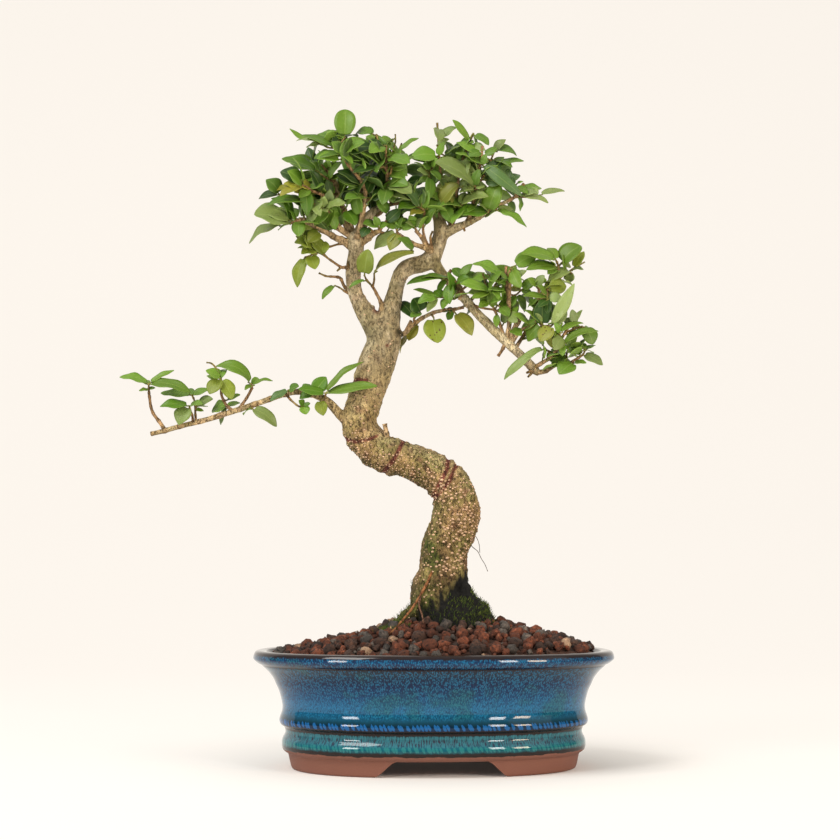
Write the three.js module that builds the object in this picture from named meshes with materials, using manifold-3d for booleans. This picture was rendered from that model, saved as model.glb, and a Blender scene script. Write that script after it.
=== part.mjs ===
// Chinese privet bonsai in an oval glazed stoneware pot. Millimetres, +Z up, the front faces -Y.
import * as THREE from 'three';
import { mergeVertices } from 'three/addons/utils/BufferGeometryUtils.js';
import Module from 'manifold-3d';

const wasm = await Module();
wasm.setup();

// Driving dimensions of the pot
const RIM_HALF_WIDTH = 125;
const PLAN_DIFFERENCE = 27;
const PLAN_POWER = 2.3;
const PLAN_SEGMENTS = 28;
const FLOOR_UNDERSIDE = 10.7;
const FLOOR_TOP = 17;
const FOOT_OUTSIDE = 98;
const FOOT_WIDTH = 11;
const FOOT_GAP_LOW = 88;
const FOOT_GAP_HIGH = 64;
const FOOT_GAP_CURVE = { rise: 5, inward: 4, outward: 8, drop: 0.2 };
const FOOT_GAP_FLARE = { out: 3, down: 1 };
const DRAIN_HOLE_RADIUS = 10;
const DRAIN_HOLE_SIDES = 16;
const DRAIN_HOLE_X = 45;

// Driving dimensions of the soil and the drain screens
const SOIL_GAP = 0.3;
const SOIL_HALF_WIDTH = 114;
const SOIL_RINGS = 6;
const GRANULE_RELIEF = 1.5;
const SCREEN_SIDE = 26;
const SCREEN_THICKNESS = 1.2;
const SCREEN_HOLES = 2;
const SCREEN_HOLE_SIDE = 7.4;

// The tree is described as seen from the front, from this eye point, and turned with its planting angle
const EYE = { x: -9.4, distance: 1150, z: 129.5 };
const PLANTING_TURN = THREE.MathUtils.degToRad(4);

// Driving dimensions of the foliage
const TRUNK_SIDES = 8;
const ROOT_SIDES = 4;
const TWIG_SIDES = 3;
const THICK_TWIG_SIDES = 4;
const THICK_TWIG_RADIUS = 1.9;
const THICK_LIMB_RADIUS = 9;
const TRUNK_ROWS_IN_SOIL = 9;
const NODE_GAP = 0.3;
const BLADE_THICKNESS = 0.7;
const BLADE_FOLD = 0.22;
const STALK_HALF_WIDTH = 0.55;
const SMALL_BLADE_LENGTH = 13;
const NARROW_BLADE_WIDTH = 3.2;
const LONG_BLADE_LENGTH = 27;
const FOLDED_BLADE_WIDTH = 12;
const STRONG_ARCH = 0.13;
const FREE_TILT_DEGREES = 36;
const FREE_ARCH = { least: 0.05, spread: 0.07 };
const SESSILE_DISTANCE = 5;
const ROOT_INSET = 0.4;

// Colours read off the photograph
const GLAZE_BLUE = 0x1f5a80;
const GRANULE_BROWN = 0x5a3a2e;
const BARK_OLIVE = 0x8a7a58;
const SCREEN_BLACK = 0x22241f;
const DARK_LEAF = 0x3f6a2a;
const FRESH_LEAF = 0x5f8c38;
const YELLOW_LEAF = 0x90a03c;

// A number from 0 to 1 that is always the same for the same seed
function draw(seed) {
  const wide = Math.sin(seed * 12.9898) * 43758.5453;
  return wide - Math.floor(wide);
}

// A point of the tree: x and z as seen from the front at the pot's middle, moved to its depth
function at([x, z, depth]) {
  const reach = (EYE.distance + depth) / EYE.distance;
  const px = EYE.x + (x - EYE.x) * reach;
  const pz = EYE.z + (z - EYE.z) * reach;
  return turned(new THREE.Vector3(px, depth, pz));
}

function turned(vector) {
  return vector.applyAxisAngle(new THREE.Vector3(0, 0, 1), -PLANTING_TURN);
}

// Closed geometry from vertices and triangles, with its faces pointing out
function closedGeometry(points, triangles) {
  let volume = 0;
  for (const [a, b, c] of triangles) {
    volume += points[a].dot(points[b].clone().cross(points[c]));
  }
  const faces = volume < 0 ? triangles.map(([a, b, c]) => [a, c, b]) : triangles;
  const geometry = new THREE.BufferGeometry();
  geometry.setAttribute('position', new THREE.Float32BufferAttribute(points.flatMap((p) => p.toArray()), 3));
  geometry.setIndex(faces.flat());
  return geometry;
}

// Rings of equally many points joined to a closed body with a flat cap at each end
function loft(rings) {
  const count = rings[0].length;
  const points = rings.flat();
  const triangles = [];
  for (let ring = 0; ring < rings.length - 1; ring++) {
    for (let i = 0; i < count; i++) {
      const a = ring * count + i;
      const b = ring * count + ((i + 1) % count);
      triangles.push([a, b, b + count], [a, b + count, a + count]);
    }
  }
  const last = (rings.length - 1) * count;
  for (let i = 1; i < count - 1; i++) {
    triangles.push([0, i + 1, i], [last, last + i, last + i + 1]);
  }
  return closedGeometry(points, triangles);
}

function solid(geometry) {
  const bare = geometry.clone();
  bare.deleteAttribute('normal');
  bare.deleteAttribute('uv');
  const merged = mergeVertices(bare, 1e-4);
  const mesh = new wasm.Mesh({
    numProp: 3,
    vertProperties: new Float32Array(merged.attributes.position.array),
    triVerts: new Uint32Array(merged.index.array),
  });
  return new wasm.Manifold(mesh);
}

function joined(solids) {
  return solids.reduce((whole, next) => whole.add(next));
}

function geometryOf(body) {
  const mesh = body.getMesh();
  const geometry = new THREE.BufferGeometry();
  geometry.setAttribute('position', new THREE.Float32BufferAttribute(mesh.vertProperties, 3));
  geometry.setIndex([...mesh.triVerts]);
  return geometry;
}

// The body's largest connected piece, so that no scrap cut off by a neighbour stays loose
function largestPiece(geometry) {
  const index = geometry.index.array;
  const parent = Array.from({ length: geometry.attributes.position.count }, (_, i) => i);
  const root = (i) => {
    let top = i;
    while (parent[top] !== top) {
      parent[top] = parent[parent[top]];
      top = parent[top];
    }
    return top;
  };
  for (let i = 0; i < index.length; i += 3) {
    parent[root(index[i + 1])] = root(index[i]);
    parent[root(index[i + 2])] = root(index[i]);
  }
  const sizes = new Map();
  for (let i = 0; i < index.length; i += 3) {
    const key = root(index[i]);
    sizes.set(key, (sizes.get(key) ?? 0) + 1);
  }
  const largest = [...sizes.entries()].sort((a, b) => b[1] - a[1])[0][0];
  geometry.setIndex([...index].filter((_, i) => root(index[i - (i % 3)]) === largest));
  return geometry;
}

// A tapering stem through points of [x, z, depth, radius], grown all round by a clearance
function stem(path, sides, clearance = 0) {
  const centres = path.map(at);
  const rings = [];
  let across = new THREE.Vector3(0, -1, 0);
  centres.forEach((centre, i) => {
    const ahead = centres[Math.min(i + 1, centres.length - 1)];
    const behind = centres[Math.max(i - 1, 0)];
    const along = ahead.clone().sub(behind).normalize();
    across = across.clone().addScaledVector(along, -across.dot(along)).normalize();
    const side = along.clone().cross(across);
    const radius = path[i][3] + clearance;
    const end = i === 0 ? -clearance : i === centres.length - 1 ? clearance : 0;
    const middle = centre.clone().addScaledVector(along, end);
    rings.push(Array.from({ length: sides }, (_, k) => {
      const angle = (2 * Math.PI * (k + 0.5)) / sides;
      return middle.clone()
        .addScaledVector(across, radius * Math.cos(angle))
        .addScaledVector(side, radius * Math.sin(angle));
    }));
  });
  return solid(loft(rings));
}

// Pot: a loft of oval rings up the inside wall, over the rim and down the outside, with feet and holes cut
const INNER_WALL = [
  [84, FLOOR_TOP], [96.5, 23], [98.5, 42], [104, 58], [113.5, 73.5], [115, 78.2],
];
const RIM = [[117.5, 80], [122.8, 80], [RIM_HALF_WIDTH - 0.1, 77.5], [RIM_HALF_WIDTH - 1.4, 73.8]];
const OUTER_WALL = [
  [118.7, 70.3], [114.2, 65.4], [109.3, 57.1], [105.9, 48.7], [104.6, 41.8], [105.8, 36],
  [106.5, 32.7], [105, 29.5], [103.4, 28], [102.4, 24.3], [103.5, 21], [104.8, 16.5], [103.5, 12.5],
  [100.6, 10.4], [98.1, 1.5], [96.8, 0],
];
const FOOT_INSIDE = [[FOOT_OUTSIDE - FOOT_WIDTH, 0], [FOOT_OUTSIDE - FOOT_WIDTH, FLOOR_UNDERSIDE]];

function ovalRing(halfWidth, z) {
  return Array.from({ length: PLAN_SEGMENTS }, (_, i) => {
    const angle = (2 * Math.PI * i) / PLAN_SEGMENTS;
    const bulge = (value) => Math.sign(value) * Math.abs(value) ** (2 / PLAN_POWER);
    const x = halfWidth * bulge(Math.cos(angle));
    const y = (halfWidth - PLAN_DIFFERENCE) * bulge(Math.sin(angle));
    return new THREE.Vector3(x, y, z);
  });
}

// The gap from front to back between the feet, whose sides curve up to the floor
function footGap() {
  const low = FOOT_GAP_LOW / 2;
  const high = FOOT_GAP_HIGH / 2;
  const top = FLOOR_UNDERSIDE;
  const shape = new THREE.Shape();
  const { rise, inward, outward, drop } = FOOT_GAP_CURVE;
  const { out, down } = FOOT_GAP_FLARE;
  shape.moveTo(-low - out, -down);
  shape.lineTo(-low, 0);
  shape.bezierCurveTo(-low + inward, rise, -high - outward, top - drop, -high, top);
  shape.lineTo(high, top);
  shape.bezierCurveTo(high + outward, top - drop, low - inward, rise, low, 0);
  shape.lineTo(low + out, -down);
  const depth = 2 * RIM_HALF_WIDTH;
  const geometry = new THREE.ExtrudeGeometry(shape, { depth, bevelEnabled: false, curveSegments: 5 });
  geometry.rotateX(Math.PI / 2);
  geometry.translate(0, depth / 2, 0);
  return solid(geometry);
}

function drainHole(x) {
  const height = 2 * FLOOR_TOP;
  const geometry = new THREE.CylinderGeometry(DRAIN_HOLE_RADIUS, DRAIN_HOLE_RADIUS, height, DRAIN_HOLE_SIDES);
  geometry.rotateX(Math.PI / 2);
  geometry.translate(x, 0, FLOOR_TOP);
  return solid(geometry);
}

function potGeometry() {
  const profile = [...INNER_WALL, ...RIM, ...OUTER_WALL, ...FOOT_INSIDE];
  const body = solid(loft(profile.map(([halfWidth, z]) => ovalRing(halfWidth, z))));
  const cuts = [footGap(), drainHole(-DRAIN_HOLE_X), drainHole(DRAIN_HOLE_X)];
  return geometryOf(cuts.reduce((pot, cut) => pot.subtract(cut), body));
}

// Drain screen: a mesh square that lies on the floor over a drain hole
function screenGeometry() {
  const pitch = SCREEN_SIDE / (SCREEN_HOLES + 0.5);
  let screen = solid(new THREE.BoxGeometry(SCREEN_SIDE, SCREEN_SIDE, SCREEN_THICKNESS));
  for (let i = 0; i < SCREEN_HOLES; i++) {
    for (let j = 0; j < SCREEN_HOLES; j++) {
      const hole = new THREE.BoxGeometry(SCREEN_HOLE_SIDE, SCREEN_HOLE_SIDE, 2 * SCREEN_THICKNESS);
      hole.translate(pitch * (i - (SCREEN_HOLES - 1) / 2), pitch * (j - (SCREEN_HOLES - 1) / 2), 0);
      screen = screen.subtract(solid(hole));
    }
  }
  return geometryOf(screen);
}

// Soil: fills the pot, mounded up to the trunk, with granules as relief
const MOUND_CENTRE = { x: 6, y: 0 };
const MOUND_LEFT = { edge: 76.5, rise: 31, power: 1.25 };
const MOUND_RIGHT = { edge: 79, rise: 28, power: 0.85 };

function moundHeight(x, closeness) {
  const right = THREE.MathUtils.smoothstep(x, -45, 45);
  const edge = THREE.MathUtils.lerp(MOUND_LEFT.edge, MOUND_RIGHT.edge, right);
  const rise = THREE.MathUtils.lerp(MOUND_LEFT.rise, MOUND_RIGHT.rise, right);
  const power = THREE.MathUtils.lerp(MOUND_LEFT.power, MOUND_RIGHT.power, right);
  return edge + rise * closeness ** power;
}

function soilGeometry(trunkFoot) {
  const inside = INNER_WALL.slice(0, 5).map(([halfWidth, z]) => ovalRing(halfWidth - SOIL_GAP, z + SOIL_GAP));
  const edge = ovalRing(SOIL_HALF_WIDTH - SOIL_GAP, MOUND_LEFT.edge);
  const surface = [];
  for (let ring = 0; ring < SOIL_RINGS; ring++) {
    const closeness = ring / SOIL_RINGS;
    surface.push(edge.map((point, i) => {
      const x = THREE.MathUtils.lerp(point.x, MOUND_CENTRE.x, closeness);
      const y = THREE.MathUtils.lerp(point.y, MOUND_CENTRE.y, closeness);
      const grain = GRANULE_RELIEF * (draw(ring * 61 + i * 7 + 3) - 0.5) * (ring > 0 ? 2 : 0);
      return new THREE.Vector3(x, y, moundHeight(x, closeness) + grain);
    }));
  }
  const filling = solid(loft([...inside, ...surface]));
  const recesses = [-DRAIN_HOLE_X, DRAIN_HOLE_X].map((x) => {
    const side = SCREEN_SIDE + 2 * SOIL_GAP;
    const box = new THREE.BoxGeometry(side, side, 2 * (SCREEN_THICKNESS + 2 * SOIL_GAP));
    box.translate(x, 0, FLOOR_TOP);
    return solid(box);
  });
  return geometryOf([trunkFoot, ...recesses].reduce((soil, cut) => soil.subtract(cut), filling));
}

// Wood. Each row is [x, z, depth, radius] as seen from the front
const TRUNK = [
  [12, 60, 0, 20], [12, 72, 0, 27], [12, 86, 0, 32], [11.5, 96, 0, 31], [9, 103, 0, 26.5],
  [5.8, 110.7, 0, 22.5], [4.6, 121.1, 0, 20], [7, 131.5, -1, 17.8], [7.4, 142, -1, 16.6],
  [8.3, 152, -2, 16.4], [13.3, 163, -4, 16.1], [16, 174, -6, 16.4], [15.7, 184, -7, 15.4],
  [8.9, 197.5, -8, 14.3], [-4.5, 206, -8, 13.3], [-20, 212, -8, 12], [-35.8, 217.4, -6, 13.2],
  [-46, 224.8, -4, 13], [-51, 232.5, -3, 12.2], [-52.5, 240.4, -2, 11.8], [-49.8, 251, -1, 12.1],
  [-45.5, 264, 1, 11.9], [-41.3, 276, 3, 13], [-38.7, 284, 4, 13], [-35.5, 294, 4, 12.2],
  [-35, 302, 4, 12.6], [-36, 309, 4, 11],
];
const ROOTS = [
  [[-2, 118, -6, 5], [-12, 108, -11, 5], [-24, 98, -14, 4.5], [-36, 86, -16, 4], [-44, 76, -17, 3]],
  [[18, 128, -8, 4], [26, 114, -12, 4.5], [35, 100, -14, 4.5], [45, 88, -16, 4], [54, 78, -17, 3]],
  [[8, 114, 14, 6], [2, 102, 22, 6], [-4, 90, 30, 5], [-8, 78, 36, 4]],
  [[22, 112, 10, 6], [32, 100, 16, 6], [40, 88, 22, 5], [46, 76, 26, 4]],
];
const LIMBS = {
  leftStem: [
    [-36, 300, 4, 11], [-42, 309, 3, 9], [-48, 317, 2, 7.2], [-53, 325.5, 0, 5.6], [-56.1, 333.4, -1, 5.3],
    [-57, 344, -2, 5.5], [-56.4, 352, -3, 5.6], [-55, 361, -3, 5.6], [-56, 370, -4, 6.2], [-57, 375, -4, 4.4],
  ],
  rightStem: [
    [-35, 299, 4, 11.5], [-33, 307, 4, 10], [-31, 316, 4, 8.2], [-28.6, 325.5, 4, 6.5],
    [-26.4, 335, 4, 5.6], [-24.4, 342, 4, 5.6], [-20.8, 347.6, 4, 5.9], [-14.5, 350.8, 3, 6.1],
    [-7.4, 352.4, 2, 6.4], [-1.6, 356, 2, 6.6], [2, 363.5, 1, 6.1], [4.8, 371, 0, 5.5],
    [5.3, 378, 0, 5.1], [3.8, 385, 0, 4.2], [1.2, 392.3, 0, 3.4],
  ],
  rightBranch: [
    [5, 372.5, 0, 4.6], [13.4, 377, -1, 3.6], [19.2, 379.3, -2, 3], [26.3, 382.5, -3, 2.4],
    [33, 386, -4, 1.9], [39, 389.5, -5, 1.6], [47.8, 395, -6, 1.5], [56, 399.2, -8, 1.4],
    [60, 401, -9, 1.2], [68, 400.7, -10, 0.9], [75, 400.5, -11, 0.7],
  ],
  lowerRight: [
    [0, 354, 2, 4.4], [6, 345.5, 1, 3.7], [12, 339.1, -1, 3.5], [21.2, 328.3, -4, 3.4],
    [31.1, 316.8, -7, 3.4], [41.7, 306, -10, 3.4], [52.3, 296, -12, 3.6], [62.2, 286, -14, 3.3],
    [71.4, 276.7, -16, 3], [74.5, 273.8, -16.5, 2.4],
  ],
  thinBehind: [
    [-27, 300, 4, 1.8], [-20, 302.5, 4, 1.8], [-15.1, 308, 3, 1.7], [-8, 313, 2, 1.6],
    [0, 317, 1, 1.5], [8, 318.8, 0, 1.4], [15.5, 319.5, -1, 1.3], [21.5, 321, -3, 1.2],
  ],
  leftInner: [
    [-54, 374, -3, 4], [-49, 383, -3, 3.7], [-44, 389, -4, 3.1], [-39, 392.5, -5, 2.4],
    [-33, 394.5, -6, 1.7], [-25, 396, -7, 1.1], [-19, 396.8, -8, 0.7],
  ],
  leftLow: [
    [-54, 236, -2, 5], [-63.8, 241.9, -3, 3.6], [-69.4, 248.2, -4, 3.3], [-75.8, 254.4, -5, 3],
    [-85.7, 258.9, -6, 2.5], [-95.6, 260.4, -7, 2.2], [-104.8, 258.9, -8, 2.1], [-115.4, 255.4, -8, 2.1],
    [-126, 251.6, -8, 2.2], [-136.5, 248.2, -8, 2.1], [-150.6, 243.6, -8, 2.1], [-164.7, 239.4, -7, 2],
    [-178.8, 236, -6, 1.9], [-189.3, 232.9, -6, 1.9], [-199.2, 230.6, -5, 1.7],
  ],
};
const BARE_TWIGS = [
  [[-59, 366, -3, 1.4], [-67, 366.5, -4, 0.8], [-74, 364.6, -6, 0.8], [-79.5, 364.5, -8, 0.8],
    [-81.2, 367, -9, 0.8], [-82.6, 373.5, -10, 0.8]],
  [[-60, 348.5, -6, 0.9], [-61, 354, -9, 0.7]],
  [[-56, 331, 0, 1.6], [-62.5, 335, -1, 1.2], [-65.5, 341, -2, 1.1], [-68, 342.7, -3, 1],
    [-73, 343, -4, 0.8], [-77, 343.6, -5, 0.7], [-81.5, 345.6, -5, 0.6]],
  [[64, 400.8, -9.5, 0.8], [66.5, 407.5, -8, 0.6]],
  [[21, 380.5, -2.5, 1], [22.5, 376, -4, 0.8]],
  [[13, 379, -2, 1.2], [16, 386, -5, 0.8], [15, 389.5, -6, 0.6]],
  [[9, 341.5, 0, 1.4], [13, 348, -2, 1.1]],
  [[-19, 304, 3.5, 1.3], [-15.5, 311.5, 2, 1.2]],
  [[11, 320, 0, 0.9], [12.5, 316.5, -2, 0.9]],
  [[53.5, 296.5, -12, 2], [60, 310.5, -15, 1.8], [64.5, 315.3, -17, 1.7]],
  [[51, 295, -12, 1.6], [49.5, 291.5, -13, 1.2], [46, 286, -14, 1]],
  [[72, 276.5, -16, 1.2], [66, 274, -19, 0.8]],
  [[71.5, 276, -17, 1.1], [67, 271, -20, 0.7]],
  [[-32, 223, -10, 2.2], [-33, 231, -13, 1.7], [-34.3, 237.8, -14, 1.5]],
  [[-57.5, 371, -4, 1.5], [-74.5, 381.2, -12, 0.9]],
  [[73, 276, -16, 1.2], [72.5, 279, -20, 0.7]],
];

// Thick limbs and twigs have more sides than thin ones
function limbSides(radius) {
  return radius > THICK_LIMB_RADIUS ? 6 : 4;
}

function twigSides(radius) {
  return radius > THICK_TWIG_RADIUS ? THICK_TWIG_SIDES : TWIG_SIDES;
}

function woodParts(clearance) {
  return joined([
    stem(TRUNK, TRUNK_SIDES, clearance),
    ...ROOTS.map((path) => stem(path, ROOT_SIDES, clearance)),
    ...Object.values(LIMBS).map((path) => stem(path, limbSides(path[0][3]), clearance)),
    ...BARE_TWIGS.map((path) => stem(path, TWIG_SIDES, clearance)),
  ]);
}

// Leaf: a thin oval blade arched along its length, on a flat stalk where its base is off the stem.
// Large blades are also folded up beside the midrib.
function leafSolid(root, base, tip, width, facing, tilt, arch) {
  const along = tip.clone().sub(base);
  const length = along.length();
  along.normalize();
  const up = facing.clone().addScaledVector(along, -facing.dot(along)).normalize();
  up.applyAxisAngle(along, tilt);
  const side = along.clone().cross(up);
  const folded = width >= FOLDED_BLADE_WIDTH;
  const row = (middle, half) => {
    const lift = folded ? BLADE_FOLD * half : 0;
    const edge = (sign) => middle.clone().addScaledVector(side, sign * half).addScaledVector(up, lift);
    return folded ? [edge(-1), middle, edge(1)] : [edge(-1), edge(1)];
  };
  const midrib = (t) => base.clone()
    .addScaledVector(along, length * t)
    .addScaledVector(up, length * arch * 4 * t * (1 - t));
  const short = length < SMALL_BLADE_LENGTH || (width < NARROW_BLADE_WIDTH && arch < STRONG_ARCH);
  const stations = length > LONG_BLADE_LENGTH ? [0.2, 0.5, 0.8] : short ? [0.5] : [0.28, 0.7];
  const blade = stations.map((t) => row(midrib(t), (width / 2) * Math.sqrt(4 * t * (1 - t))));
  const stalk = root ? [row(root, STALK_HALF_WIDTH), row(base.clone(), STALK_HALF_WIDTH)] : [];
  return solid(plateGeometry(stalk.length ? null : base, [...stalk, ...blade], tip, up));
}

// A plate of even thickness through rows of points, closed by a point or a flat end
function plateGeometry(start, rows, tip, up) {
  const across = rows[0].length;
  const outline = [...(start ? [start] : []), ...rows.flat(), tip];
  const first = start ? 1 : 0;
  const last = outline.length - 1;
  const count = outline.length;
  const faces = [];
  for (let k = 0; k < across - 1; k++) {
    if (start) faces.push([0, k + 2, k + 1]);
    faces.push([last - across + k, last - across + k + 1, last]);
    for (let row = 0; row < rows.length - 1; row++) {
      const a = first + row * across + k;
      faces.push([a, a + 1, a + across + 1], [a, a + across + 1, a + across]);
    }
  }
  const left = rows.map((_, row) => first + row * across);
  const right = left.map((a) => a + across - 1);
  const begin = start ? [0] : Array.from({ length: across - 1 }, (_, k) => k + 1);
  const loop = [...new Set([...left.toReversed(), ...begin, ...right, last])];
  const points = [1, -1].flatMap((sign) => (
    outline.map((p) => p.clone().addScaledVector(up, (sign * BLADE_THICKNESS) / 2))
  ));
  const triangles = [...faces, ...faces.map(([a, b, c]) => [a + count, c + count, b + count])];
  loop.forEach((a, i) => {
    const b = loop[(i + 1) % loop.length];
    triangles.push([b, a, a + count], [b, a + count, b + count]);
  });
  return closedGeometry(points, triangles);
}

// The place on the stems a leaf grows from, kept back inside a stem from its end
function nearestOnStems(point, stems, inset) {
  let best = null;
  for (const path of stems) {
    const centres = path.map(at);
    for (let i = 0; i < centres.length - 1; i++) {
      const line = new THREE.Line3(centres[i], centres[i + 1]);
      const farthest = i === centres.length - 2 ? 1 - inset / line.distance() : 1;
      const along = Math.min(line.closestPointToPointParameter(point, true), farthest);
      const spot = line.at(along, new THREE.Vector3());
      if (!best || spot.distanceTo(point) < best.distanceTo(point)) best = spot;
    }
  }
  return best;
}

const FRONT_UP = turned(new THREE.Vector3(0, -0.72, 0.69));
const BACK_UP = turned(new THREE.Vector3(0, 0.5, 0.87));

// A leaf of a front spray: [base x, z, depth, tip x, z, depth, width, tilt in degrees, arch]
function frontLeaf(leaf, stems, seed) {
  const [bx, bz, by, tx, tz, ty, width, tilt, arch] = leaf;
  const base = at([bx, bz, by]);
  const tip = at([tx, tz, ty]);
  const turn = THREE.MathUtils.degToRad(tilt ?? FREE_TILT_DEGREES * (draw(seed) - 0.5));
  const bow = arch ?? FREE_ARCH.least + FREE_ARCH.spread * draw(seed + 0.5);
  const spot = nearestOnStems(base, stems, ROOT_INSET * (1 + draw(seed + 0.7)));
  if (spot.distanceTo(base) < SESSILE_DISTANCE) return leafSolid(null, spot, tip, width, FRONT_UP, turn, bow);
  return leafSolid(spot, base, tip, width, FRONT_UP, turn, bow);
}

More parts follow.
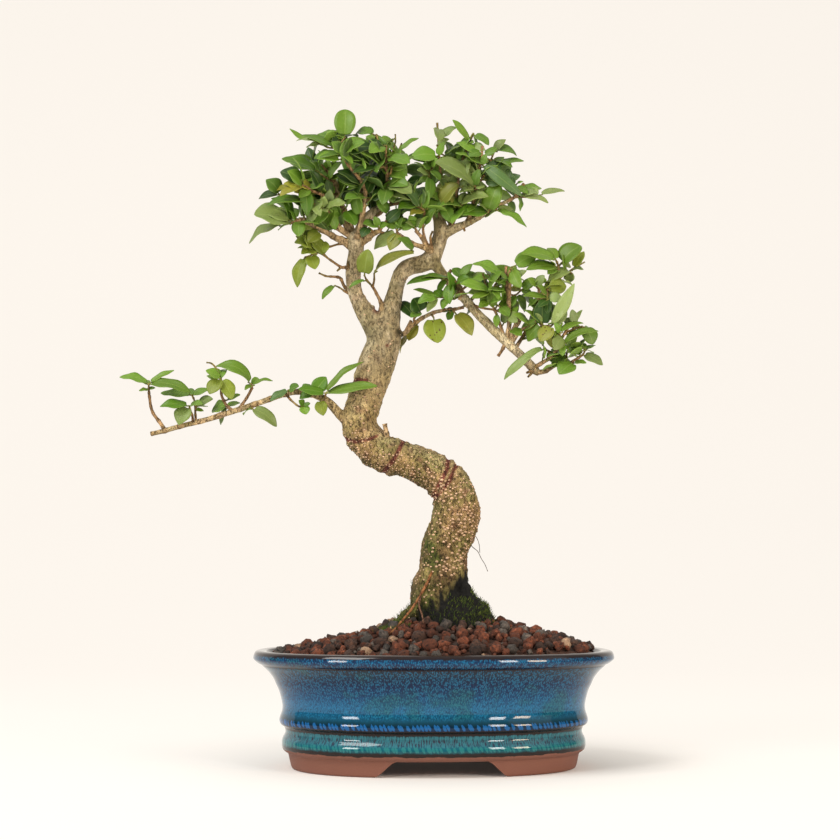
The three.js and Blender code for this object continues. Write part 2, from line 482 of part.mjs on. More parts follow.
// Leafy sprays: stems as [x, z, depth, radius] and leaves as frontLeaf() takes them
const LEFT_CROWN_SPRAYS = {
  spray_left_outer: {
    stems: [
      [[-60, 367, -4, 3.2], [-66, 369.5, -6, 2.6], [-72, 372.5, -9, 2.2], [-79, 376.5, -13, 1.9],
        [-86, 380.5, -17, 1.8], [-92, 383.5, -20, 2], [-96, 384, -21, 1.8]],
      [[-94, 383.7, -21, 1.2], [-98, 383, -22, 1], [-101.5, 381.5, -22, 0.8]],
    ],
    leaves: [
      [-101.5, 381.5, -22, -128, 388, -31, 16.5, 0], [-107, 380.5, -18, -132.5, 370, -20, 9.5],
      [-95, 382, -22, -96, 372, -27, 10, 0],
    ],
  },
  spray_left_bright: {
    stems: [
      [[-59.5, 372.4, -6, 2], [-65, 376.5, -9, 1.9], [-69, 382, -12, 1.6], [-72, 387, -14, 1.4],
        [-76, 391, -16, 1.2]],
      [[-75, 390, -16, 1.1], [-79, 392.6, -19, 0.9], [-84, 395.3, -22, 0.7], [-88, 396, -23, 0.6]],
    ],
    leaves: [
      [-88, 396, -23, -118.5, 397.5, -33, 10], [-76, 389, -17, -85, 381, -26, 6.5],
      [-76.5, 391.5, -19, -65, 396.5, -27, 6],
    ],
  },
  spray_left_dark: {
    stems: [
      [[-57, 372, -2, 3.2], [-60, 380, -2, 2.6], [-64, 391, -2, 2.2], [-67.5, 400, -2, 1.9],
        [-69.5, 409, -2, 1.8], [-72.5, 415.5, -3, 1.6], [-76, 419.5, -4, 1], [-80, 424.5, -4, 0.6]],
      [[-65, 393, -2, 1.6], [-70, 397, -10, 1.3], [-78, 401.5, -18, 1.1], [-85, 404.5, -23, 1],
        [-92, 407.5, -26, 0.9]],
      [[-88, 406, -24.5, 1], [-93.5, 408.6, -27, 0.9], [-103, 405, -22, 0.7], [-110, 402.5, -20, 0.6]],
      [[-71, 412, -3, 1.1], [-75, 413.5, -7, 0.8], [-80, 417, -9, 0.7], [-83, 419.5, -9, 0.6]],
      [[-68.3, 403, -2.5, 1], [-71.5, 402.5, -9, 0.7]],
      [[-64.3, 391.5, -2.5, 1], [-63.5, 391.3, -9, 0.8], [-62.5, 391, -12, 0.7]],
    ],
    leaves: [
      [-92.5, 408.3, -28, -109.5, 401.5, -35, 9.5, 10], [-92.5, 409.5, -28, -107, 410.5, -31, 5],
      [-92, 411.5, -29, -103.5, 420, -36, 10.5], [-93, 413, -24, -109.5, 419, -26, 11],
      [-98, 409, -23, -113.5, 407, -20, 6], [-110, 402.5, -20, -119.5, 413.5, -22, 11.5, 0],
      [-110, 402.5, -19, -125, 400, -17, 7], [-83, 419.5, -9, -108.5, 428.5, -14, 11.5, 0],
      [-72, 415, -10, -66, 426.5, -15, 10.5], [-76, 413, -9, -92, 412, -15, 5],
      [-71.5, 402.5, -10, -89.5, 398.5, -17, 6.5], [-62.5, 391, -12, -55.3, 381, -17, 10.5, 0],
    ],
  },
  spray_left_top: {
    stems: [
      [[-54.5, 371, -8, 2.4], [-52, 379, -13, 1.9], [-50.3, 389, -17, 1.7], [-48.7, 399, -20, 1.5],
        [-48.8, 404, -21, 1.3], [-50.5, 410, -23, 1.2], [-53.5, 415, -25, 1.1], [-57, 419, -27, 1],
        [-61, 424, -29, 0.9], [-65, 430, -30, 0.8]],
      [[-48.5, 397, -19.5, 1], [-43, 400.5, -19, 0.8], [-37.5, 403.5, -18, 0.6]],
      [[-63, 427, -29.6, 0.9], [-66, 432.5, -29, 0.8], [-68.5, 436.5, -26, 0.7], [-66, 440, -20, 0.7],
        [-63.5, 444, -17, 0.7]],
      [[-68.5, 436.5, -26, 0.7], [-76, 437, -21, 0.6], [-84, 442.7, -17, 0.5]],
      [[-50, 409, -22.5, 0.9], [-52.5, 409.5, -19, 0.7]], [[-49, 406, -21.5, 0.8], [-51.5, 404.5, -15, 0.7]],
    ],
    leaves: [
      [-66.5, 431, -30, -85.5, 430, -33, 9], [-61.5, 433.5, -28, -72, 441.5, -33, 10.5],
      [-71.5, 436.8, -26, -94.5, 446.5, -29, 8], [-84, 442.7, -17, -103, 450.5, -14, 4, 0, -0.16],
      [-63.5, 444, -17, -63.2, 465, -12, 15.5, 0], [-62.5, 443, -16, -54, 446, -3, 7],
      [-65, 441, -18, -70, 449.5, -8, 7], [-52, 410.3, -19, -67.5, 413, -23, 10.5, 0],
      [-51.5, 404.5, -15, -66, 404.5, -12, 7],
    ],
  },
  spray_left_inner: {
    stems: [
      [[-39, 392.5, -5, 2], [-35, 401, -9, 1.6], [-32.8, 410, -13, 1.4], [-33, 418, -16, 1.2],
        [-34, 428, -19, 0.9], [-33.5, 438.5, -21, 0.7]],
      [[-33, 417, -15.5, 0.9], [-31.5, 426, -14, 0.8], [-29, 434, -12, 0.6], [-27, 441, -11, 0.5],
        [-27.2, 446.5, -10, 0.5]],
      [[-30.5, 429, -13.5, 0.7], [-26, 432.5, -10, 0.7], [-22.5, 440, -9, 0.5]],
      [[-34, 427, -19, 0.8], [-38, 437, -17, 0.7], [-40.8, 446.5, -15, 0.6]],
      [[-33.7, 420, -16.8, 0.9], [-35.5, 423, -21, 0.8], [-40, 421, -23, 0.6], [-45.5, 421.5, -23, 0.6]],
      [[-40.4, 444.6, -15.4, 0.8], [-43, 446.5, -13, 0.6]],
      [[-33, 415, -15, 1], [-31, 417, -17, 0.8], [-30, 421, -18, 0.7], [-31, 430, -15, 0.6]],
      [[-26.2, 432.3, -10, 0.8], [-24.3, 434, -10, 0.6]],
      [[-33, 411, -13.5, 1.1], [-35, 411.8, -11, 0.9], [-38, 413, -8, 0.7]],
      [[-33.5, 407, -11.8, 1.1], [-33.5, 408, -16, 0.9], [-31, 409.5, -18, 0.7]],
    ],
    leaves: [
      [-35.5, 424, -21.5, -63, 442.5, -25, 13.5, 0], [-45.5, 421.5, -23, -61, 430.5, -26, 10.5],
      [-36.5, 420.5, -23, -57.5, 418.5, -35, 5.5], [-43, 446.5, -13, -55.5, 448.5, -10, 8, 0],
      [-30.5, 422.5, -18.5, -14, 430, -22, 5.5], [-24.3, 434, -10, -10.5, 443.7, -9, 3.8, 0],
      [-35, 412, -11, -50.5, 412.5, -12, 14.5, 8], [-36, 412, -9, -46, 403, -4, 8],
      [-34, 407.5, -17, -42.5, 398, -24, 9, 0], [-33, 407.5, -17, -28.5, 396.5, -21, 8.5, 0],
      [-31, 410, -18.5, -24.5, 413.5, -23, 6, 0], [-31, 409.5, -17, -17, 406.5, -14, 5],
    ],
  },
  spray_left_low: {
    stems: [
      [[-52, 367, -5, 3], [-46, 371.5, -7, 2.4], [-41, 375, -9, 1.9], [-37.5, 376, -10, 1.5]],
      [[-38, 375.5, -9, 0.9], [-33, 374.5, -6, 0.7], [-29.5, 376.5, -4, 0.5]],
      [[-38, 376, -9.5, 1], [-35.5, 380.5, -9, 0.9], [-31.5, 385.5, -9, 0.8], [-26, 390, -9, 0.7]],
      [[-37.8, 375.8, -10, 1], [-39, 379, -12, 0.8]], [[-42, 374.4, -8.8, 1], [-46, 378.5, -13, 0.7]],
    ],
    leaves: [
      [-38.8, 379, -12, -50, 381.3, -18, 9, 0], [-46, 378.5, -13, -51, 371.8, -17, 7, 0],
      [-39, 378.5, -11, -32, 381, -13, 6], [-39, 379, -12, -42, 386.5, -16, 6],
    ],
  },
  spray_left_yellow: {
    stems: [
      [[-57, 346, -4, 1.6], [-62, 349.5, -7, 1.3], [-66, 350, -9, 1], [-72.5, 354.5, -11, 0.8],
        [-79.5, 359.5, -13, 0.7]],
      [[-78, 358.6, -12.6, 0.8], [-82, 361.3, -14.5, 0.7], [-86, 364.5, -16, 0.6]],
      [[-81, 360.7, -14, 0.7], [-87, 358.5, -15, 0.6], [-91.5, 357, -15, 0.6]],
    ],
    leaves: [
      [-86, 364.5, -16, -98.5, 368.5, -21, 11, 0], [-84.5, 364.5, -15, -90.5, 377, -13, 9],
      [-83, 361, -16, -94, 359.5, -21, 8.5, 0], [-79.8, 360.5, -12.5, -76.8, 369, -10, 8.5, 0],
      [-91.5, 357, -15, -96.7, 335.3, -17, 8.5, 0, 0.12], [-88, 358, -16, -84, 348.5, -20, 9.5, 0],
    ],
  },
  spray_left_curl: {
    stems: [
      [[-60, 331, -1, 1], [-64, 333, -3, 0.8]],
      [[-63.3, 332.8, -2.7, 0.7], [-67, 335.2, -4, 0.6], [-70, 336.6, -5, 0.5]],
    ],
    leaves: [[-70, 336.6, -5, -79, 326.8, -8, 4.6, 0, 0.2]],
  },
  spray_crotch: {
    stems: [
      [[-36, 316, 0, 2.4], [-37.5, 325, -2, 1.4], [-40.5, 331, -4, 1.1], [-43.5, 336.5, -6, 1]],
      [[-43, 335.5, -5.8, 0.9], [-42, 341, -8, 0.7], [-42, 345.5, -12, 0.6]],
      [[-43.2, 336, -5.8, 0.8], [-47.3, 340.5, -9, 0.7], [-49, 344, -12, 0.6]],
      [[-43.3, 336.2, -5.8, 0.6], [-48, 340.2, -13, 0.5]],
    ],
    leaves: [
      [-49, 344, -12, -47, 362.3, -20, 12.5, 0], [-42, 345.5, -12, -15, 361.5, -27, 12.5, -10],
      [-48, 340.2, -13, -60, 335.7, -16, 3, 0, 0.16],
    ],
  },
};
const RIGHT_CROWN_SPRAYS = {
  spray_centre: {
    stems: [
      [[-1, 361, -3, 2.6], [-8, 364.5, -6, 1.8], [-15, 367, -8, 1.7], [-20, 370.3, -10, 1.6],
        [-24.5, 373.2, -11, 1.4]],
      [[-4, 362, -5, 1.8], [-8, 371, -9, 1.4], [-12.5, 376.3, -11, 1.2]],
      [[-2.5, 363, -5, 1.4], [-6.5, 372, -9, 1], [-7.2, 383, -11, 0.9], [-5.5, 389.5, -12, 0.8]],
      [[-1, 363, -4.5, 1.2], [-2, 371, -8, 0.8], [-0.3, 376, -9, 0.7]],
      [[-23, 372.3, -10.7, 1.1], [-25.3, 374.5, -12, 0.9], [-26, 377, -11, 0.7]],
      [[-21, 370.9, -10.2, 1], [-19, 366, -13, 0.7], [-14, 361, -15, 0.6]],
      [[-6, 387.5, -11.8, 0.9], [-7, 391.5, -14, 0.8], [-12, 394, -15, 0.7], [-15, 398, -15, 0.6]],
    ],
    leaves: [
      [-25.7, 374.5, -13, -31, 362, -16, 9.5, 0], [-25.5, 374.5, -11, -43, 364, -8, 10.5],
      [-14, 361, -15, -24.5, 371.5, -20, 9.5, 10], [-14, 360.5, -15, -23.5, 357.5, -18, 3.6, 0],
      [-26, 377, -11, -21.5, 385.8, -15, 3.8, 0], [-7.3, 389, -15, -16.5, 387.5, -22, 6.5, 0],
      [-12.5, 393.8, -16, -25, 392, -22, 9, 0], [-8.5, 391.5, -13, -23, 389, -12, 6],
      [-6.5, 392, -14, -3.5, 405.5, -18, 8], [-9.5, 394.5, -15, -20.5, 405, -22, 8.5],
      [-15, 398.8, -16, -28.5, 402.2, -26, 7.5, 0], [-15, 398.5, -13, -19.5, 412, -8, 9],
    ],
  },
  spray_right_stick: {
    stems: [
      [[5, 384, 2, 2], [6.5, 396, 3, 1.4], [6, 408, 1, 1.1], [5, 420, -2, 0.9], [4, 436, -5, 0.8],
        [3, 455, -8, 0.7]],
      [[6.4, 398, 3, 1.1], [0.5, 403, -1, 0.9], [-1, 408, -4, 0.9], [-1.7, 417, -6, 0.8],
        [-2.2, 427, -7, 0.7]],
      [[-1.5, 414, -5.6, 0.8], [-3, 416, -9, 0.7], [-1, 422, -10, 0.6]],
      [[4.4, 430, -4, 0.9], [3.5, 430.5, -8, 0.7]], [[4, 437, -5.2, 0.7], [2.5, 438.5, -7, 0.6]],
      [[6.2, 404, 1.8, 1.1], [5.6, 402, -5, 0.9], [5, 396, -9, 0.7]],
    ],
    leaves: [
      [-3, 416.5, -9, -11.5, 420.5, -12, 7.5, 0], [3.5, 430.5, -8, -15.5, 430.3, -12, 10.5, -20],
      [2.5, 438.5, -7, 11.5, 443, -9, 5, 0], [5, 396, -9, 16.8, 411, -15, 13, 0],
    ],
  },
  spray_right_top: {
    stems: [
      [[11, 376, 0, 2], [13.5, 385, 3, 1.7], [15.5, 396, 5, 1.3], [17.5, 410, 4, 1.1], [19.5, 420, 1, 1],
        [21.5, 428.5, -3, 0.9], [25, 437, -6, 0.8], [29, 447.5, -9, 0.6]],
      [[25.5, 438.3, -6.3, 0.8], [25.8, 441, -7.5, 0.7]], [[28.6, 446.3, -8.8, 0.6], [29, 446.3, -10, 0.5]],
    ],
    leaves: [[25.8, 441.5, -8, 14.6, 457.6, -10, 5.6, 0], [29, 446.3, -10, 40, 438.7, -14, 6.5, 0]],
  },
  spray_right_large: {
    stems: [
      [[24, 382, -3, 1.6], [28, 392, -6, 1.5], [30, 403, -9, 1.3], [31.5, 412, -10, 1.2],
        [33.2, 421, -11, 1.1], [34.5, 430, -12, 1], [35.5, 438, -13, 0.9]],
      [[31.5, 409, -10, 1], [36, 415.5, -7, 0.9], [39.8, 423.5, -5, 0.8], [43.5, 433, -4, 0.6]],
      [[31, 408.5, -9.7, 1], [29.8, 408, -14, 0.8]], [[34, 425.8, -11.5, 0.8], [35.5, 424, -14.5, 0.7]],
      [[42.5, 430.6, -4.3, 0.7], [44, 434, -4, 0.6]], [[38, 419.8, -6, 0.8], [41, 421.5, -3, 0.6]],
      [[26.6, 388.5, -5.2, 1], [22, 393, -9, 0.7], [19.5, 395, -10, 0.6]],
    ],
    leaves: [
      [29.8, 408, -14, 1.5, 426.5, -23, 15, 0], [30, 408, -13, 33, 421, -18, 6.5],
      [35.5, 422.8, -15, 63.5, 402.5, -22, 7.5, 30], [43, 434, -4.5, 51.8, 443, -7, 7, 0],
      [44.5, 434.3, -3.5, 60, 431.8, -6, 7, 0, 0.2], [41, 421.5, -3, 65, 427, -4, 7],
      [41, 420.5, -2, 51, 412.5, 3, 8], [19.5, 395.5, -10, 39, 402, -20, 11.5, 0],
    ],
  },
  spray_right_edge: {
    stems: [
      [[59, 400.6, -9, 1.2], [60.5, 405, -8, 1.1], [65, 410.3, -7, 1]],
      [[60.2, 404, -8.2, 0.9], [58, 407.5, -9, 0.7], [55.5, 411.5, -9, 0.6]],
    ],
    leaves: [[55, 411.5, -9, 43, 418.5, -14, 8, 0], [56.5, 412, -8, 62, 417.5, -4, 6.5, 0]],
  },
  spray_right_oval: {
    stems: [[[37.5, 388.8, -4.8, 1.2], [39.3, 390, -9, 0.8]]],
    leaves: [[38, 389.6, -9, 17.5, 388.7, -16, 12.5, 0], [39.5, 391, -8.5, 46, 411.5, -13, 13.5, 0]],
  },
  spray_right_droop: {
    stems: [[[44, 392.6, -5.6, 1], [45.5, 391, -9, 0.7]]],
    leaves: [[45.5, 390.7, -9, 67.3, 381.3, -13, 5.5, 0, 0.1], [46, 391.7, -8, 57, 391.7, -5, 5]],
  },
  spray_right_fold: {
    stems: [[[51, 396.7, -7, 0.9], [53, 396.5, -3, 0.7]]],
    leaves: [[53, 396.5, -3, 58.5, 389, 1, 9.5, 0]],
  },
  spray_right_tip: {
    stems: [[[73, 400.5, -10.7, 0.7], [76, 402, -11, 0.6]]],
    leaves: [[76, 402.5, -11, 94, 405.7, -12, 5, 0], [75, 401, -11, 70, 408, -6, 5]],
  },
  spray_right_reach: {
    stems: [[[62, 401, -9.3, 0.8], [62.5, 402.8, -12, 0.6]]],
    leaves: [[62.8, 403.3, -12.5, 74, 404, -17, 6], [63, 399.5, -12, 82.3, 396.3, -16, 6, 0]],
  },
};
const LOWER_RIGHT_SPRAYS = {
  spray_below_long: {
    stems: [
      [[20, 327, -4, 2.2], [18, 335, -7, 2.3], [17, 340, -8, 2.1]],
      [[17.5, 337.5, -7.5, 1], [15, 339.5, -11, 0.8], [9, 341, -12, 0.6]],
      [[17.3, 339, -7.8, 0.8], [19.5, 342.5, -9, 0.6]],
      [[19, 331, -5.6, 1], [15, 327, -9, 0.8], [8, 328, -11, 0.7], [3, 328, -12, 0.6]],
    ],
    leaves: [
      [15, 340.5, -11.5, -8.3, 343.5, -17, 6.5, 20], [8, 341, -12, -18.8, 337.3, -16, 7.5, 10],
      [20, 342.5, -8, 35, 341.5, -6, 8], [3, 328.3, -12, -11, 324, -16, 7],
      [2.5, 328.5, -11.5, -14, 334, -9, 5],
    ],
  },
  spray_behind_dark: {
    stems: [[[-13, 309.6, 2.6, 1], [-13.5, 313, -2, 0.8], [-9, 317, -5, 0.7]]],
    leaves: [[-9, 317.5, -5, -14, 327.5, -8, 14, 0], [-13.5, 313.5, -2, -23.5, 324.5, 9, 8]],
  },
  spray_behind_yellow: {
    stems: [[[-1.5, 316.2, 1.3, 0.8], [0.3, 313.5, -2, 0.6]]],
    leaves: [[0.3, 313.5, -2, 3.2, 295.3, -8, 15.5, 0, 0.04]],
  },
  spray_behind_low: {
    stems: [[[-8.5, 312.6, 2.1, 0.8], [-11, 309.5, 8, 0.6]]],
    leaves: [[-11, 309.5, 8, -17.5, 297, 9, 9, 0], [-11.5, 309, 8.5, -23.5, 288, 22, 6]],
  },
  spray_behind_drop: {
    stems: [[[13, 319.3, -0.6, 0.8], [15.5, 317, -4, 0.6]]],
    leaves: [[16, 316.8, -4, 27.8, 301.3, -9, 11, 0], [14.5, 317, -3, 10, 312, -1, 6.5, 0]],
  },
  spray_below_bright: {
    stems: [
      [[26, 324, -6, 1.2], [31, 321.5, -9, 0.9], [37, 320, -12, 0.8], [43.5, 319, -14, 0.8],
        [50, 316.5, -14, 0.7]],
      [[50.5, 298.5, -12, 1.6], [46, 313, -13, 0.9], [43.5, 319, -14, 0.9], [41, 325, -15, 0.8],
        [39, 331, -15, 0.8], [37.5, 337, -15, 0.7], [35.3, 345.3, -15, 0.6]],
      [[39, 330.5, -15, 0.8], [40.5, 331.5, -18, 0.7], [44, 337, -20, 0.6], [48, 343, -20, 0.6]],
      [[44.5, 317, -13.6, 0.7], [45.5, 316, -16, 0.5]],
    ],
    leaves: [
      [48, 343.5, -20, 28.6, 353.5, -19, 8, 0, 0.12], [40.5, 331.5, -18.5, 47.5, 347, -28, 12, -20],
      [39.5, 332, -18, 19.5, 338.5, -23, 9], [39.5, 330.8, -18, 25, 331.5, -20, 8],
      [41, 331, -19, 27.5, 327.3, -26, 5], [45.5, 316.5, -16, 45, 306.5, -18, 5, 0],
    ],
  },
  spray_below_twin: {
    stems: [
      [[52, 297, -12, 2.2], [54, 310, -15, 1.5], [53.7, 326, -18, 1.4], [52.5, 336, -19, 1.2],
        [51.7, 344, -19, 1], [52, 350.5, -19, 0.9]],
      [[52, 341, -19, 0.8], [55.6, 349.5, -20, 0.7]], [[53.7, 327, -18.5, 1.3], [54.8, 338.5, -22, 1.2]],
      [[52, 343, -19, 0.7], [55, 343.5, -16, 0.6]],
      [[53.2, 331, -18.5, 0.8], [58, 329.5, -14, 0.7], [63, 333.5, -13, 0.6]],
    ],
    leaves: [
      [55, 343.5, -16, 63, 346, -17, 7.5, 0], [63, 333.8, -13, 54.8, 334, -12, 7, 0],
      [58, 329.5, -13.5, 66, 318, -10, 9.5],
    ],
  },
  spray_lower_tall: {
    stems: [
      [[55, 295, -12, 2], [62, 304.3, -17, 1.2], [68, 306.3, -20, 1.1], [73, 309.5, -21, 1.1],
        [74.5, 319, -20, 1.1], [75, 328, -19, 1.2], [75.6, 341.3, -19, 1.1]],
      [[74.8, 321, -20, 1.1], [79, 329.5, -21, 1.3], [82, 335.5, -20, 1.2], [84.5, 340.5, -18, 1.1],
        [90, 342.3, -16, 1], [94.5, 345.3, -15, 0.9], [97.3, 346.3, -14, 0.8], [99, 344.8, -14, 0.6]],
      [[88, 341.5, -17, 0.9], [89.3, 348, -17, 0.8], [88.3, 354, -18, 0.7]],
      [[88.5, 352.5, -17.7, 0.8], [87.5, 355, -19, 0.6]], [[88.9, 349.5, -17.2, 0.7], [91, 352.5, -15, 0.6]],
      [[96, 345.9, -14.5, 0.8], [99, 348.2, -12, 0.7], [104, 351.3, -11, 0.6], [108, 353.5, -11, 0.5]],
      [[80.7, 333, -20.6, 1], [82, 334, -24, 0.7]],
      [[77.6, 327, -20.7, 1], [80, 327, -25, 0.7], [82, 327, -27, 0.6]],
      [[74, 313, -20.8, 1], [77, 308, -24, 0.8], [84, 307.5, -28, 0.7]],
    ],
    leaves: [
      [87, 355.2, -19, 62.8, 360, -24, 11.5, 0], [91, 352.8, -15, 105, 366, -17, 14, 0],
      [88, 349.3, -19, 66.5, 348.5, -25, 10, 0], [99.5, 349.5, -11.5, 107.5, 361.5, -10, 6.5, 0],
      [98, 347.3, -13.5, 82, 341.5, -24, 9.5], [98, 347, -13, 96, 338.5, -9, 7.5, 0],
      [82, 334, -24, 95, 337, -22, 9.5, 30], [82, 327.5, -27, 64, 329, -32, 4.8],
      [82, 327, -27, 81, 316.5, -33, 5.5, 0], [84, 308, -28, 100.5, 338, -34, 8, 15],
      [77.5, 308.5, -25, 78, 326, -31, 12.5, 0], [75.5, 309, -25, 64.5, 319, -30, 5],
      [76, 307, -24, 66, 297.5, -22, 11.5, 0], [83, 306.5, -27.5, 76, 296.5, -32, 10, 0],
      [84.5, 308, -27, 95, 318, -22, 7],
    ],
  },
  spray_end_upper: {
    stems: [
      [[71.5, 278, -16, 1.8], [76, 280.5, -21, 1.4], [83, 284.8, -22.5, 1.3], [88, 291, -24, 1.1],
        [90.3, 297, -25, 1], [95.5, 306, -25, 0.9]],
      [[93.7, 302.5, -25, 0.8], [100, 305.5, -24, 0.7], [106, 307.3, -23, 0.6]],
      [[88.6, 292.4, -24.2, 0.9], [91.5, 294, -27, 0.7]], [[90.8, 298.5, -25, 0.8], [89.5, 302, -28, 0.6]],
      [[104.5, 306.8, -23.2, 0.7], [107.5, 306.5, -22, 0.6]], [[99, 305, -24, 0.7], [99.5, 307.5, -21, 0.5]],
      [[82, 283.4, -21.5, 1], [82.5, 288, -22, 0.7], [79, 291.5, -22, 0.6]],
    ],
    leaves: [
      [91.5, 294.5, -27, 116.5, 305, -34, 6, 0], [89.5, 303, -28, 106.5, 309.5, -26, 4.2, 0, 0.14],
      [91.8, 293.5, -27, 91.5, 286, -31, 5, 0], [107.5, 306.5, -22, 113.5, 294.5, -24, 10.5, 0],
      [99, 308, -20, 106, 319, -16, 3.4, 0, 0.14], [79, 291.5, -22, 49.7, 270.5, -24, 6.5, 0, 0.16],
    ],
  },
  spray_end_right: {
    stems: [
      [[73, 274, -16, 2], [80, 275.6, -17, 1.6], [88, 280, -19, 1.3], [95, 280.3, -20, 1.1],
        [103.5, 285.2, -20, 0.9]],
      [[94.5, 280, -20, 0.8], [94.3, 285, -21.5, 0.7], [95.3, 290, -23, 0.6]],
      [[102.5, 284.5, -20, 0.9], [106, 287, -20.5, 0.7], [108, 290.5, -21, 0.6]],
      [[97, 281.4, -20, 0.9], [99.5, 281, -24, 0.7]],
    ],
    leaves: [[106, 287, -21, 120.3, 280.5, -24, 7.5, 0], [100.5, 281.5, -24, 89, 273, -30, 11.5, 0]],
  },
};
const LEFT_BRANCH_SPRAYS = {
  spray_branch_tip: {
    stems: [
      [[-189, 232.9, -6, 1.6], [-194, 240, -7, 1.2], [-198, 245.5, -8, 1.1], [-199.5, 250, -8, 1],
        [-200.7, 257, -9, 1], [-201, 260.5, -9, 0.9]],
      [[-200.9, 259, -9, 0.9], [-201.3, 263, -9.5, 0.7], [-201, 266.5, -10, 0.6]],
    ],
    leaves: [
      [-201.5, 266, -10, -222, 270.8, -14, 6.5, 0, 0.12], [-200.5, 267, -10, -183.5, 275.7, -8, 4, 0],
      [-200.5, 266, -11, -171.5, 260, -17, 8, 0, 0.12], [-201.3, 262, -10, -208, 261.5, -14, 3, 0],
      [-201.2, 262, -9, -196.7, 263.3, -6, 2.8, 0],
    ],
  },
  spray_branch_second: {
    stems: [
      [[-167.5, 238.5, -7, 1.1], [-168, 244, -5.5, 0.8], [-168.3, 251, -5, 0.7], [-169.5, 256.5, -5, 0.6]],
      [[-169.3, 255.5, -5, 0.7], [-170.5, 258, -6, 0.6]], [[-168.2, 249, -5, 0.7], [-166.5, 250.5, -6, 0.5]],
    ],
    leaves: [
      [-170.7, 258.5, -6, -158, 262, -8, 5.5, 0], [-166.5, 250.7, -6.5, -156.3, 256, -10, 8, 0],
      [-171.5, 258.5, -6, -192.7, 259.5, -2, 6.5, 0],
    ],
  },
  spray_branch_third: {
    stems: [
      [[-169.5, 238, -7, 1.1], [-170.3, 244, -9, 0.8], [-172, 248.5, -10, 0.7]],
      [[-171.7, 247.5, -9.8, 0.7], [-172.3, 250.5, -11, 0.6]],
    ],
    leaves: [
      [-172.5, 251.3, -11, -193, 250, -16, 7.5, 0, 0.12], [-173, 249.3, -11, -180.3, 237.7, -15, 11.5, 0],
    ],
  },
  spray_branch_square: {
    stems: [
      [[-141, 246.5, -8, 1.6], [-145, 249.5, -10, 1.1], [-148.3, 254.5, -11, 1], [-149.8, 259, -12, 0.9],
        [-150.5, 269.5, -12, 0.8], [-153, 276, -10, 0.7], [-156.8, 280.5, -9, 0.6], [-160.7, 281.4, -9, 0.5]],
      [[-150.3, 268, -12, 0.8], [-150.5, 270, -14, 0.6]], [[-148, 254, -11, 0.8], [-146, 254.5, -6, 0.6]],
      [[-144, 248.8, -9.6, 0.9], [-145.5, 250, -5, 0.7]],
    ],
    leaves: [
      [-151, 270, -14, -161, 275.7, -18, 7.5, 0], [-151, 269, -14.5, -158.3, 259, -20, 10, 0],
      [-150, 269, -14, -142, 256, -18, 9.5, 0], [-145.5, 250.3, -4.5, -157, 247.5, -2, 10, 0],
      [-145.5, 255, -5.5, -136.5, 258.5, -6, 3.8, 0], [-146.5, 249.5, -3.5, -150, 237, 4, 6],
    ],
  },
  spray_branch_arch: {
    stems: [
      [[-138, 247.5, -8, 1.4], [-135, 251.5, -7, 1.1], [-132, 256, -6, 1], [-128, 263.5, -5, 1]],
      [[-128.3, 262.6, -5, 0.9], [-128.6, 266, -6, 0.7]],
    ],
    leaves: [
      [-128.6, 266, -6, -154.5, 279.5, -8, 9.5, 0, 0.24], [-128.5, 265, -7, -133.3, 262.5, -10, 3.6, 0],
      [-128.2, 264.5, -6, -113.7, 268.3, -8, 3, 0, 0.2],
    ],
  },
  spray_branch_hanging: {
    stems: [[[-128, 250.8, -8, 1], [-128, 248.5, -11.5, 0.7]]],
    leaves: [[-128, 248, -12, -110.3, 237.3, -16, 8.5, 0, 0.14], [-128, 248, -11, -134, 244, -6, 6]],
  },
  spray_branch_curl: {
    stems: [
      [[-104, 259, -9, 1.3], [-101, 255, -12, 0.8], [-96.5, 251, -13, 0.7], [-93, 249.3, -14, 0.7]],
      [[-94.5, 249.9, -13.6, 0.7], [-91.5, 250.3, -14, 0.6]],
    ],
    leaves: [[-91.5, 250.5, -14, -95, 254.5, -16, 5, 0], [-91, 250.3, -14, -89.8, 244.5, -17, 7, 0]],
  },
  spray_branch_over: {
    stems: [[[-102, 259.8, -8, 1], [-102.2, 261.8, -11, 0.7]]],
    leaves: [[-103, 262.3, -11.5, -115.3, 254, -15, 5.5, 0], [-102, 262.5, -11, -95, 264.5, -14, 7.5, 0]],
  },
  spray_branch_inner: {
    stems: [
      [[-78, 255.6, -5.2, 1.1], [-76.5, 257, -10, 0.8], [-76, 259.5, -12, 0.7]],
      [[-76.5, 257.2, -10, 0.6], [-80, 254.5, -12, 0.5]],
    ],
    leaves: [
      [-77, 259.8, -12, -95.5, 262.5, -17, 8, 0], [-75.5, 258.7, -12.5, -40, 265.3, -20, 8.5, 0, 0.02],
      [-75.7, 260.5, -12, -51.3, 283.5, -14, 4.6, 0], [-80, 254, -12, -77.6, 244, -15, 8.5, 0],
    ],
  },
  spray_branch_upright: {
    stems: [[[-84, 258.2, -5.8, 1], [-85.5, 259.5, -10, 0.6]]],
    leaves: [[-84.5, 260.5, -10, -75.8, 271, -7, 9.5, 20], [-86, 259.5, -10, -94.5, 256.5, -13, 6]],
  },
};
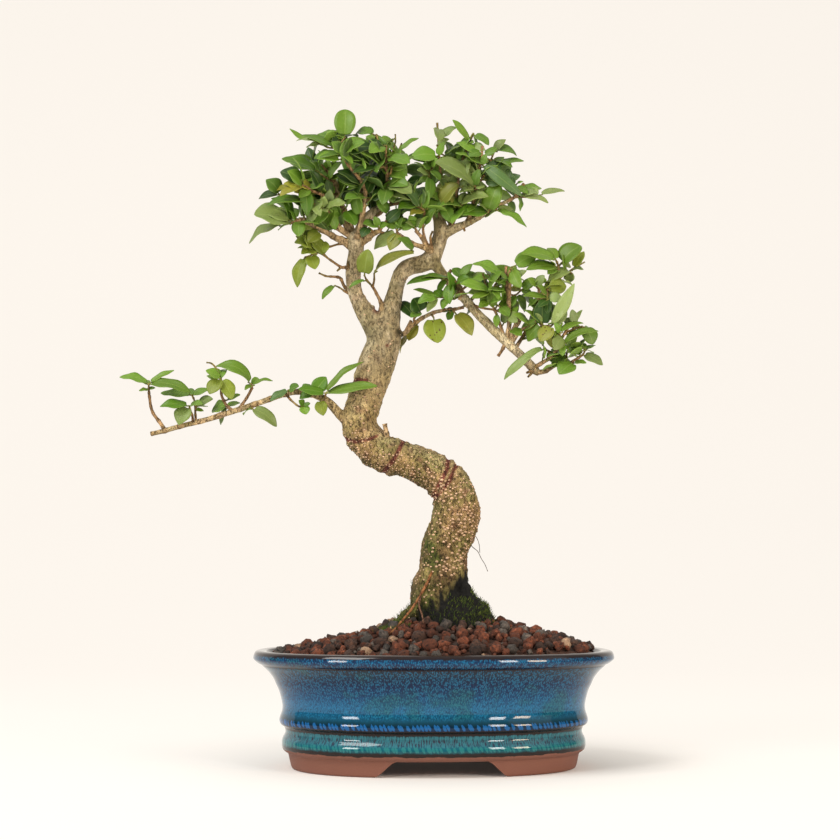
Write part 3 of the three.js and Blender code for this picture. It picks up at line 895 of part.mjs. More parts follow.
const BACK_SPRAYS = {
  spray_back_left_outer: [[-59.5, 364, 1, 1.6], [-70, 371, 8, 1.4], [-86, 379, 12, 1.1], [-99, 385, 14, 0.8]],
  spray_back_left_upper: [[-57, 369, 2, 1.6], [-64, 382, 14, 1.4], [-76, 404, 27, 1.1], [-86, 424, 34, 0.8]],
  spray_back_left_top: [[-53, 366, 2, 1.8], [-53, 380, 9, 1.5], [-52, 403, 17, 1.2], [-50, 431, 22, 0.8]],
  spray_back_left_inner: [[-49, 383, -2, 1.6], [-38, 389, 13, 1.3], [-28, 399, 23, 1], [-23, 411, 27, 0.8]],
  spray_back_right_inner: [[4, 384, 2, 1.6], [-1, 394, 13, 1.3], [-4, 405, 20, 1], [-5, 417, 23, 0.8]],
  spray_back_right_top: [[6, 380, 3, 1.6], [12, 392, 13, 1.4], [17, 407, 19, 1.1], [19, 427, 23, 0.8]],
  spray_back_right_outer: [[27, 383, -3, 1.5], [34, 393, 9, 1.2], [42, 403, 17, 1], [48, 413, 21, 0.8]],
  spray_back_lower_left: [[25, 324, -5, 1.5], [30, 330, 6, 1.2], [35, 338, 12, 1], [40, 344, 16, 0.8]],
  spray_back_lower_right: [[58, 291, -13, 1.5], [66, 304, -4, 1.2], [75, 318, 2, 1], [82, 332, 5, 0.8]],
};
const PAIR_SPACING = 16;
const BACK_LEAF = { length: 18, width: 10.5, arch: 0.08, forward: 0.55 };
const LAST_PAIR_PLACE = 0.97;

function backLeafParts(path, seed) {
  const curve = new THREE.CatmullRomCurve3(path.map(at));
  const pairs = Math.floor(curve.getLength() / PAIR_SPACING);
  const parts = [];
  for (let pair = 2; pair <= pairs; pair++) {
    const place = (LAST_PAIR_PLACE * pair) / pairs;
    const base = curve.getPointAt(place);
    const along = curve.getTangentAt(place);
    const out = new THREE.Vector3(1, 0, 0);
    out.addScaledVector(along, -out.dot(along)).normalize();
    out.applyAxisAngle(along, (pair * Math.PI) / 2 + 0.9 * (draw(seed + pair) - 0.5));
    for (const sign of [-1, 1]) {
      const size = 0.8 + 0.4 * draw(seed + pair * 3.7 + sign);
      const reach = out.clone().multiplyScalar(sign).addScaledVector(along, BACK_LEAF.forward).normalize();
      const tip = base.clone().addScaledVector(reach, BACK_LEAF.length * size);
      const tilt = 0.7 * (draw(seed * 2 + pair + sign) - 0.5);
      parts.push(leafSolid(null, base, tip, BACK_LEAF.width * size, BACK_UP, tilt, BACK_LEAF.arch));
    }
  }
  return parts;
}

function sprayGeometry(parts, wood) {
  return largestPiece(geometryOf(joined(parts).subtract(wood)));
}

function leafColour(name) {
  if (name.includes('yellow')) return YELLOW_LEAF;
  return /left|middle|dark|centre/.test(name) ? DARK_LEAF : FRESH_LEAF;
}

function piece(name, geometry, color, roughness) {
  const mesh = new THREE.Mesh(geometry, new THREE.MeshStandardMaterial({ color, roughness, metalness: 0 }));
  mesh.name = name;
  return mesh;
}

const bonsai = new THREE.Group();
bonsai.add(piece('pot', potGeometry(), GLAZE_BLUE, 0.15));
[['left', -DRAIN_HOLE_X], ['right', DRAIN_HOLE_X]].forEach(([side, x]) => {
  const screen = piece(`drain_screen_${side}`, screenGeometry(), SCREEN_BLACK, 0.6);
  screen.position.set(x, 0, FLOOR_TOP + SOIL_GAP + SCREEN_THICKNESS / 2);
  bonsai.add(screen);
});
const trunkFoot = joined([
  stem(TRUNK.slice(0, TRUNK_ROWS_IN_SOIL), TRUNK_SIDES, NODE_GAP),
  ...ROOTS.map((path) => stem(path, ROOT_SIDES, NODE_GAP)),
]);
bonsai.add(piece('soil', soilGeometry(trunkFoot), GRANULE_BROWN, 0.9));
bonsai.add(piece('trunk', geometryOf(woodParts(0)), BARK_OLIVE, 0.8));

const woodAndGap = woodParts(NODE_GAP);
const frontSprays = {
  ...LEFT_CROWN_SPRAYS, ...RIGHT_CROWN_SPRAYS, ...LOWER_RIGHT_SPRAYS, ...LEFT_BRANCH_SPRAYS,
};
Object.entries(frontSprays).forEach(([name, { stems, leaves }], number) => {
  const parts = [
    ...stems.map((path) => stem(path, twigSides(path[0][3]))),
    ...leaves.map((leaf, i) => frontLeaf(leaf, stems, number * 31 + i)),
  ];
  bonsai.add(piece(name, sprayGeometry(parts, woodAndGap), leafColour(name), 0.5));
});
Object.entries(BACK_SPRAYS).forEach(([name, path], number) => {
  const parts = [stem(path, TWIG_SIDES), ...backLeafParts(path, 500 + number * 17)];
  bonsai.add(piece(name, sprayGeometry(parts, woodAndGap), leafColour(name), 0.5));
});

// The feet stand on z = 0 and the whole plant's bounds are centred on the origin
const bounds = new THREE.Box3().setFromObject(bonsai);
const middle = bounds.getCenter(new THREE.Vector3());
bonsai.position.set(-middle.x, -middle.y, -bounds.min.z);

export default bonsai;
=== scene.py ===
"""Chinese privet bonsai in a blue glazed oval pot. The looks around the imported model, in metres."""

import math

import bmesh
import bpy
import numpy as np
from mathutils import Matrix, Vector, noise


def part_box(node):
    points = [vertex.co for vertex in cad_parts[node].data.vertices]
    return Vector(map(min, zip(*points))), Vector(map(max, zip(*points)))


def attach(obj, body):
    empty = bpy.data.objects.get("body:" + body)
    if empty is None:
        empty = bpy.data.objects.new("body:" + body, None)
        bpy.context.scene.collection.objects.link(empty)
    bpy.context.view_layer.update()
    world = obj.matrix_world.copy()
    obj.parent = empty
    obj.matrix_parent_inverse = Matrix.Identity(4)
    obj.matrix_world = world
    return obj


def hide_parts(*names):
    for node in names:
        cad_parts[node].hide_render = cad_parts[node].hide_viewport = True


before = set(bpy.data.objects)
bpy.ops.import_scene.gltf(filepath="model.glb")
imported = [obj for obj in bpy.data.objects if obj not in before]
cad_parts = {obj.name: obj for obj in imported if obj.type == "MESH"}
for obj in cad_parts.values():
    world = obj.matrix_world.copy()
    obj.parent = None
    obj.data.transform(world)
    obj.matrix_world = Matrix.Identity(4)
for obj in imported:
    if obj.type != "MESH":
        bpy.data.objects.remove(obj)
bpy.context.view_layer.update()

# Sizes and places are in millimetres, seen from the front, and become metres in the frame by at()
MM = 0.001
FULL_TURN = 2 * math.pi
THINNEST_TUBE = 0.2
EYE_X, EYE_DISTANCE, EYE_Z = -9.4, 1150.0, 129.5
PLANTING_TURN = math.radians(4)
POT_LOW, POT_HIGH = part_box("pot")
POT_X = (POT_LOW.x + POT_HIGH.x) / 2 / MM
POT_Y = (POT_LOW.y + POT_HIGH.y) / 2 / MM
CAMERA_PITCH = math.radians(5.51)
CAMERA_LENS = 70.14
CREAM = (250, 243, 234)


def draw(seed):
    """A repeatable number from 0 to 1"""
    value = math.sin(seed * 12.9898) * 43758.5453
    return value - math.floor(value)


def any_angle(seed):
    """A repeatable direction, in radians round a circle"""
    return 6.283 * draw(seed)


def limited(value):
    """The value kept from 0 to 1"""
    return min(1.0, max(0.0, value))


def linear(rgb):
    """Linear colour of an sRGB colour given from 0 to 255"""
    return tuple((c / 255 / 12.92) if c <= 10 else ((c / 255 + 0.055) / 1.055) ** 2.4 for c in rgb)


def rgba(rgb):
    """Linear colour with a fourth value of 1"""
    return (*linear(rgb), 1)


def turned(x, y, z):
    """A direction seen from the front, in the frame"""
    c, s = math.cos(PLANTING_TURN), math.sin(PLANTING_TURN)
    return Vector((x * c + y * s, -x * s + y * c, z))


def placed(x, y, z):
    """A point in front-view millimetres, in the frame's metres"""
    p = turned(x, y, z)
    return Vector((p.x + POT_X, p.y + POT_Y, p.z)) * MM


def in_pot(x, y, z):
    """A point in the pot's own millimetres, in the frame's metres"""
    return Vector(((x + POT_X) * MM, (y + POT_Y) * MM, z * MM))


def at(point):
    """A point read as x, z and depth, where x and z are taken at the pot's centre plane"""
    x, z, depth = point[:3]
    reach = (EYE_DISTANCE + depth) / EYE_DISTANCE
    return placed(EYE_X + (x - EYE_X) * reach, depth, EYE_Z + (z - EYE_Z) * reach)


def seen(points):
    """Front-view x, z and depth in millimetres of frame points, as arrays"""
    p = np.asarray(points) / MM - np.array((POT_X, POT_Y, 0))
    c, s = math.cos(PLANTING_TURN), math.sin(PLANTING_TURN)
    x, y = p[:, 0] * c - p[:, 1] * s, p[:, 0] * s + p[:, 1] * c
    shrink = EYE_DISTANCE / (EYE_DISTANCE + y)
    return EYE_X + (x - EYE_X) * shrink, EYE_Z + (p[:, 2] - EYE_Z) * shrink, y


def make_camera():
    data = bpy.data.cameras.new("camera")
    data.lens = CAMERA_LENS
    data.sensor_width = 36
    data.clip_start, data.clip_end = 0.05, 50
    camera = bpy.data.objects.new("camera", data)
    camera.location = placed(EYE_X, -EYE_DISTANCE, EYE_Z)
    camera.rotation_euler = (math.pi / 2 + CAMERA_PITCH, 0, -PLANTING_TURN)
    bpy.context.scene.collection.objects.link(camera)
    bpy.context.scene.camera = camera


make_camera()


# Meshes
def paint(mesh, colours):
    """Colours of a mesh's vertices, which its material reads as tone"""
    layer = mesh.color_attributes.new("tone", "FLOAT_COLOR", "POINT")
    layer.data.foreach_set("color", np.asarray(colours, np.float32).ravel())


def mesh_piece(name, verts, faces, materials, kinds=None, colours=None, uvs=None):
    """A smooth mesh object. kinds is each face's material; colours and uvs are one per vertex"""
    mesh = bpy.data.meshes.new(name)
    mesh.from_pydata([tuple(v) for v in verts], [], [tuple(f) for f in faces])
    for material in materials:
        mesh.materials.append(material)
    if kinds is not None:
        mesh.polygons.foreach_set("material_index", np.asarray(kinds, np.int32))
    mesh.polygons.foreach_set("use_smooth", np.ones(len(mesh.polygons), bool))
    if colours is not None:
        paint(mesh, colours)
    if uvs is not None:
        layer = mesh.uv_layers.new(name="surface")
        corner = np.zeros(len(mesh.loops), np.int32)
        mesh.loops.foreach_get("vertex_index", corner)
        layer.data.foreach_set("uv", np.asarray(uvs, np.float32)[corner].ravel())
    mesh.update()
    piece = bpy.data.objects.new(name, mesh)
    bpy.context.scene.collection.objects.link(piece)
    return piece


def ring_faces(rings, count, start=0):
    """Quads between rings of count vertices each, the first ring's vertices numbered from start"""
    faces = []
    for ring in range(rings - 1):
        a, b = start + ring * count, start + (ring + 1) * count
        faces += [(a + i, a + (i + 1) % count, b + (i + 1) % count, b + i) for i in range(count)]
    return faces


def end_faces(rings, count):
    """One face that closes the first ring and one that closes the last"""
    return [tuple(reversed(range(count))), tuple(range((rings - 1) * count, rings * count))]


def unit_sphere(subdivisions):
    """Vertices and faces of a ball with radius 1"""
    shape = bmesh.new()
    bmesh.ops.create_icosphere(shape, subdivisions=subdivisions, radius=1)
    verts = [v.co.copy() for v in shape.verts]
    faces = [tuple(v.index for v in f.verts) for f in shape.faces]
    shape.free()
    return verts, faces


def sharpen(piece, degrees):
    """Edges that turn more than this stay sharp"""
    shape = bmesh.new()
    shape.from_mesh(piece.data)
    for edge in shape.edges:
        edge.smooth = len(edge.link_faces) == 2 and edge.calc_face_angle(0) < math.radians(degrees)
    shape.to_mesh(piece.data)
    shape.free()


def apply_modifiers(piece):
    """Makes the piece's modifiers part of its mesh"""
    depsgraph = bpy.context.evaluated_depsgraph_get()
    mesh = bpy.data.meshes.new_from_object(piece.evaluated_get(depsgraph))
    piece.modifiers.clear()
    piece.data = mesh


class Parts:
    """Vertices, faces, colours and uvs that several shapes share in one piece"""

    def __init__(self):
        self.verts, self.faces, self.kinds, self.colours, self.uvs = [], [], [], [], []

    def add(self, verts, faces, kind=0, colours=(1, 1, 1, 1), uvs=None):
        """colours is one colour for the whole shape, or a list with one for each vertex"""
        start = len(self.verts)
        self.verts += [tuple(v) for v in verts]
        self.faces += [tuple(i + start for i in face) for face in faces]
        self.kinds += [kind] * len(faces)
        self.colours += [colours] * len(verts) if isinstance(colours, tuple) else colours
        self.uvs += uvs or [(0, 0)] * len(verts)

    def piece(self, name, materials):
        return mesh_piece(name, self.verts, self.faces, materials, self.kinds, self.colours, self.uvs)


def smooth_path(rows, steps):
    """Rows of numbers with steps more rows between each two, on a curve through them all"""
    rows = np.asarray(rows, float)
    if len(rows) < 3 or steps < 2:
        return rows
    ends = np.vstack([2 * rows[0] - rows[1], rows, 2 * rows[-1] - rows[-2]])
    out = []
    for i in range(len(rows) - 1):
        a, b, c, d = ends[i : i + 4]
        for k in range(steps):
            t = k / steps
            bend = (2 * a - 5 * b + 4 * c - d) * t**2
            twist = (3 * b - a - 3 * c + d) * t**3
            out.append(0.5 * (2 * b + (c - a) * t + bend + twist))
    out.append(rows[-1])
    return np.array(out)


def tube(path, sides, steps, swell=None):
    """A closed tube through rows of x, z, depth and radius, and its finer rows. swell scales its radius"""
    rows = smooth_path(path, steps)
    centres = [at(row) for row in rows]
    verts = []
    across = Vector((0, -1, 0))
    for i, centre in enumerate(centres):
        along = (centres[min(i + 1, len(centres) - 1)] - centres[max(i - 1, 0)]).normalized()
        across = (across - along * across.dot(along)).normalized()
        side = along.cross(across)
        for k in range(sides):
            angle = FULL_TURN * k / sides
            radius = max(rows[i][3], THINNEST_TUBE) * MM * (swell(i, angle) if swell else 1)
            verts.append(centre + (across * math.cos(angle) + side * math.sin(angle)) * radius)
    faces = ring_faces(len(centres), sides) + end_faces(len(centres), sides)
    return verts, faces, rows


# Materials
class Shader:
    """A material whose nodes are added by name"""

    def __init__(self, name, roughness, **sockets):
        self.material = bpy.data.materials.new(name)
        self.material.use_nodes = True
        self.tree = self.material.node_tree
        self.surface = self.tree.nodes["Principled BSDF"]
        self.surface.inputs["Roughness"].default_value = roughness
        for socket, value in sockets.items():
            self.surface.inputs[socket.replace("_", " ")].default_value = value

    def node(self, kind, settings=None, **inputs):
        """A new node. In the names of its inputs an underscore stands for a space"""
        made = self.tree.nodes.new(kind)
        for key, value in (settings or {}).items():
            setattr(made, key, value)
        for key, value in inputs.items():
            self.feed(made.inputs[key.replace("_", " ")], value)
        return made

    def feed(self, socket, value):
        if isinstance(value, bpy.types.NodeSocket):
            self.tree.links.new(value, socket)
        else:
            socket.default_value = value

    def maths(self, operation, a, b=0.0):
        made = self.node("ShaderNodeMath", {"operation": operation})
        self.feed(made.inputs[0], a)
        self.feed(made.inputs[1], b)
        return made.outputs[0]

    def plus(self, a, b):
        return self.maths("ADD", a, b)

    def minus(self, a, b):
        return self.maths("SUBTRACT", a, b)

    def times(self, a, b):
        return self.maths("MULTIPLY", a, b)

    def mix(self, factor, a, b, blend="MIX"):
        made = self.node("ShaderNodeMix", {"data_type": "RGBA", "blend_type": blend}, Factor=factor)
        self.feed(made.inputs[6], a)
        self.feed(made.inputs[7], b)
        return made.outputs[2]

    def tint(self, factor, colour, by):
        """The colour multiplied by another one where factor is 1"""
        return self.mix(factor, colour, (*by, 1), "MULTIPLY")

    def ramp(self, value, stops):
        """Colour from stops of position and colour"""
        made = self.node("ShaderNodeValToRGB")
        elements = made.color_ramp.elements
        while len(elements) < len(stops):
            elements.new(0.5)
        for element, (position, colour) in zip(elements, stops):
            element.position = position
            element.color = rgba(colour)
        self.feed(made.inputs[0], value)
        return made.outputs[0]

    def step(self, value, start, end, first, last):
        """first up to start and last from end on, with a smooth step between them"""
        settings = {"interpolation_type": "SMOOTHSTEP"}
        numbers = {"From_Min": start, "From_Max": end, "To_Min": first, "To_Max": last}
        return self.node("ShaderNodeMapRange", settings, Value=value, **numbers).outputs[0]

    def above(self, value, low, soft):
        """1 from low on, rising from 0 over soft before it"""
        return self.step(value, low - soft, low, 0, 1)

    def below(self, value, high, soft):
        """1 up to high, falling to 0 over soft after it"""
        return self.step(value, high, high + soft, 1, 0)

    def between(self, value, low, high, soft):
        """1 between low and high, falling to 0 over soft outside them"""
        return self.times(self.above(value, low, soft), self.below(value, high, soft))

    def noise(self, vector, scale, detail=3.0, rough=0.55):
        inputs = {"Vector": vector, "Scale": scale, "Detail": detail, "Roughness": rough}
        return self.node("ShaderNodeTexNoise", None, **inputs).outputs["Fac"]

    def cells(self, vector, scale):
        return self.node("ShaderNodeTexVoronoi", None, Vector=vector, Scale=scale).outputs["Distance"]

    def stretched(self, vector, scale):
        return self.node("ShaderNodeMapping", None, Vector=vector, Scale=scale).outputs[0]

    def where(self):
        return self.node("ShaderNodeTexCoord").outputs["Object"]

    def surface_map(self):
        return self.node("ShaderNodeUVMap", {"uv_map": "surface"}).outputs[0]

    def split(self, vector):
        return self.node("ShaderNodeSeparateXYZ", None, Vector=vector).outputs

    def tone(self):
        """The vertices' own colour, and the fourth value that comes with it"""
        made = self.node("ShaderNodeAttribute", {"attribute_name": "tone"})
        return made.outputs["Color"], made.outputs["Alpha"]

    def bump(self, height, strength, distance):
        made = self.node("ShaderNodeBump", None, Height=height, Strength=strength, Distance=distance)
        self.tree.links.new(made.outputs[0], self.surface.inputs["Normal"])

    def colour(self, value):
        """The finished material, with this as its base colour"""
        self.feed(self.surface.inputs["Base Color"], value)
        return self.material


# Glaze: levels are heights up the wall in decimetres
GLAZE_BANDS = [
    (0.158, (22, 14, 12)), (0.168, (10, 70, 78)), (0.195, (20, 86, 102)), (0.215, (40, 48, 66)),
    (0.240, (46, 38, 50)), (0.262, (26, 88, 98)), (0.272, (24, 16, 16)), (0.298, (18, 12, 12)),
    (0.306, (10, 40, 72)), (0.330, (0, 30, 50)), (0.350, (0, 46, 60)), (0.385, (12, 76, 104)),
    (0.450, (30, 94, 134)), (0.520, (12, 60, 100)), (0.600, (0, 30, 66)), (0.655, (0, 34, 58)),
    (0.690, (0, 30, 46)), (0.703, (26, 16, 32)), (0.716, (30, 22, 38)), (0.735, (16, 46, 82)),
    (0.762, (26, 50, 80)), (0.778, (28, 20, 20)), (0.800, (40, 32, 32)),
]
GLAZE_BODY, GLAZE_RIM, GLAZE_GROOVE = (0.395, 0.692, 0.035), (0.722, 0.768, 0.008), (0.205, 0.268, 0.008)
BURNT_EDGES = [(0.276, 0.305, 0.004), (0.699, 0.707, 0.003), (0.138, 0.153, 0.006)]
CLAY_TOP = 0.136
GLAZE_ROUGHNESS, CLAY_ROUGHNESS = 0.04, 0.66
# Rows of drops that hang over the belts: cells per decimetre, level, narrowing, strength and colour
DROP_ROWS = [(32.0, 0.326, 26.0, 0.9, (22, 88, 144)), (36.0, 0.186, 30.0, 0.6, (46, 122, 120))]


def flecked_glaze(shader, uv, level, grain, colour):
    """Fine upright flecks, as close as fur and light over navy, with green patches among them"""
    fleck = shader.below(shader.cells(shader.stretched(uv, (1.0, 0.5, 1.0)), 135.0), 0.30, 0.26)
    dense = shader.above(grain, 0.42, 0.16)
    patch = shader.above(shader.noise(uv, 3.2), 0.66, 0.12)
    body = shader.between(level, *GLAZE_BODY)
    covered = shader.plus(body, shader.between(level, *GLAZE_RIM))
    light = shader.times(shader.times(fleck, dense), covered)
    dark = shader.times(shader.below(grain, 0.42, 0.10), covered)
    colour = shader.mix(shader.times(patch, shader.times(body, 0.5)), colour, rgba((14, 74, 84)))
    colour = shader.mix(shader.times(dark, 0.6), colour, rgba((4, 18, 46)))
    pale = shader.mix(patch, rgba((34, 120, 160)), rgba((42, 118, 132)))
    return shader.mix(shader.times(light, 0.56), colour, pale)


def drop_row(shader, around, level, scale, middle, narrowing):
    """1 in a row of rounded drops side by side at one level of the wall"""
    away = shader.minus(level, middle)
    slanted = shader.plus(around, shader.times(away, 0.4))
    columns = shader.node("ShaderNodeTexVoronoi", {"voronoi_dimensions": "1D"}, W=slanted, Scale=scale)
    away = shader.times(away, narrowing)
    shape = shader.plus(columns.outputs["Distance"], shader.times(away, away))
    place = shader.node("ShaderNodeCombineXYZ", None, X=around, Y=level).outputs[0]
    uneven = shader.noise(place, 60.0, 2.0)
    return shader.below(shader.plus(shape, shader.times(shader.minus(uneven, 0.5), 0.5)), 0.30, 0.14)


def glaze_material():
    """Blue glaze in bands, burnt brown where it runs thin over an edge, above a foot of bare clay"""
    shader = Shader("blue_glaze", GLAZE_ROUGHNESS, Specular_IOR_Level=0.32)
    uv = shader.surface_map()
    around, height, _ = shader.split(uv)
    drift = shader.noise(shader.stretched(uv, (1.0, 0.3, 1.0)), 26.0)
    level = shader.plus(height, shader.times(shader.minus(drift, 0.5), 0.024))
    grain = shader.noise(shader.stretched(uv, (1.0, 0.5, 1.0)), 110.0, 4.0, 0.7)
    colour = flecked_glaze(shader, uv, level, grain, shader.ramp(level, GLAZE_BANDS))
    for scale, middle, narrowing, strength, tone in DROP_ROWS:
        row = drop_row(shader, around, level, scale, middle, narrowing)
        colour = shader.mix(shader.times(row, strength), colour, rgba(tone))
    runs = shader.above(shader.noise(shader.stretched(uv, (1.0, 0.16, 1.0)), 110.0, 3.0, 0.65), 0.52, 0.07)
    runs = shader.times(runs, shader.between(level, *GLAZE_GROOVE))
    colour = shader.mix(shader.times(runs, 0.85), colour, rgba((46, 112, 124)))
    for edge in BURNT_EDGES:
        colour = shader.mix(shader.times(shader.between(height, *edge), 0.9), colour, rgba((30, 18, 15)))
    wavy = shader.times(shader.minus(shader.noise(uv, 7.0), 0.5), 0.035)
    bare = shader.below(shader.plus(height, wavy), CLAY_TOP, 0.004)
    clay_grain = shader.noise(uv, 160.0, 4.0, 0.7)
    clay = shader.mix(clay_grain, rgba((102, 59, 44)), rgba((142, 96, 80)))
    rough = shader.plus(shader.times(bare, CLAY_ROUGHNESS - GLAZE_ROUGHNESS), GLAZE_ROUGHNESS)
    shader.feed(shader.surface.inputs["Roughness"], rough)
    shader.bump(shader.plus(shader.times(grain, 0.3), shader.times(clay_grain, bare)), 0.06, 0.0004)
    return shader.colour(shader.mix(bare, colour, clay))


def leaf_material(name):
    """The blade's own colour comes with its vertices; the fourth value marks brown spots"""
    shader = Shader(name, 0.44, Specular_IOR_Level=0.30)
    colour, spotted = shader.tone()
    across, along, _ = shader.split(shader.surface_map())
    across = shader.maths("ABSOLUTE", shader.minus(across, 0.5))
    place = shader.where()
    colour = shader.tint(shader.above(shader.noise(place, 260.0), 0.50, 0.2), colour, (0.86, 0.90, 0.72))
    # Side veins leave the midrib at a slant
    slant = shader.minus(along, shader.times(across, 0.55))
    veins = shader.above(shader.maths("SINE", shader.times(slant, 48.0)), 0.90, 0.12)
    veins = shader.times(veins, 0.14)
    colour = shader.tint(veins, colour, (1.35, 1.35, 1.25))
    midrib = shader.times(shader.below(across, 0.014, 0.022), 0.26)
    colour = shader.mix(midrib, colour, rgba((150, 166, 90)))
    edge = shader.times(shader.above(across, 0.482, 0.015), 0.25)
    colour = shader.mix(edge, colour, rgba((150, 164, 78)))
    speck = shader.below(shader.cells(place, 330.0), 0.17, 0.08)
    colour = shader.mix(shader.times(speck, spotted), colour, rgba((70, 46, 24)))
    shader.bump(shader.times(shader.plus(midrib, veins), -1.0), 0.35, 0.0004)
    shader.surface.inputs["Subsurface Weight"].default_value = 0.05
    shader.surface.inputs["Subsurface Radius"].default_value = (0.002, 0.004, 0.001)
    return shader.colour(colour)


def bark_material():
    """Bark colours come with the vertices; mottles, grain, cracks and pits are added here"""
    shader = Shader("bark", 0.78, Specular_IOR_Level=0.3)
    colour, _ = shader.tone()
    place = shader.where()
    grown = shader.stretched(place, (1.0, 1.0, 0.5))
    grain = shader.noise(grown, 420.0, 5.0, 0.7)
    patch = shader.noise(grown, 120.0, 4.0, 0.6)
    colour = shader.tint(shader.above(patch, 0.54, 0.12), colour, (0.74, 0.72, 0.62))
    colour = shader.tint(shader.below(patch, 0.44, 0.08), colour, (1.12, 1.11, 1.09))
    colour = shader.tint(shader.above(grain, 0.58, 0.08), colour, (1.26, 1.24, 1.20))
    # Cracks and pits are deepest in the old bark low down
    _, _, height = shader.split(place)
    aged = shader.plus(shader.times(shader.below(height, 0.235, 0.03), 0.40), 0.45)
    crack = shader.below(shader.noise(grown, 560.0, 4.0, 0.75), 0.41, 0.06)
    colour = shader.tint(shader.times(crack, aged), colour, (0.30, 0.26, 0.20))
    pits = shader.below(shader.cells(shader.stretched(place, (1.0, 1.0, 1.7)), 640.0), 0.16, 0.10)
    pits = shader.times(pits, shader.above(shader.noise(place, 60.0, 2.0), 0.50, 0.08))
    colour = shader.tint(shader.times(pits, aged), colour, (0.28, 0.24, 0.18))
    relief = shader.plus(grain, shader.times(patch, 1.6))
    shader.bump(shader.minus(relief, shader.times(crack, 0.7)), 1.0, 0.0018)
    return shader.colour(colour)


def plain_material(name, low, high, scale, roughness, bump, depth):
    """Two colours mottled together by the size of scale, per metre"""
    shader = Shader(name, roughness)
    place = shader.where()
    mottle = shader.above(shader.noise(place, scale, 4.0, 0.65), 0.5, 0.16)
    shader.bump(shader.noise(place, scale * 2.5, 4.0, 0.7), bump, depth)
    return shader.colour(shader.mix(mottle, rgba(low), rgba(high)))


def tinted_material(name, roughness, scale, by):
    """The vertices' own colours, unevenly multiplied by another"""
    shader = Shader(name, roughness)
    colour, _ = shader.tone()
    return shader.colour(shader.tint(shader.noise(shader.where(), scale), colour, by))


def granule_material(name, low, high, roughness):
    """Two colours mottled together, shaded for each granule, with pale scuffs"""
    shader = Shader(f"granule_{name}", roughness)
    place = shader.where()
    shade, _ = shader.tone()
    mottle = shader.above(shader.noise(place, 520.0, 4.0, 0.7), 0.5, 0.16)
    colour = shader.mix(1.0, shader.mix(mottle, rgba(low), rgba(high)), shade, "MULTIPLY")
    scuff = shader.above(shader.noise(place, 300.0, 4.0, 0.7), 0.60, 0.05)
    shader.bump(shader.noise(place, 900.0, 5.0, 0.75), 1.0, 0.0018)
    return shader.colour(shader.tint(scuff, colour, (1.9, 1.8, 1.7)))


def pore_material():
    shader = Shader("pore", 0.7)
    colour, _ = shader.tone()
    grain = shader.above(shader.noise(shader.where(), 900.0), 0.5, 0.1)
    return shader.colour(shader.tint(grain, colour, (0.7, 0.66, 0.6)))


# Pot: rings of one oval, up the inside, over the lip and down the outside
PLAN_DIFFERENCE, PLAN_POWER, PLAN_SEGMENTS = 27.0, 2.3, 144
FLOOR_UNDERSIDE = 10.7
FOOT_GAP_LOW, FOOT_GAP_HIGH, FOOT_GAP_STEPS = 88.0, 64.0, 12
DRAIN_HOLE_X, DRAIN_HOLE_RADIUS, DRAIN_HOLE_SIDES = 45.0, 10.0, 40
CUT_FROM, CUT_TO = 2, 32
UV_UNIT, WALL_MIDDLE = 100, 110
INSIDE = [(84, 17), (92, 18.5), (96.5, 23), (98.5, 42), (104, 58), (110, 68), (113.5, 73.5), (115, 78.2)]
LIP = [
    (116, 79.6), (118, 79.9), (121, 80), (123.2, 79.3), (124.2, 77.9), (124.8, 75.9), (124.6, 74),
    (121.8, 71.5),
]
WALL = [
    (119.2, 70.4), (118.4, 69.4), (116.3, 67.5), (114.2, 65.4), (111.1, 61.3), (109.2, 57.1), (107.2, 52.9),
    (105.9, 48.7), (105, 45), (104.6, 41.8), (104.9, 38.8), (105.8, 36), (106.5, 33.8), (106.6, 32.2),
    (106.1, 30.6), (105, 29.5), (103.7, 28.7), (103, 27.4), (102.5, 25.8), (102.5, 24.3), (103.1, 22.6),
    (104, 21), (104.7, 18.8), (104.8, 16.5), (104.6, 14.6), (103.7, 12.7), (102, 11.3), (100.7, 10.4),
    (100, 8.6), (99.2, 5), (98.3, 1.4), (97.4, 0.3), (96.2, 0),
]
FOOT_INSIDE = [(88.2, 0), (87.2, 0.6), (87, 2), (87, 9.6), (86.4, 10.7)]


def oval_ring(half_width, z, segments=PLAN_SEGMENTS):
    """Points of one oval ring in pot millimetres, from the back round"""
    ring = []
    for i in range(segments):
        angle = FULL_TURN * i / segments + math.pi / 2
        c, s = math.cos(angle), math.sin(angle)
        x = half_width * math.copysign(abs(c) ** (2 / PLAN_POWER), c)
        y = (half_width - PLAN_DIFFERENCE) * math.copysign(abs(s) ** (2 / PLAN_POWER), s)
        ring.append((x, y, z))
    return ring


def cutter(name, verts, faces):
    """A closed shape to cut out of the pot, which isn't rendered itself"""
    piece = mesh_piece(name, verts, faces, [])
    shape = bmesh.new()
    shape.from_mesh(piece.data)
    bmesh.ops.recalc_face_normals(shape, faces=shape.faces)
    shape.to_mesh(piece.data)
    shape.free()
    piece.hide_render = True
    return piece


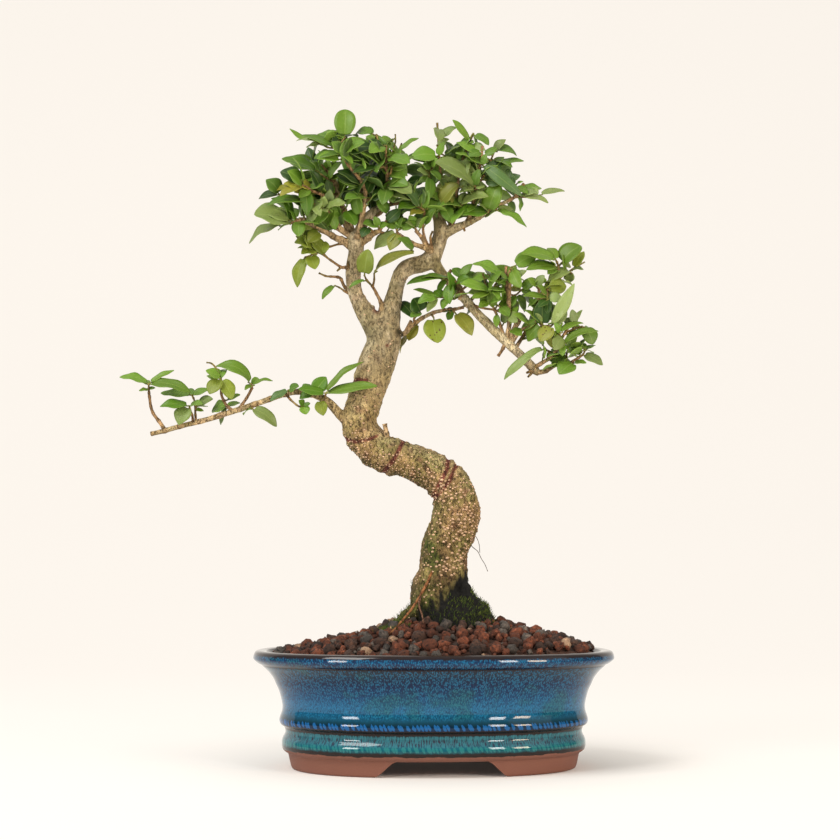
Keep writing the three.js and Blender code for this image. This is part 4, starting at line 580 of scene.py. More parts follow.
def foot_gap_cutter():
    """A slot from front to back between the feet, whose sides rise in a soft S"""
    half = [(FOOT_GAP_LOW / 2 + 3, -1)]
    for k in range(FOOT_GAP_STEPS + 1):
        t = k / FOOT_GAP_STEPS
        reach = FOOT_GAP_LOW / 2 - (FOOT_GAP_LOW - FOOT_GAP_HIGH + 4) / 2 * t
        half.append((reach, FLOOR_UNDERSIDE * (0.45 * t + 0.55 * t * t * (3 - 2 * t))))
    outline = [(-x, z) for x, z in half] + [(x, z) for x, z in reversed(half)]
    count = len(outline)
    verts = [in_pot(x, y, z) for y in (-150, 150) for x, z in outline]
    faces = [tuple(range(count)), tuple(reversed(range(count, 2 * count)))]
    faces += [(i, i + count, (i + 1) % count + count, (i + 1) % count) for i in range(count)]
    return cutter("foot_gap_cut", verts, faces)


def drain_cutter(x):
    """A round rod through the floor"""
    ring = []
    for k in range(DRAIN_HOLE_SIDES):
        angle = FULL_TURN * k / DRAIN_HOLE_SIDES
        ring.append((x + DRAIN_HOLE_RADIUS * math.cos(angle), DRAIN_HOLE_RADIUS * math.sin(angle)))
    verts = [in_pot(px, py, z) for z in (CUT_FROM, CUT_TO) for px, py in ring]
    return cutter("drain_cut", verts, end_faces(2, DRAIN_HOLE_SIDES) + ring_faces(2, DRAIN_HOLE_SIDES))


def pot_shape():
    """Vertices, faces and uvs of the pot before it is cut, and the length round its wall"""
    profile = np.vstack([smooth_path(INSIDE, 2), smooth_path(LIP, 3), smooth_path(WALL, 3), FOOT_INSIDE])
    middle = oval_ring(WALL_MIDDLE, 0)
    steps = [math.dist(a, b) / UV_UNIT for a, b in zip(middle, middle[1:] + middle[:1])]
    around = np.concatenate([[0], np.cumsum(steps)])
    verts, uvs = [], []
    for half_width, z in profile:
        for i, point in enumerate(oval_ring(half_width, z)):
            verts.append(in_pot(*point))
            uvs.append((around[i], z / UV_UNIT))
    faces = [(a, d, c, b) for a, b, c, d in ring_faces(len(profile), PLAN_SEGMENTS)]
    faces += [end[::-1] for end in end_faces(len(profile), PLAN_SEGMENTS)]
    return verts, faces, uvs, around[-1]


def close_seam(pot, length):
    """The last face of every ring ends its uvs at the full length, not at 0"""
    surface = pot.data.uv_layers["surface"].data
    for last in range(PLAN_SEGMENTS - 1, len(pot.data.polygons) - 2, PLAN_SEGMENTS):
        for corner in pot.data.polygons[last].loop_indices:
            if pot.data.loops[corner].vertex_index % PLAN_SEGMENTS == 0:
                surface[corner].uv.x = length


def cut(piece, cutters):
    """Takes the cutters' shapes out of the piece"""
    for tool in cutters:
        boolean = piece.modifiers.new("cut", "BOOLEAN")
        boolean.operation, boolean.object, boolean.solver = "DIFFERENCE", tool, "EXACT"
    bpy.context.view_layer.update()
    apply_modifiers(piece)
    for tool in cutters:
        bpy.data.objects.remove(tool)


def make_pot():
    verts, faces, uvs, length = pot_shape()
    pot = mesh_piece("pot_body", verts, faces, [glaze_material()], uvs=uvs)
    close_seam(pot, length)
    cut(pot, [foot_gap_cutter(), drain_cutter(-DRAIN_HOLE_X), drain_cutter(DRAIN_HOLE_X)])
    pot.data.polygons.foreach_set("use_smooth", np.ones(len(pot.data.polygons), bool))
    sharpen(pot, 32)
    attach(pot, "root")
    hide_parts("pot")


# Soil: a dark base with single granules over it
MOUND_CENTRE_X = 6.0
MOUND_LEFT, MOUND_RIGHT = (76.5, 31.0, 1.25), (79.0, 28.0, 0.85)
SOIL_EDGE = 113.7
# The base lies a little under the granules and inside the pot's wall
BASE_DROP, BASE_GAP, BASE_GRAIN = 2.2, 0.3, 1.2
BASE_RINGS, BASE_SEGMENTS, BASE_WALL_ROWS = 14, 96, 6


def mound_height(x, closeness):
    """Height of the soil from its edge, where closeness is 0, to the top of the mound, where it is 1"""
    t = limited((x + 45) / 90)
    right = t * t * (3 - 2 * t)
    edge, rise, power = (a + (b - a) * right for a, b in zip(MOUND_LEFT, MOUND_RIGHT))
    return edge + rise * closeness**power


def soil_height(x, y):
    """Height of the soil at a place in the pot"""
    dx, dy = x - MOUND_CENTRE_X, y
    reach = math.hypot(dx, dy)
    if reach < 1e-6:
        return mound_height(x, 1)
    low, high = 0.0, 300.0
    for _ in range(24):
        middle = (low + high) / 2
        px, py = MOUND_CENTRE_X + dx / reach * middle, dy / reach * middle
        wide, deep = abs(px) / SOIL_EDGE, abs(py) / (SOIL_EDGE - PLAN_DIFFERENCE)
        inside_edge = wide**PLAN_POWER + deep**PLAN_POWER < 1
        low, high = (middle, high) if inside_edge else (low, middle)
    return mound_height(x, max(0.0, 1 - reach / low))


def make_soil_base():
    """Rings over the mound, and rings down the pot's wall to its floor"""
    verts = []
    for ring in range(BASE_RINGS):
        closeness = ring / BASE_RINGS
        for x, y, _ in oval_ring(SOIL_EDGE, 0, BASE_SEGMENTS):
            px = x + (MOUND_CENTRE_X - x) * closeness
            py = y * (1 - closeness)
            grain = BASE_GRAIN * noise.noise(Vector((px, py, 0)) * 0.35)
            verts.append(in_pot(px, py, mound_height(px, closeness) - BASE_DROP + grain))
    verts.append(in_pot(MOUND_CENTRE_X, 0, mound_height(MOUND_CENTRE_X, 1) - BASE_DROP))
    bottom = len(verts)
    for half_width, z in INSIDE[:BASE_WALL_ROWS]:
        verts += [in_pot(*p) for p in oval_ring(half_width - BASE_GAP, z + BASE_GAP, BASE_SEGMENTS)]
    n = BASE_SEGMENTS
    top, last = (BASE_RINGS - 1) * n, bottom + (BASE_WALL_ROWS - 1) * n
    faces = ring_faces(BASE_RINGS, n)
    faces += [(top + i, top + (i + 1) % n, bottom - 1) for i in range(n)]
    faces += ring_faces(BASE_WALL_ROWS, n, bottom)
    faces += [(last + i, last + (i + 1) % n, (i + 1) % n, i) for i in range(n)]
    faces.append(tuple(reversed(range(bottom, bottom + n))))
    dust = plain_material("soil_dust", (38, 26, 20), (74, 46, 32), 300, 0.95, 0.8, 0.001)
    base = mesh_piece("soil_base", verts, faces, [dust])
    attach(base, "root")
    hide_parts("soil")


GRANULES = {
    "red_brown": ((36, 20, 14), (114, 63, 41), 0.92),
    "dark_brown": ((19, 12, 9), (72, 48, 36), 0.82),
    "grey": ((28, 25, 23), (94, 85, 77), 0.62),
    "pale": ((124, 90, 66), (190, 156, 126), 0.90),
}
GRANULE_SHARE = (0.52, 0.82, 0.965, 1.0)
# Radius and number of tries, the large granules first
GRANULE_SIZES = [(3.9, 700), (3.0, 1500), (2.2, 1500), (1.5, 1100)]
GRANULE_OVERLAP = 0.84
TRUNK_FOOT_X, TRUNK_FOOT_RADIUS = 10.5, 22.0


def granule_places():
    """Seed, x, y and size of every granule inside the pot's edge and outside the trunk's foot"""
    taken = []
    seed = 11
    for radius, tries in GRANULE_SIZES:
        for _ in range(tries):
            seed += 1
            x = (2 * draw(seed) - 1) * SOIL_EDGE
            y = (2 * draw(seed + 0.31) - 1) * (SOIL_EDGE - PLAN_DIFFERENCE)
            size = radius * (0.75 + 0.6 * draw(seed + 0.57))
            edge = (abs(x) / (SOIL_EDGE - size)) ** PLAN_POWER
            edge += (abs(y) / (SOIL_EDGE - PLAN_DIFFERENCE - size)) ** PLAN_POWER
            if edge > 1 or math.hypot(x - TRUNK_FOOT_X, y) < TRUNK_FOOT_RADIUS:
                continue
            apart = [GRANULE_OVERLAP * (size + other) for _, _, _, other in taken]
            if any((x - t[1]) ** 2 + (y - t[2]) ** 2 < gap**2 for t, gap in zip(taken, apart)):
                continue
            taken.append((seed, x, y, size))
    return taken


def granule_points(sphere, seed, x, y, size):
    """A lumpy, flattened ball turned at random"""
    z = soil_height(x, y) + 0.15 * size + 1.1 * (draw(seed + 0.77) - 0.6)
    axis = Vector((draw(seed + 1.1), draw(seed + 2.2), 0.6))
    turn = Matrix.Rotation(any_angle(seed + 0.21), 3, axis)
    squash = Vector((1, 0.72 + 0.28 * draw(seed + 3.3), 0.66 + 0.3 * draw(seed + 4.4)))
    offset = Vector((draw(seed + 5.5), draw(seed + 6.6), draw(seed + 7.7))) * 20
    points = []
    for v in sphere:
        lump = 1 + 0.42 * noise.noise(v * 1.6 + offset) + 0.34 * noise.noise(v * 3.4 + offset)
        p = turn @ Vector((v.x * squash.x, v.y * squash.y, v.z * squash.z)) * size * lump
        points.append(in_pot(x + p.x, y + p.y, z + p.z))
    return points


def make_granules():
    """The single granules, with one piece for each kind"""
    sphere, faces = unit_sphere(2)
    groups = {name: Parts() for name in GRANULES}
    for seed, x, y, size in granule_places():
        kind = draw(seed + 0.83)
        name = [n for n, share in zip(GRANULES, GRANULE_SHARE) if kind <= share][0]
        shade = 0.42 + 0.8 * draw(seed + 8.8)
        groups[name].add(granule_points(sphere, seed, x, y, size), faces, 0, (shade, shade, shade, 1))
    for name, (low, high, roughness) in GRANULES.items():
        piece = groups[name].piece(f"granules_{name}", [granule_material(name, low, high, roughness)])
        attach(piece, "root")


# Wood: trunk, limbs and roots become one skin; thin twigs are tubes let into it
TRUNK = [
    (12, 70, 0, 27), (12, 80, 0, 31), (12, 86, 0, 32), (11.5, 96, 0, 31), (9, 103, 0, 26.5),
    (5.8, 110.7, 0, 22.5), (4.6, 121.1, 0, 20), (7, 131.5, -1, 17.8), (7.4, 142, -1, 16.6),
    (8.3, 152, -2, 16.4), (13.3, 163, -4, 16.1), (16, 174, -6, 16.4), (15.7, 184, -7, 15.4),
    (8.9, 197.5, -8, 14.3), (-4.5, 206, -8, 13.3), (-20, 212, -8, 12), (-35.8, 217.4, -6, 13.2),
    (-46, 224.8, -4, 13), (-51, 232.5, -3, 12.2), (-52.5, 240.4, -2, 11.8), (-49.8, 251, -1, 12.1),
    (-45.5, 264, 1, 11.9), (-41.3, 276, 3, 13), (-38.7, 284, 4, 13), (-35.5, 294, 4, 12.2),
    (-35, 302, 4, 12.6), (-36, 309, 4, 11),
]
ROOTS = [
    [(-2, 118, -6, 5), (-12, 108, -11, 5), (-24, 98, -14, 4.5), (-36, 86, -16, 4), (-44, 76, -17, 3)],
    [(18, 128, -8, 4), (26, 114, -12, 4.5), (35, 100, -14, 4.5), (45, 88, -16, 4), (54, 78, -17, 3)],
    [(8, 114, 14, 6), (2, 102, 22, 6), (-4, 90, 30, 5), (-8, 78, 36, 4)],
    [(22, 112, 10, 6), (32, 100, 16, 6), (40, 88, 22, 5), (46, 76, 26, 4)],
]
LIMBS = [
    [(-36, 300, 4, 11), (-42, 309, 3, 9), (-48, 317, 2, 7.2), (-53, 325.5, 0, 5.6),
     (-56.1, 333.4, -1, 5.3), (-57, 344, -2, 5.5), (-56.4, 352, -3, 5.6), (-55, 361, -3, 5.6),
     (-56, 370, -4, 6.2), (-57, 375, -4, 4.4)],
    [(-35, 299, 4, 11.5), (-33, 307, 4, 10), (-31, 316, 4, 8.2), (-28.6, 325.5, 4, 6.5),
     (-26.4, 335, 4, 5.6), (-24.4, 342, 4, 5.6), (-20.8, 347.6, 4, 5.9), (-14.5, 350.8, 3, 6.1),
     (-7.4, 352.4, 2, 6.4), (-1.6, 356, 2, 6.6), (2, 363.5, 1, 6.1), (4.8, 371, 0, 5.5),
     (5.3, 378, 0, 5.1), (3.8, 385, 0, 4.2), (1.2, 392.3, 0, 3.4)],
    [(5, 372.5, 0, 4.6), (13.4, 377, -1, 3.6), (19.2, 379.3, -2, 3), (26.3, 382.5, -3, 2.4),
     (33, 386, -4, 1.9), (39, 389.5, -5, 1.6), (47.8, 395, -6, 1.5), (56, 399.2, -8, 1.4),
     (60, 401, -9, 1.2), (68, 400.7, -10, 0.9), (75, 400.5, -11, 0.7)],
    [(0, 354, 2, 4.4), (6, 345.5, 1, 3.7), (12, 339.1, -1, 3.5), (21.2, 328.3, -4, 3.4),
     (31.1, 316.8, -7, 3.4), (41.7, 306, -10, 3.4), (52.3, 296, -12, 3.6), (62.2, 286, -14, 3.3),
     (71.4, 276.7, -16, 3), (74.5, 273.8, -16.5, 2.4)],
    [(-27, 300, 4, 1.8), (-20, 302.5, 4, 1.8), (-15.1, 308, 3, 1.7), (-8, 313, 2, 1.6),
     (0, 317, 1, 1.5), (8, 318.8, 0, 1.4), (15.5, 319.5, -1, 1.3), (21.5, 321, -3, 1.2)],
    [(-54, 374, -3, 4), (-49, 383, -3, 3.7), (-44, 389, -4, 3.1), (-39, 392.5, -5, 2.4),
     (-33, 394.5, -6, 1.7), (-25, 396, -7, 1.1), (-19, 396.8, -8, 0.7)],
    [(-54, 236, -2, 5), (-63.8, 241.9, -3, 3.6), (-69.4, 248.2, -4, 3.3), (-75.8, 254.4, -5, 3),
     (-85.7, 258.9, -6, 2.5), (-95.6, 260.4, -7, 2.2), (-104.8, 258.9, -8, 2.1), (-115.4, 255.4, -8, 2.1),
     (-126, 251.6, -8, 2.2), (-136.5, 248.2, -8, 2.1), (-150.6, 243.6, -8, 2.1), (-164.7, 239.4, -7, 2),
     (-178.8, 236, -6, 1.9), (-189.3, 232.9, -6, 1.9), (-199.2, 230.6, -5, 1.7)],
]
BARE_TWIGS = [
    [(-59, 366, -3, 1.4), (-67, 366.5, -4, 0.8), (-74, 364.6, -6, 0.8), (-79.5, 364.5, -8, 0.8),
     (-81.2, 367, -9, 0.8), (-82.6, 373.5, -10, 0.8)],
    [(-60, 348.5, -6, 0.9), (-61, 354, -9, 0.7)],
    [(-56, 331, 0, 1.6), (-62.5, 335, -1, 1.2), (-65.5, 341, -2, 1.1), (-68, 342.7, -3, 1),
     (-73, 343, -4, 0.8), (-77, 343.6, -5, 0.7), (-81.5, 345.6, -5, 0.6)],
    [(64, 400.8, -9.5, 0.8), (66.5, 407.5, -8, 0.6)],
    [(21, 380.5, -2.5, 1), (22.5, 376, -4, 0.8)],
    [(13, 379, -2, 1.2), (16, 386, -5, 0.8), (15, 389.5, -6, 0.6)],
    [(9, 341.5, 0, 1.4), (13, 348, -2, 1.1)],
    [(-19, 304, 3.5, 1.3), (-15.5, 311.5, 2, 1.2)],
    [(11, 320, 0, 0.9), (12.5, 316.5, -2, 0.9)],
    [(53.5, 296.5, -12, 2), (60, 310.5, -15, 1.8), (64.5, 315.3, -17, 1.7)],
    [(51, 295, -12, 1.6), (49.5, 291.5, -13, 1.2), (46, 286, -14, 1)],
    [(72, 276.5, -16, 1.2), (66, 274, -19, 0.8)],
    [(71.5, 276, -17, 1.1), (67, 271, -20, 0.7)],
    [(-32, 223, -10, 2.2), (-33, 231, -13, 1.7), (-34.3, 237.8, -14, 1.5)],
    [(-57.5, 371, -4, 1.5), (-74.5, 381.2, -12, 0.9)],
    [(73, 276, -16, 1.2), (72.5, 279, -20, 0.7)],
]
# Scars round the stem where wire once sat, and the places they pass, as seen from the front
RINGS = [
    ([(-58, 268), (-52, 269), (-47, 269)], 1.5),
    ([(-63, 227), (-55, 225), (-47, 226), (-40, 229)], 1.2),
    ([(-21, 226), (-27, 214), (-35, 203)], 1.5),
    ([(11, 217), (9.5, 205), (-1, 185)], 1.4),
    ([(18, 212), (11, 197), (1, 185)], 1.5),
]
SCARS = [(-40.5, 319, 2.8), (-32.6, 293.5, 1.5), (3, 391, 2.2)]
VOXEL = 0.00085
BARK_TONES = {
    "tan": (168, 140, 96), "dull tan": (148, 122, 82), "low brown": (104, 84, 54), "cream": (204, 181, 138),
    "grey": (176, 160, 130), "fork grey": (150, 134, 102), "pale twig": (204, 188, 152),
    "olive": (140, 130, 78), "shade green": (74, 74, 36), "brown": (120, 84, 62), "moss": (70, 84, 26),
    "wet": (14, 13, 8), "hollow green": (84, 92, 36), "crotch brown": (54, 48, 30),
    "ring red": (116, 64, 52),
}


def ripples(places, across, upward):
    """Noise at each place, from its waves per millimetre across and upward"""
    return np.array([noise.noise(Vector((a * across, b * upward, c * across))) for a, b, c in places])


def path_distance(x, z, path):
    """Distance of each place from a path, as seen from the front"""
    best = np.full(len(x), 1e9)
    for (ax, az), (bx, bz) in zip(path, path[1:]):
        dx, dz = bx - ax, bz - az
        t = np.clip(((x - ax) * dx + (z - az) * dz) / (dx * dx + dz * dz), 0, 1)
        best = np.minimum(best, np.hypot(x - ax - t * dx, z - az - t * dz))
    return best


def age_layers(x, z, wave):
    """Brown low down, tan in the middle, cream and grey higher up"""
    return [
        ("dull tan", (194 - z) / 16),
        ("low brown", (160 - z) / 34),
        ("cream", (z - 238) / 22),
        ("grey", (z - 270) / 14),
        ("fork grey", 0.6 * (1 - np.abs(z - 276) / 22)),
        ("pale twig", (x - 8) / 14 * (z > 290)),
        ("olive", (wave * 1.8 + 0.22) * np.clip((264 - z) / 30, 0.25, 1)),
    ]


def damp_layers(x, z, depth, wave, fine, strands):
    """Moss and wet bark at the foot, which reaches higher on the right"""
    front = depth < 10
    damp = np.minimum(x - 21 + 0.95 * (136 - z), 138 - z) / 5 + 1.6 * strands + 0.6 * fine
    foot = (1 - np.hypot((x - 9) / 29, (z - 100) / 16)) * 2.3 + 1.6 * strands
    return [
        ("moss", np.clip((130 - z) / 34, 0, 2) * (0.75 + 1.5 * wave)),
        ("wet", damp * front * 0.93),
        ("wet", foot * front * 0.85),
        ("wet", np.clip((106 - z) / 16, 0, 2) * (0.6 + wave) * front),
    ]


def spot_layers(x, z, wave, fine):
    """The hollow in the trunk, the crotch, the left branch, the crown and the fork"""
    hollow = 1 - np.hypot((x + 1) / 9, (z - 149) / 17)
    crotch = 1 - np.hypot((x + 20) / 6, (z - 307) / 13)
    fork = 1 - np.hypot((x + 50) / 16, (z - 303) / 18)
    return [
        ("hollow green", hollow * 1.4 + fine),
        ("crotch brown", crotch * 1.6 + fine),
        ("cream", np.clip((-60 - x) / 20, 0, 0.7) * (z < 262)),
        ("olive", (z > 300) * (wave * 1.5) * 0.6),
        ("moss", fork * 0.5),
    ]


def mark_layers(x, z, depth, fine):
    """Red-brown rings and scars"""
    layers = []
    for path, width in RINGS:
        near = np.clip(1.45 - path_distance(x, z, path) / width, 0, 2)
        layers.append(("ring red", near * (depth < 6) * (1.3 + 1.3 * fine)))
    for px, pz, size in SCARS:
        near = np.hypot(x - px, z - pz)
        layers.append(("ring red", (1.4 - near / size) * 0.8 * (depth < 4)))
    return layers


def bark_colours(points, normals):
    """Bark colour of each vertex: layers over tan, each with how far it covers what lies under it"""
    x, z, depth = seen(points)
    places = list(zip(x, z, depth))
    wave, fine = ripples(places, 0.045, 0.045), ripples(places, 0.16, 0.16)
    strands = ripples(places, 0.30, 0.07)
    # Painted light and shade by facing: downward faces in the bend turn dark shade green, and upward faces
    # above 190 mm turn paler grey
    shaded = np.clip(-normals[:, 2], 0, 1) * (185 < z) * (z < 250)
    layers = age_layers(x, z, wave) + [
        ("shade green", shaded * (0.5 + 1.6 * wave)),
        ("brown", (fine * 2.2 - 0.15) * (0.6 - 0.35 * (z > 250))),
        ("grey", np.clip(normals[:, 2], 0, 1) * 0.45 * (z > 190)),
    ]
    layers += damp_layers(x, z, depth, wave, fine, strands)
    layers += spot_layers(x, z, wave, fine) + mark_layers(x, z, depth, fine)
    colour = np.tile(linear(BARK_TONES["tan"]), (len(x), 1))
    for tone, amount in layers:
        amount = np.clip(amount, 0, 1)[:, None]
        colour = colour * (1 - amount) + np.array(linear(BARK_TONES[tone])) * amount
    return np.hstack([colour, np.ones((len(x), 1))])


def wood_skin(bark):
    """Trunk, limbs and roots grown together into one smooth skin"""
    skin = Parts()
    for path, sides, steps in [(TRUNK, 32, 5)] + [(path, 16, 4) for path in ROOTS + LIMBS]:
        verts, faces, _ = tube(path, sides, steps)
        skin.add(verts, faces)
    wood = skin.piece("trunk_and_limbs", [bark])
    remesh = wood.modifiers.new("skin", "REMESH")
    remesh.mode, remesh.voxel_size, remesh.use_smooth_shade = "VOXEL", VOXEL, True
    relax = wood.modifiers.new("relax", "SMOOTH")
    relax.factor, relax.iterations = 0.6, 5
    bpy.context.view_layer.update()
    apply_modifiers(wood)
    return wood


def wood_relief(points):
    """How far the bark stands out: ridges and bumps, grooves at the rings and hollows at the scars"""
    x, z, depth = seen(points)
    places = list(zip(x, z, depth))
    rise = 1.5 * ripples(places, 0.11, 0.035) + 0.75 * ripples(places, 0.33, 0.33)
    rise = rise + 0.3 * ripples(places, 0.8, 0.5)
    rise *= np.clip((300 - z) / 40, 0.25, 1) * np.clip((x + 75) / 20, 0.1, 1)
    front = depth < 8
    for path, width in RINGS:
        near = path_distance(x, z, path)
        rise -= 0.55 * np.exp(-((near / width) ** 2)) * front
        rise += 0.6 * np.exp(-(((near - 2.6 * width) / width) ** 2)) * front
    for px, pz, size in SCARS:
        near = np.hypot(x - px, z - pz)
        rise += 1.0 * np.exp(-(((near - size) / (0.5 * size)) ** 2)) * (depth < 4)
        rise -= 0.9 * np.exp(-((near / (0.6 * size)) ** 2)) * (depth < 4)
    return rise


def vertex_rows(mesh, what):
    """A value of every vertex of a mesh, such as its place or its normal, as rows of three"""
    rows = np.zeros(len(mesh.vertices) * 3)
    mesh.vertices.foreach_get(what, rows)
    return rows.reshape(-1, 3)


def make_wood(bark):
    """The wood's skin with relief and colours, and its vertices and normals"""
    wood = wood_skin(bark)
    mesh = wood.data
    points, normals = vertex_rows(mesh, "co"), vertex_rows(mesh, "normal")
    points = points + normals * (wood_relief(points) * MM)[:, None]
    mesh.vertices.foreach_set("co", points.ravel())
    paint(mesh, bark_colours(points, normals))
    if not mesh.materials:
        mesh.materials.append(bark)
    mesh.update()
    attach(wood, "root")
    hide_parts("trunk")
    return points, normals


PORE_TONE = (216, 180, 146)
PORE_TRIES, PORE_GAP_SQUARED = 26000, 3.4e-6


def pore_density(x, z, upward):
    """How many pores there are: many on the lower right of the trunk and under its bend"""
    band = x > 5 + 0.15 * (z - 140) and 118 < z < 182
    under = 185 < z < 234 and upward < 0.15
    return 0.03 + 0.05 * (z < 262) + 0.04 * (z < 215) + 0.26 * band + 0.6 * under


def make_pores(points, normals):
    """Raised pale pores, none of them where the bark is wet or on thin branches"""
    sphere, faces = unit_sphere(1)
    x, z, _ = seen(points)
    pores = Parts()
    chosen = np.zeros((0, 3))
    for k in range(PORE_TRIES):
        i = int(draw(k * 1.37 + 0.5) * len(points))
        soaked = z[i] < 136 and x[i] > 19 - 0.95 * (136 - z[i])
        if z[i] > 345 or z[i] < 100 or x[i] < -66 or soaked:
            continue
        near = ((chosen - points[i]) ** 2).sum(axis=1) < PORE_GAP_SQUARED
        if draw(k * 0.71 + 3) > pore_density(x[i], z[i], normals[i][2]) or near.any():
            continue
        chosen = np.vstack([chosen, points[i]])
        low_right = z[i] < 200 and x[i] > -2
        size = (0.34 + 0.5 * draw(k + 0.9) ** 1.5 + 0.28 * low_right) * MM
        turn = Vector(normals[i]).normalized().to_track_quat("Z", "Y").to_matrix()
        middle = Vector(points[i])
        shape = [middle + turn @ Vector((v.x * size * 1.35, v.y * size, v.z * size * 0.62)) for v in sphere]
        shade = 0.75 + 0.4 * draw(k + 0.15)
        pores.add(shape, faces, 0, (*(c * shade for c in linear(PORE_TONE)), 1))
    piece = pores.piece("bark_pores", [pore_material()])
    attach(piece, "root")


TWIG_BROWN, TWIG_TAN, TWIG_GREEN = (150, 112, 78), (188, 160, 120), (134, 130, 66)


def twig_colours(rows, sides):
    """Brown wood that turns green where a twig is young and thin"""
    colours = []
    for x, z, _, radius in rows:
        thick = limited((radius - 0.7) / 1.0)
        young = limited((0.9 - radius) / 0.35)
        mottle = draw(x * 3.1 + z)
        base = [a + (b - a) * thick for a, b in zip(TWIG_BROWN, TWIG_TAN)]
        base = [(a + (b - a) * young * 0.8) * (0.82 + 0.3 * mottle) for a, b in zip(base, TWIG_GREEN)]
        colours += [(*linear(base), 1)] * sides
    return colours


def add_twig(parts, path, sides, kind, seed):
    """A twig with small swellings where leaves stood"""
    def swell(i, angle):
        return 1 + 0.22 * (i % 4 == 0) * (0.6 + 0.8 * draw(seed + i)) + 0.07 * math.sin(3 * angle + i)

    verts, faces, rows = tube(path, sides, 4, swell)
    parts.add(verts, faces, kind, twig_colours(rows, sides))


def make_bare_twigs(bark):
    """Leafless twigs, and the thin ends of limbs that the skin is too coarse for"""
    twigs = Parts()
    for n, path in enumerate(BARE_TWIGS):
        add_twig(twigs, path, 8, 0, n)
    for n, path in enumerate(LIMBS[2:]):
        slim = [(*row[:3], row[3] * 0.9) for row in path if row[3] < 2.6]
        if len(slim) > 1:
            add_twig(twigs, slim, 10, 0, n + 40)
    piece = twigs.piece("bare_twigs", [bark])
    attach(piece, "root")


# Leaves
LEAF_TONES = {
    "dark": (46, 74, 22), "deep": (78, 112, 26), "mid": (88, 118, 42), "green": (104, 136, 48),
    "bright": (98, 126, 38), "lime": (120, 132, 46), "yellow": (146, 140, 50), "olive": (128, 130, 54),
    "grey": (122, 138, 80), "pale": (134, 148, 92), "dusk": (76, 102, 58),
}
# Places with a colour of their own, seen from the front: x, z, radius, tone and how far it is spotted brown
TONE_PLACES = [
    (-42, 412, 10, "dark", 0), (-103, 397, 12, "deep", 0), (-100, 404, 8, "yellow", 0.2),
    (-90, 355, 20, "lime", 0.1), (-91, 437, 7, "pale", 0), (-86, 389.5, 6, "grey", 0),
    (-70, 396, 6, "grey", 0), (-22, 401, 7, "grey", 0), (-63, 455, 11, "bright", 0),
    (-115, 388, 13, "grey", 0), (-120, 375, 12, "grey", 0), (-59, 386, 6, "deep", 0),
    (-48, 353, 8, "lime", 0), (-30, 354, 14, "olive", 0.3), (-34, 367, 9, "pale", 0),
    (-30, 367, 5, "olive", 0.2), (-13, 400, 6, "dusk", 0), (-18, 395, 6, "deep", 0),
    (-12, 387, 5, "yellow", 0), (16, 417, 13, "grey", 0), (50, 412, 12, "dusk", 0),
    (27, 389, 10, "deep", 0), (11, 403, 8, "olive", 0), (30, 400, 9, "grey", 0),
    (46, 401, 9, "bright", 0), (72, 396, 10, "pale", 0), (85, 405, 9, "pale", 0.1),
    (20, 450, 8, "bright", 0), (0, 304, 9, "lime", 1), (-18, 297, 8, "yellow", 0.5),
    (24, 309, 8, "olive", 0.3), (8, 343, 14, "deep", 0), (39, 353, 9, "green", 0),
    (45, 340, 7, "green", 0), (59, 334, 4, "yellow", 0), (75, 360, 10, "bright", 0),
    (97, 361, 9, "bright", 0), (104, 355, 5, "lime", 0), (88, 334, 6, "lime", 0),
    (95, 344, 9, "grey", 0), (81, 321, 7, "dark", 0), (92, 323, 14, "pale", 0.2),
    (103, 300, 12, "bright", 0), (81, 300, 7, "olive", 0.8), (97, 278, 9, "green", 0),
    (-172, 262, 12, "green", 0), (-186, 250, 6, "deep", 0), (-178, 243, 7, "grey", 0),
    (-162, 256, 7, "grey", 0),
    (-120, 244, 9, "grey", 0), (-150, 263, 9, "lime", 0), (-109, 258, 7, "dusk", 0),
    (-86, 260, 13, "deep", 0), (-57, 263, 15, "bright", 0), (-79, 249, 8, "lime", 0),
]
LEFT_CROWN, RIGHT_CROWN = ("mid", "green", "dark", "green"), ("green", "green", "mid", "grey")
LOWER_RIGHT, LEFT_BRANCH = ("green", "bright", "grey", "green"), ("bright", "green")
# The sprays behind draw from the darker tones, which paint the shade at the back of the crown
BEHIND_PAINTED_SHADE = ("dark", "deep", "mid")
FRONT_UP, BACK_UP = turned(0, -0.72, 0.69).normalized(), turned(0, 0.5, 0.87).normalized()
BLADE_THICKNESS, THINNEST_HALF = 0.35, 0.0003
# Leaves that lie across the view are widened, and those from this width on are flatter and blunter
WIDEN, WIDE_LEAF = 0.32, 12
STATIONS, SPANS = 13, 6
# Leaves whose base is this near to a stem sit on it without a stalk of their own
SESSILE_DISTANCE = 5.0
STALK_RINGS, STALK_SIDES, STALK_TONE = 5, 6, (128, 132, 62)


def leaf_tone(x, z, seed, choices):
    """Linear colour and spottedness of a leaf by its place"""
    near = [(math.hypot(x - px, z - pz) / size, tone, spots) for px, pz, size, tone, spots in TONE_PLACES]
    distance, tone, spots = min(near)
    if distance > 1:
        tone, spots = choices[int(draw(seed + 0.13) * len(choices))], 0.0
    base = linear(LEAF_TONES[tone])
    shade = 0.82 + 0.34 * draw(seed + 0.41)
    warm = 0.06 * (draw(seed + 0.77) - 0.5)
    return tuple(max(0, c * shade * (1 + w)) for c, w in zip(base, (warm, 0, -warm))), spots


def blade_axes(base, tip, facing, tilt):
    """Directions along a blade, up from it and to its side"""
    along = (tip - base).normalized()
    up = (facing - along * facing.dot(along)).normalized()
    up = Matrix.Rotation(tilt, 3, along) @ up
    return along, up, along.cross(up)


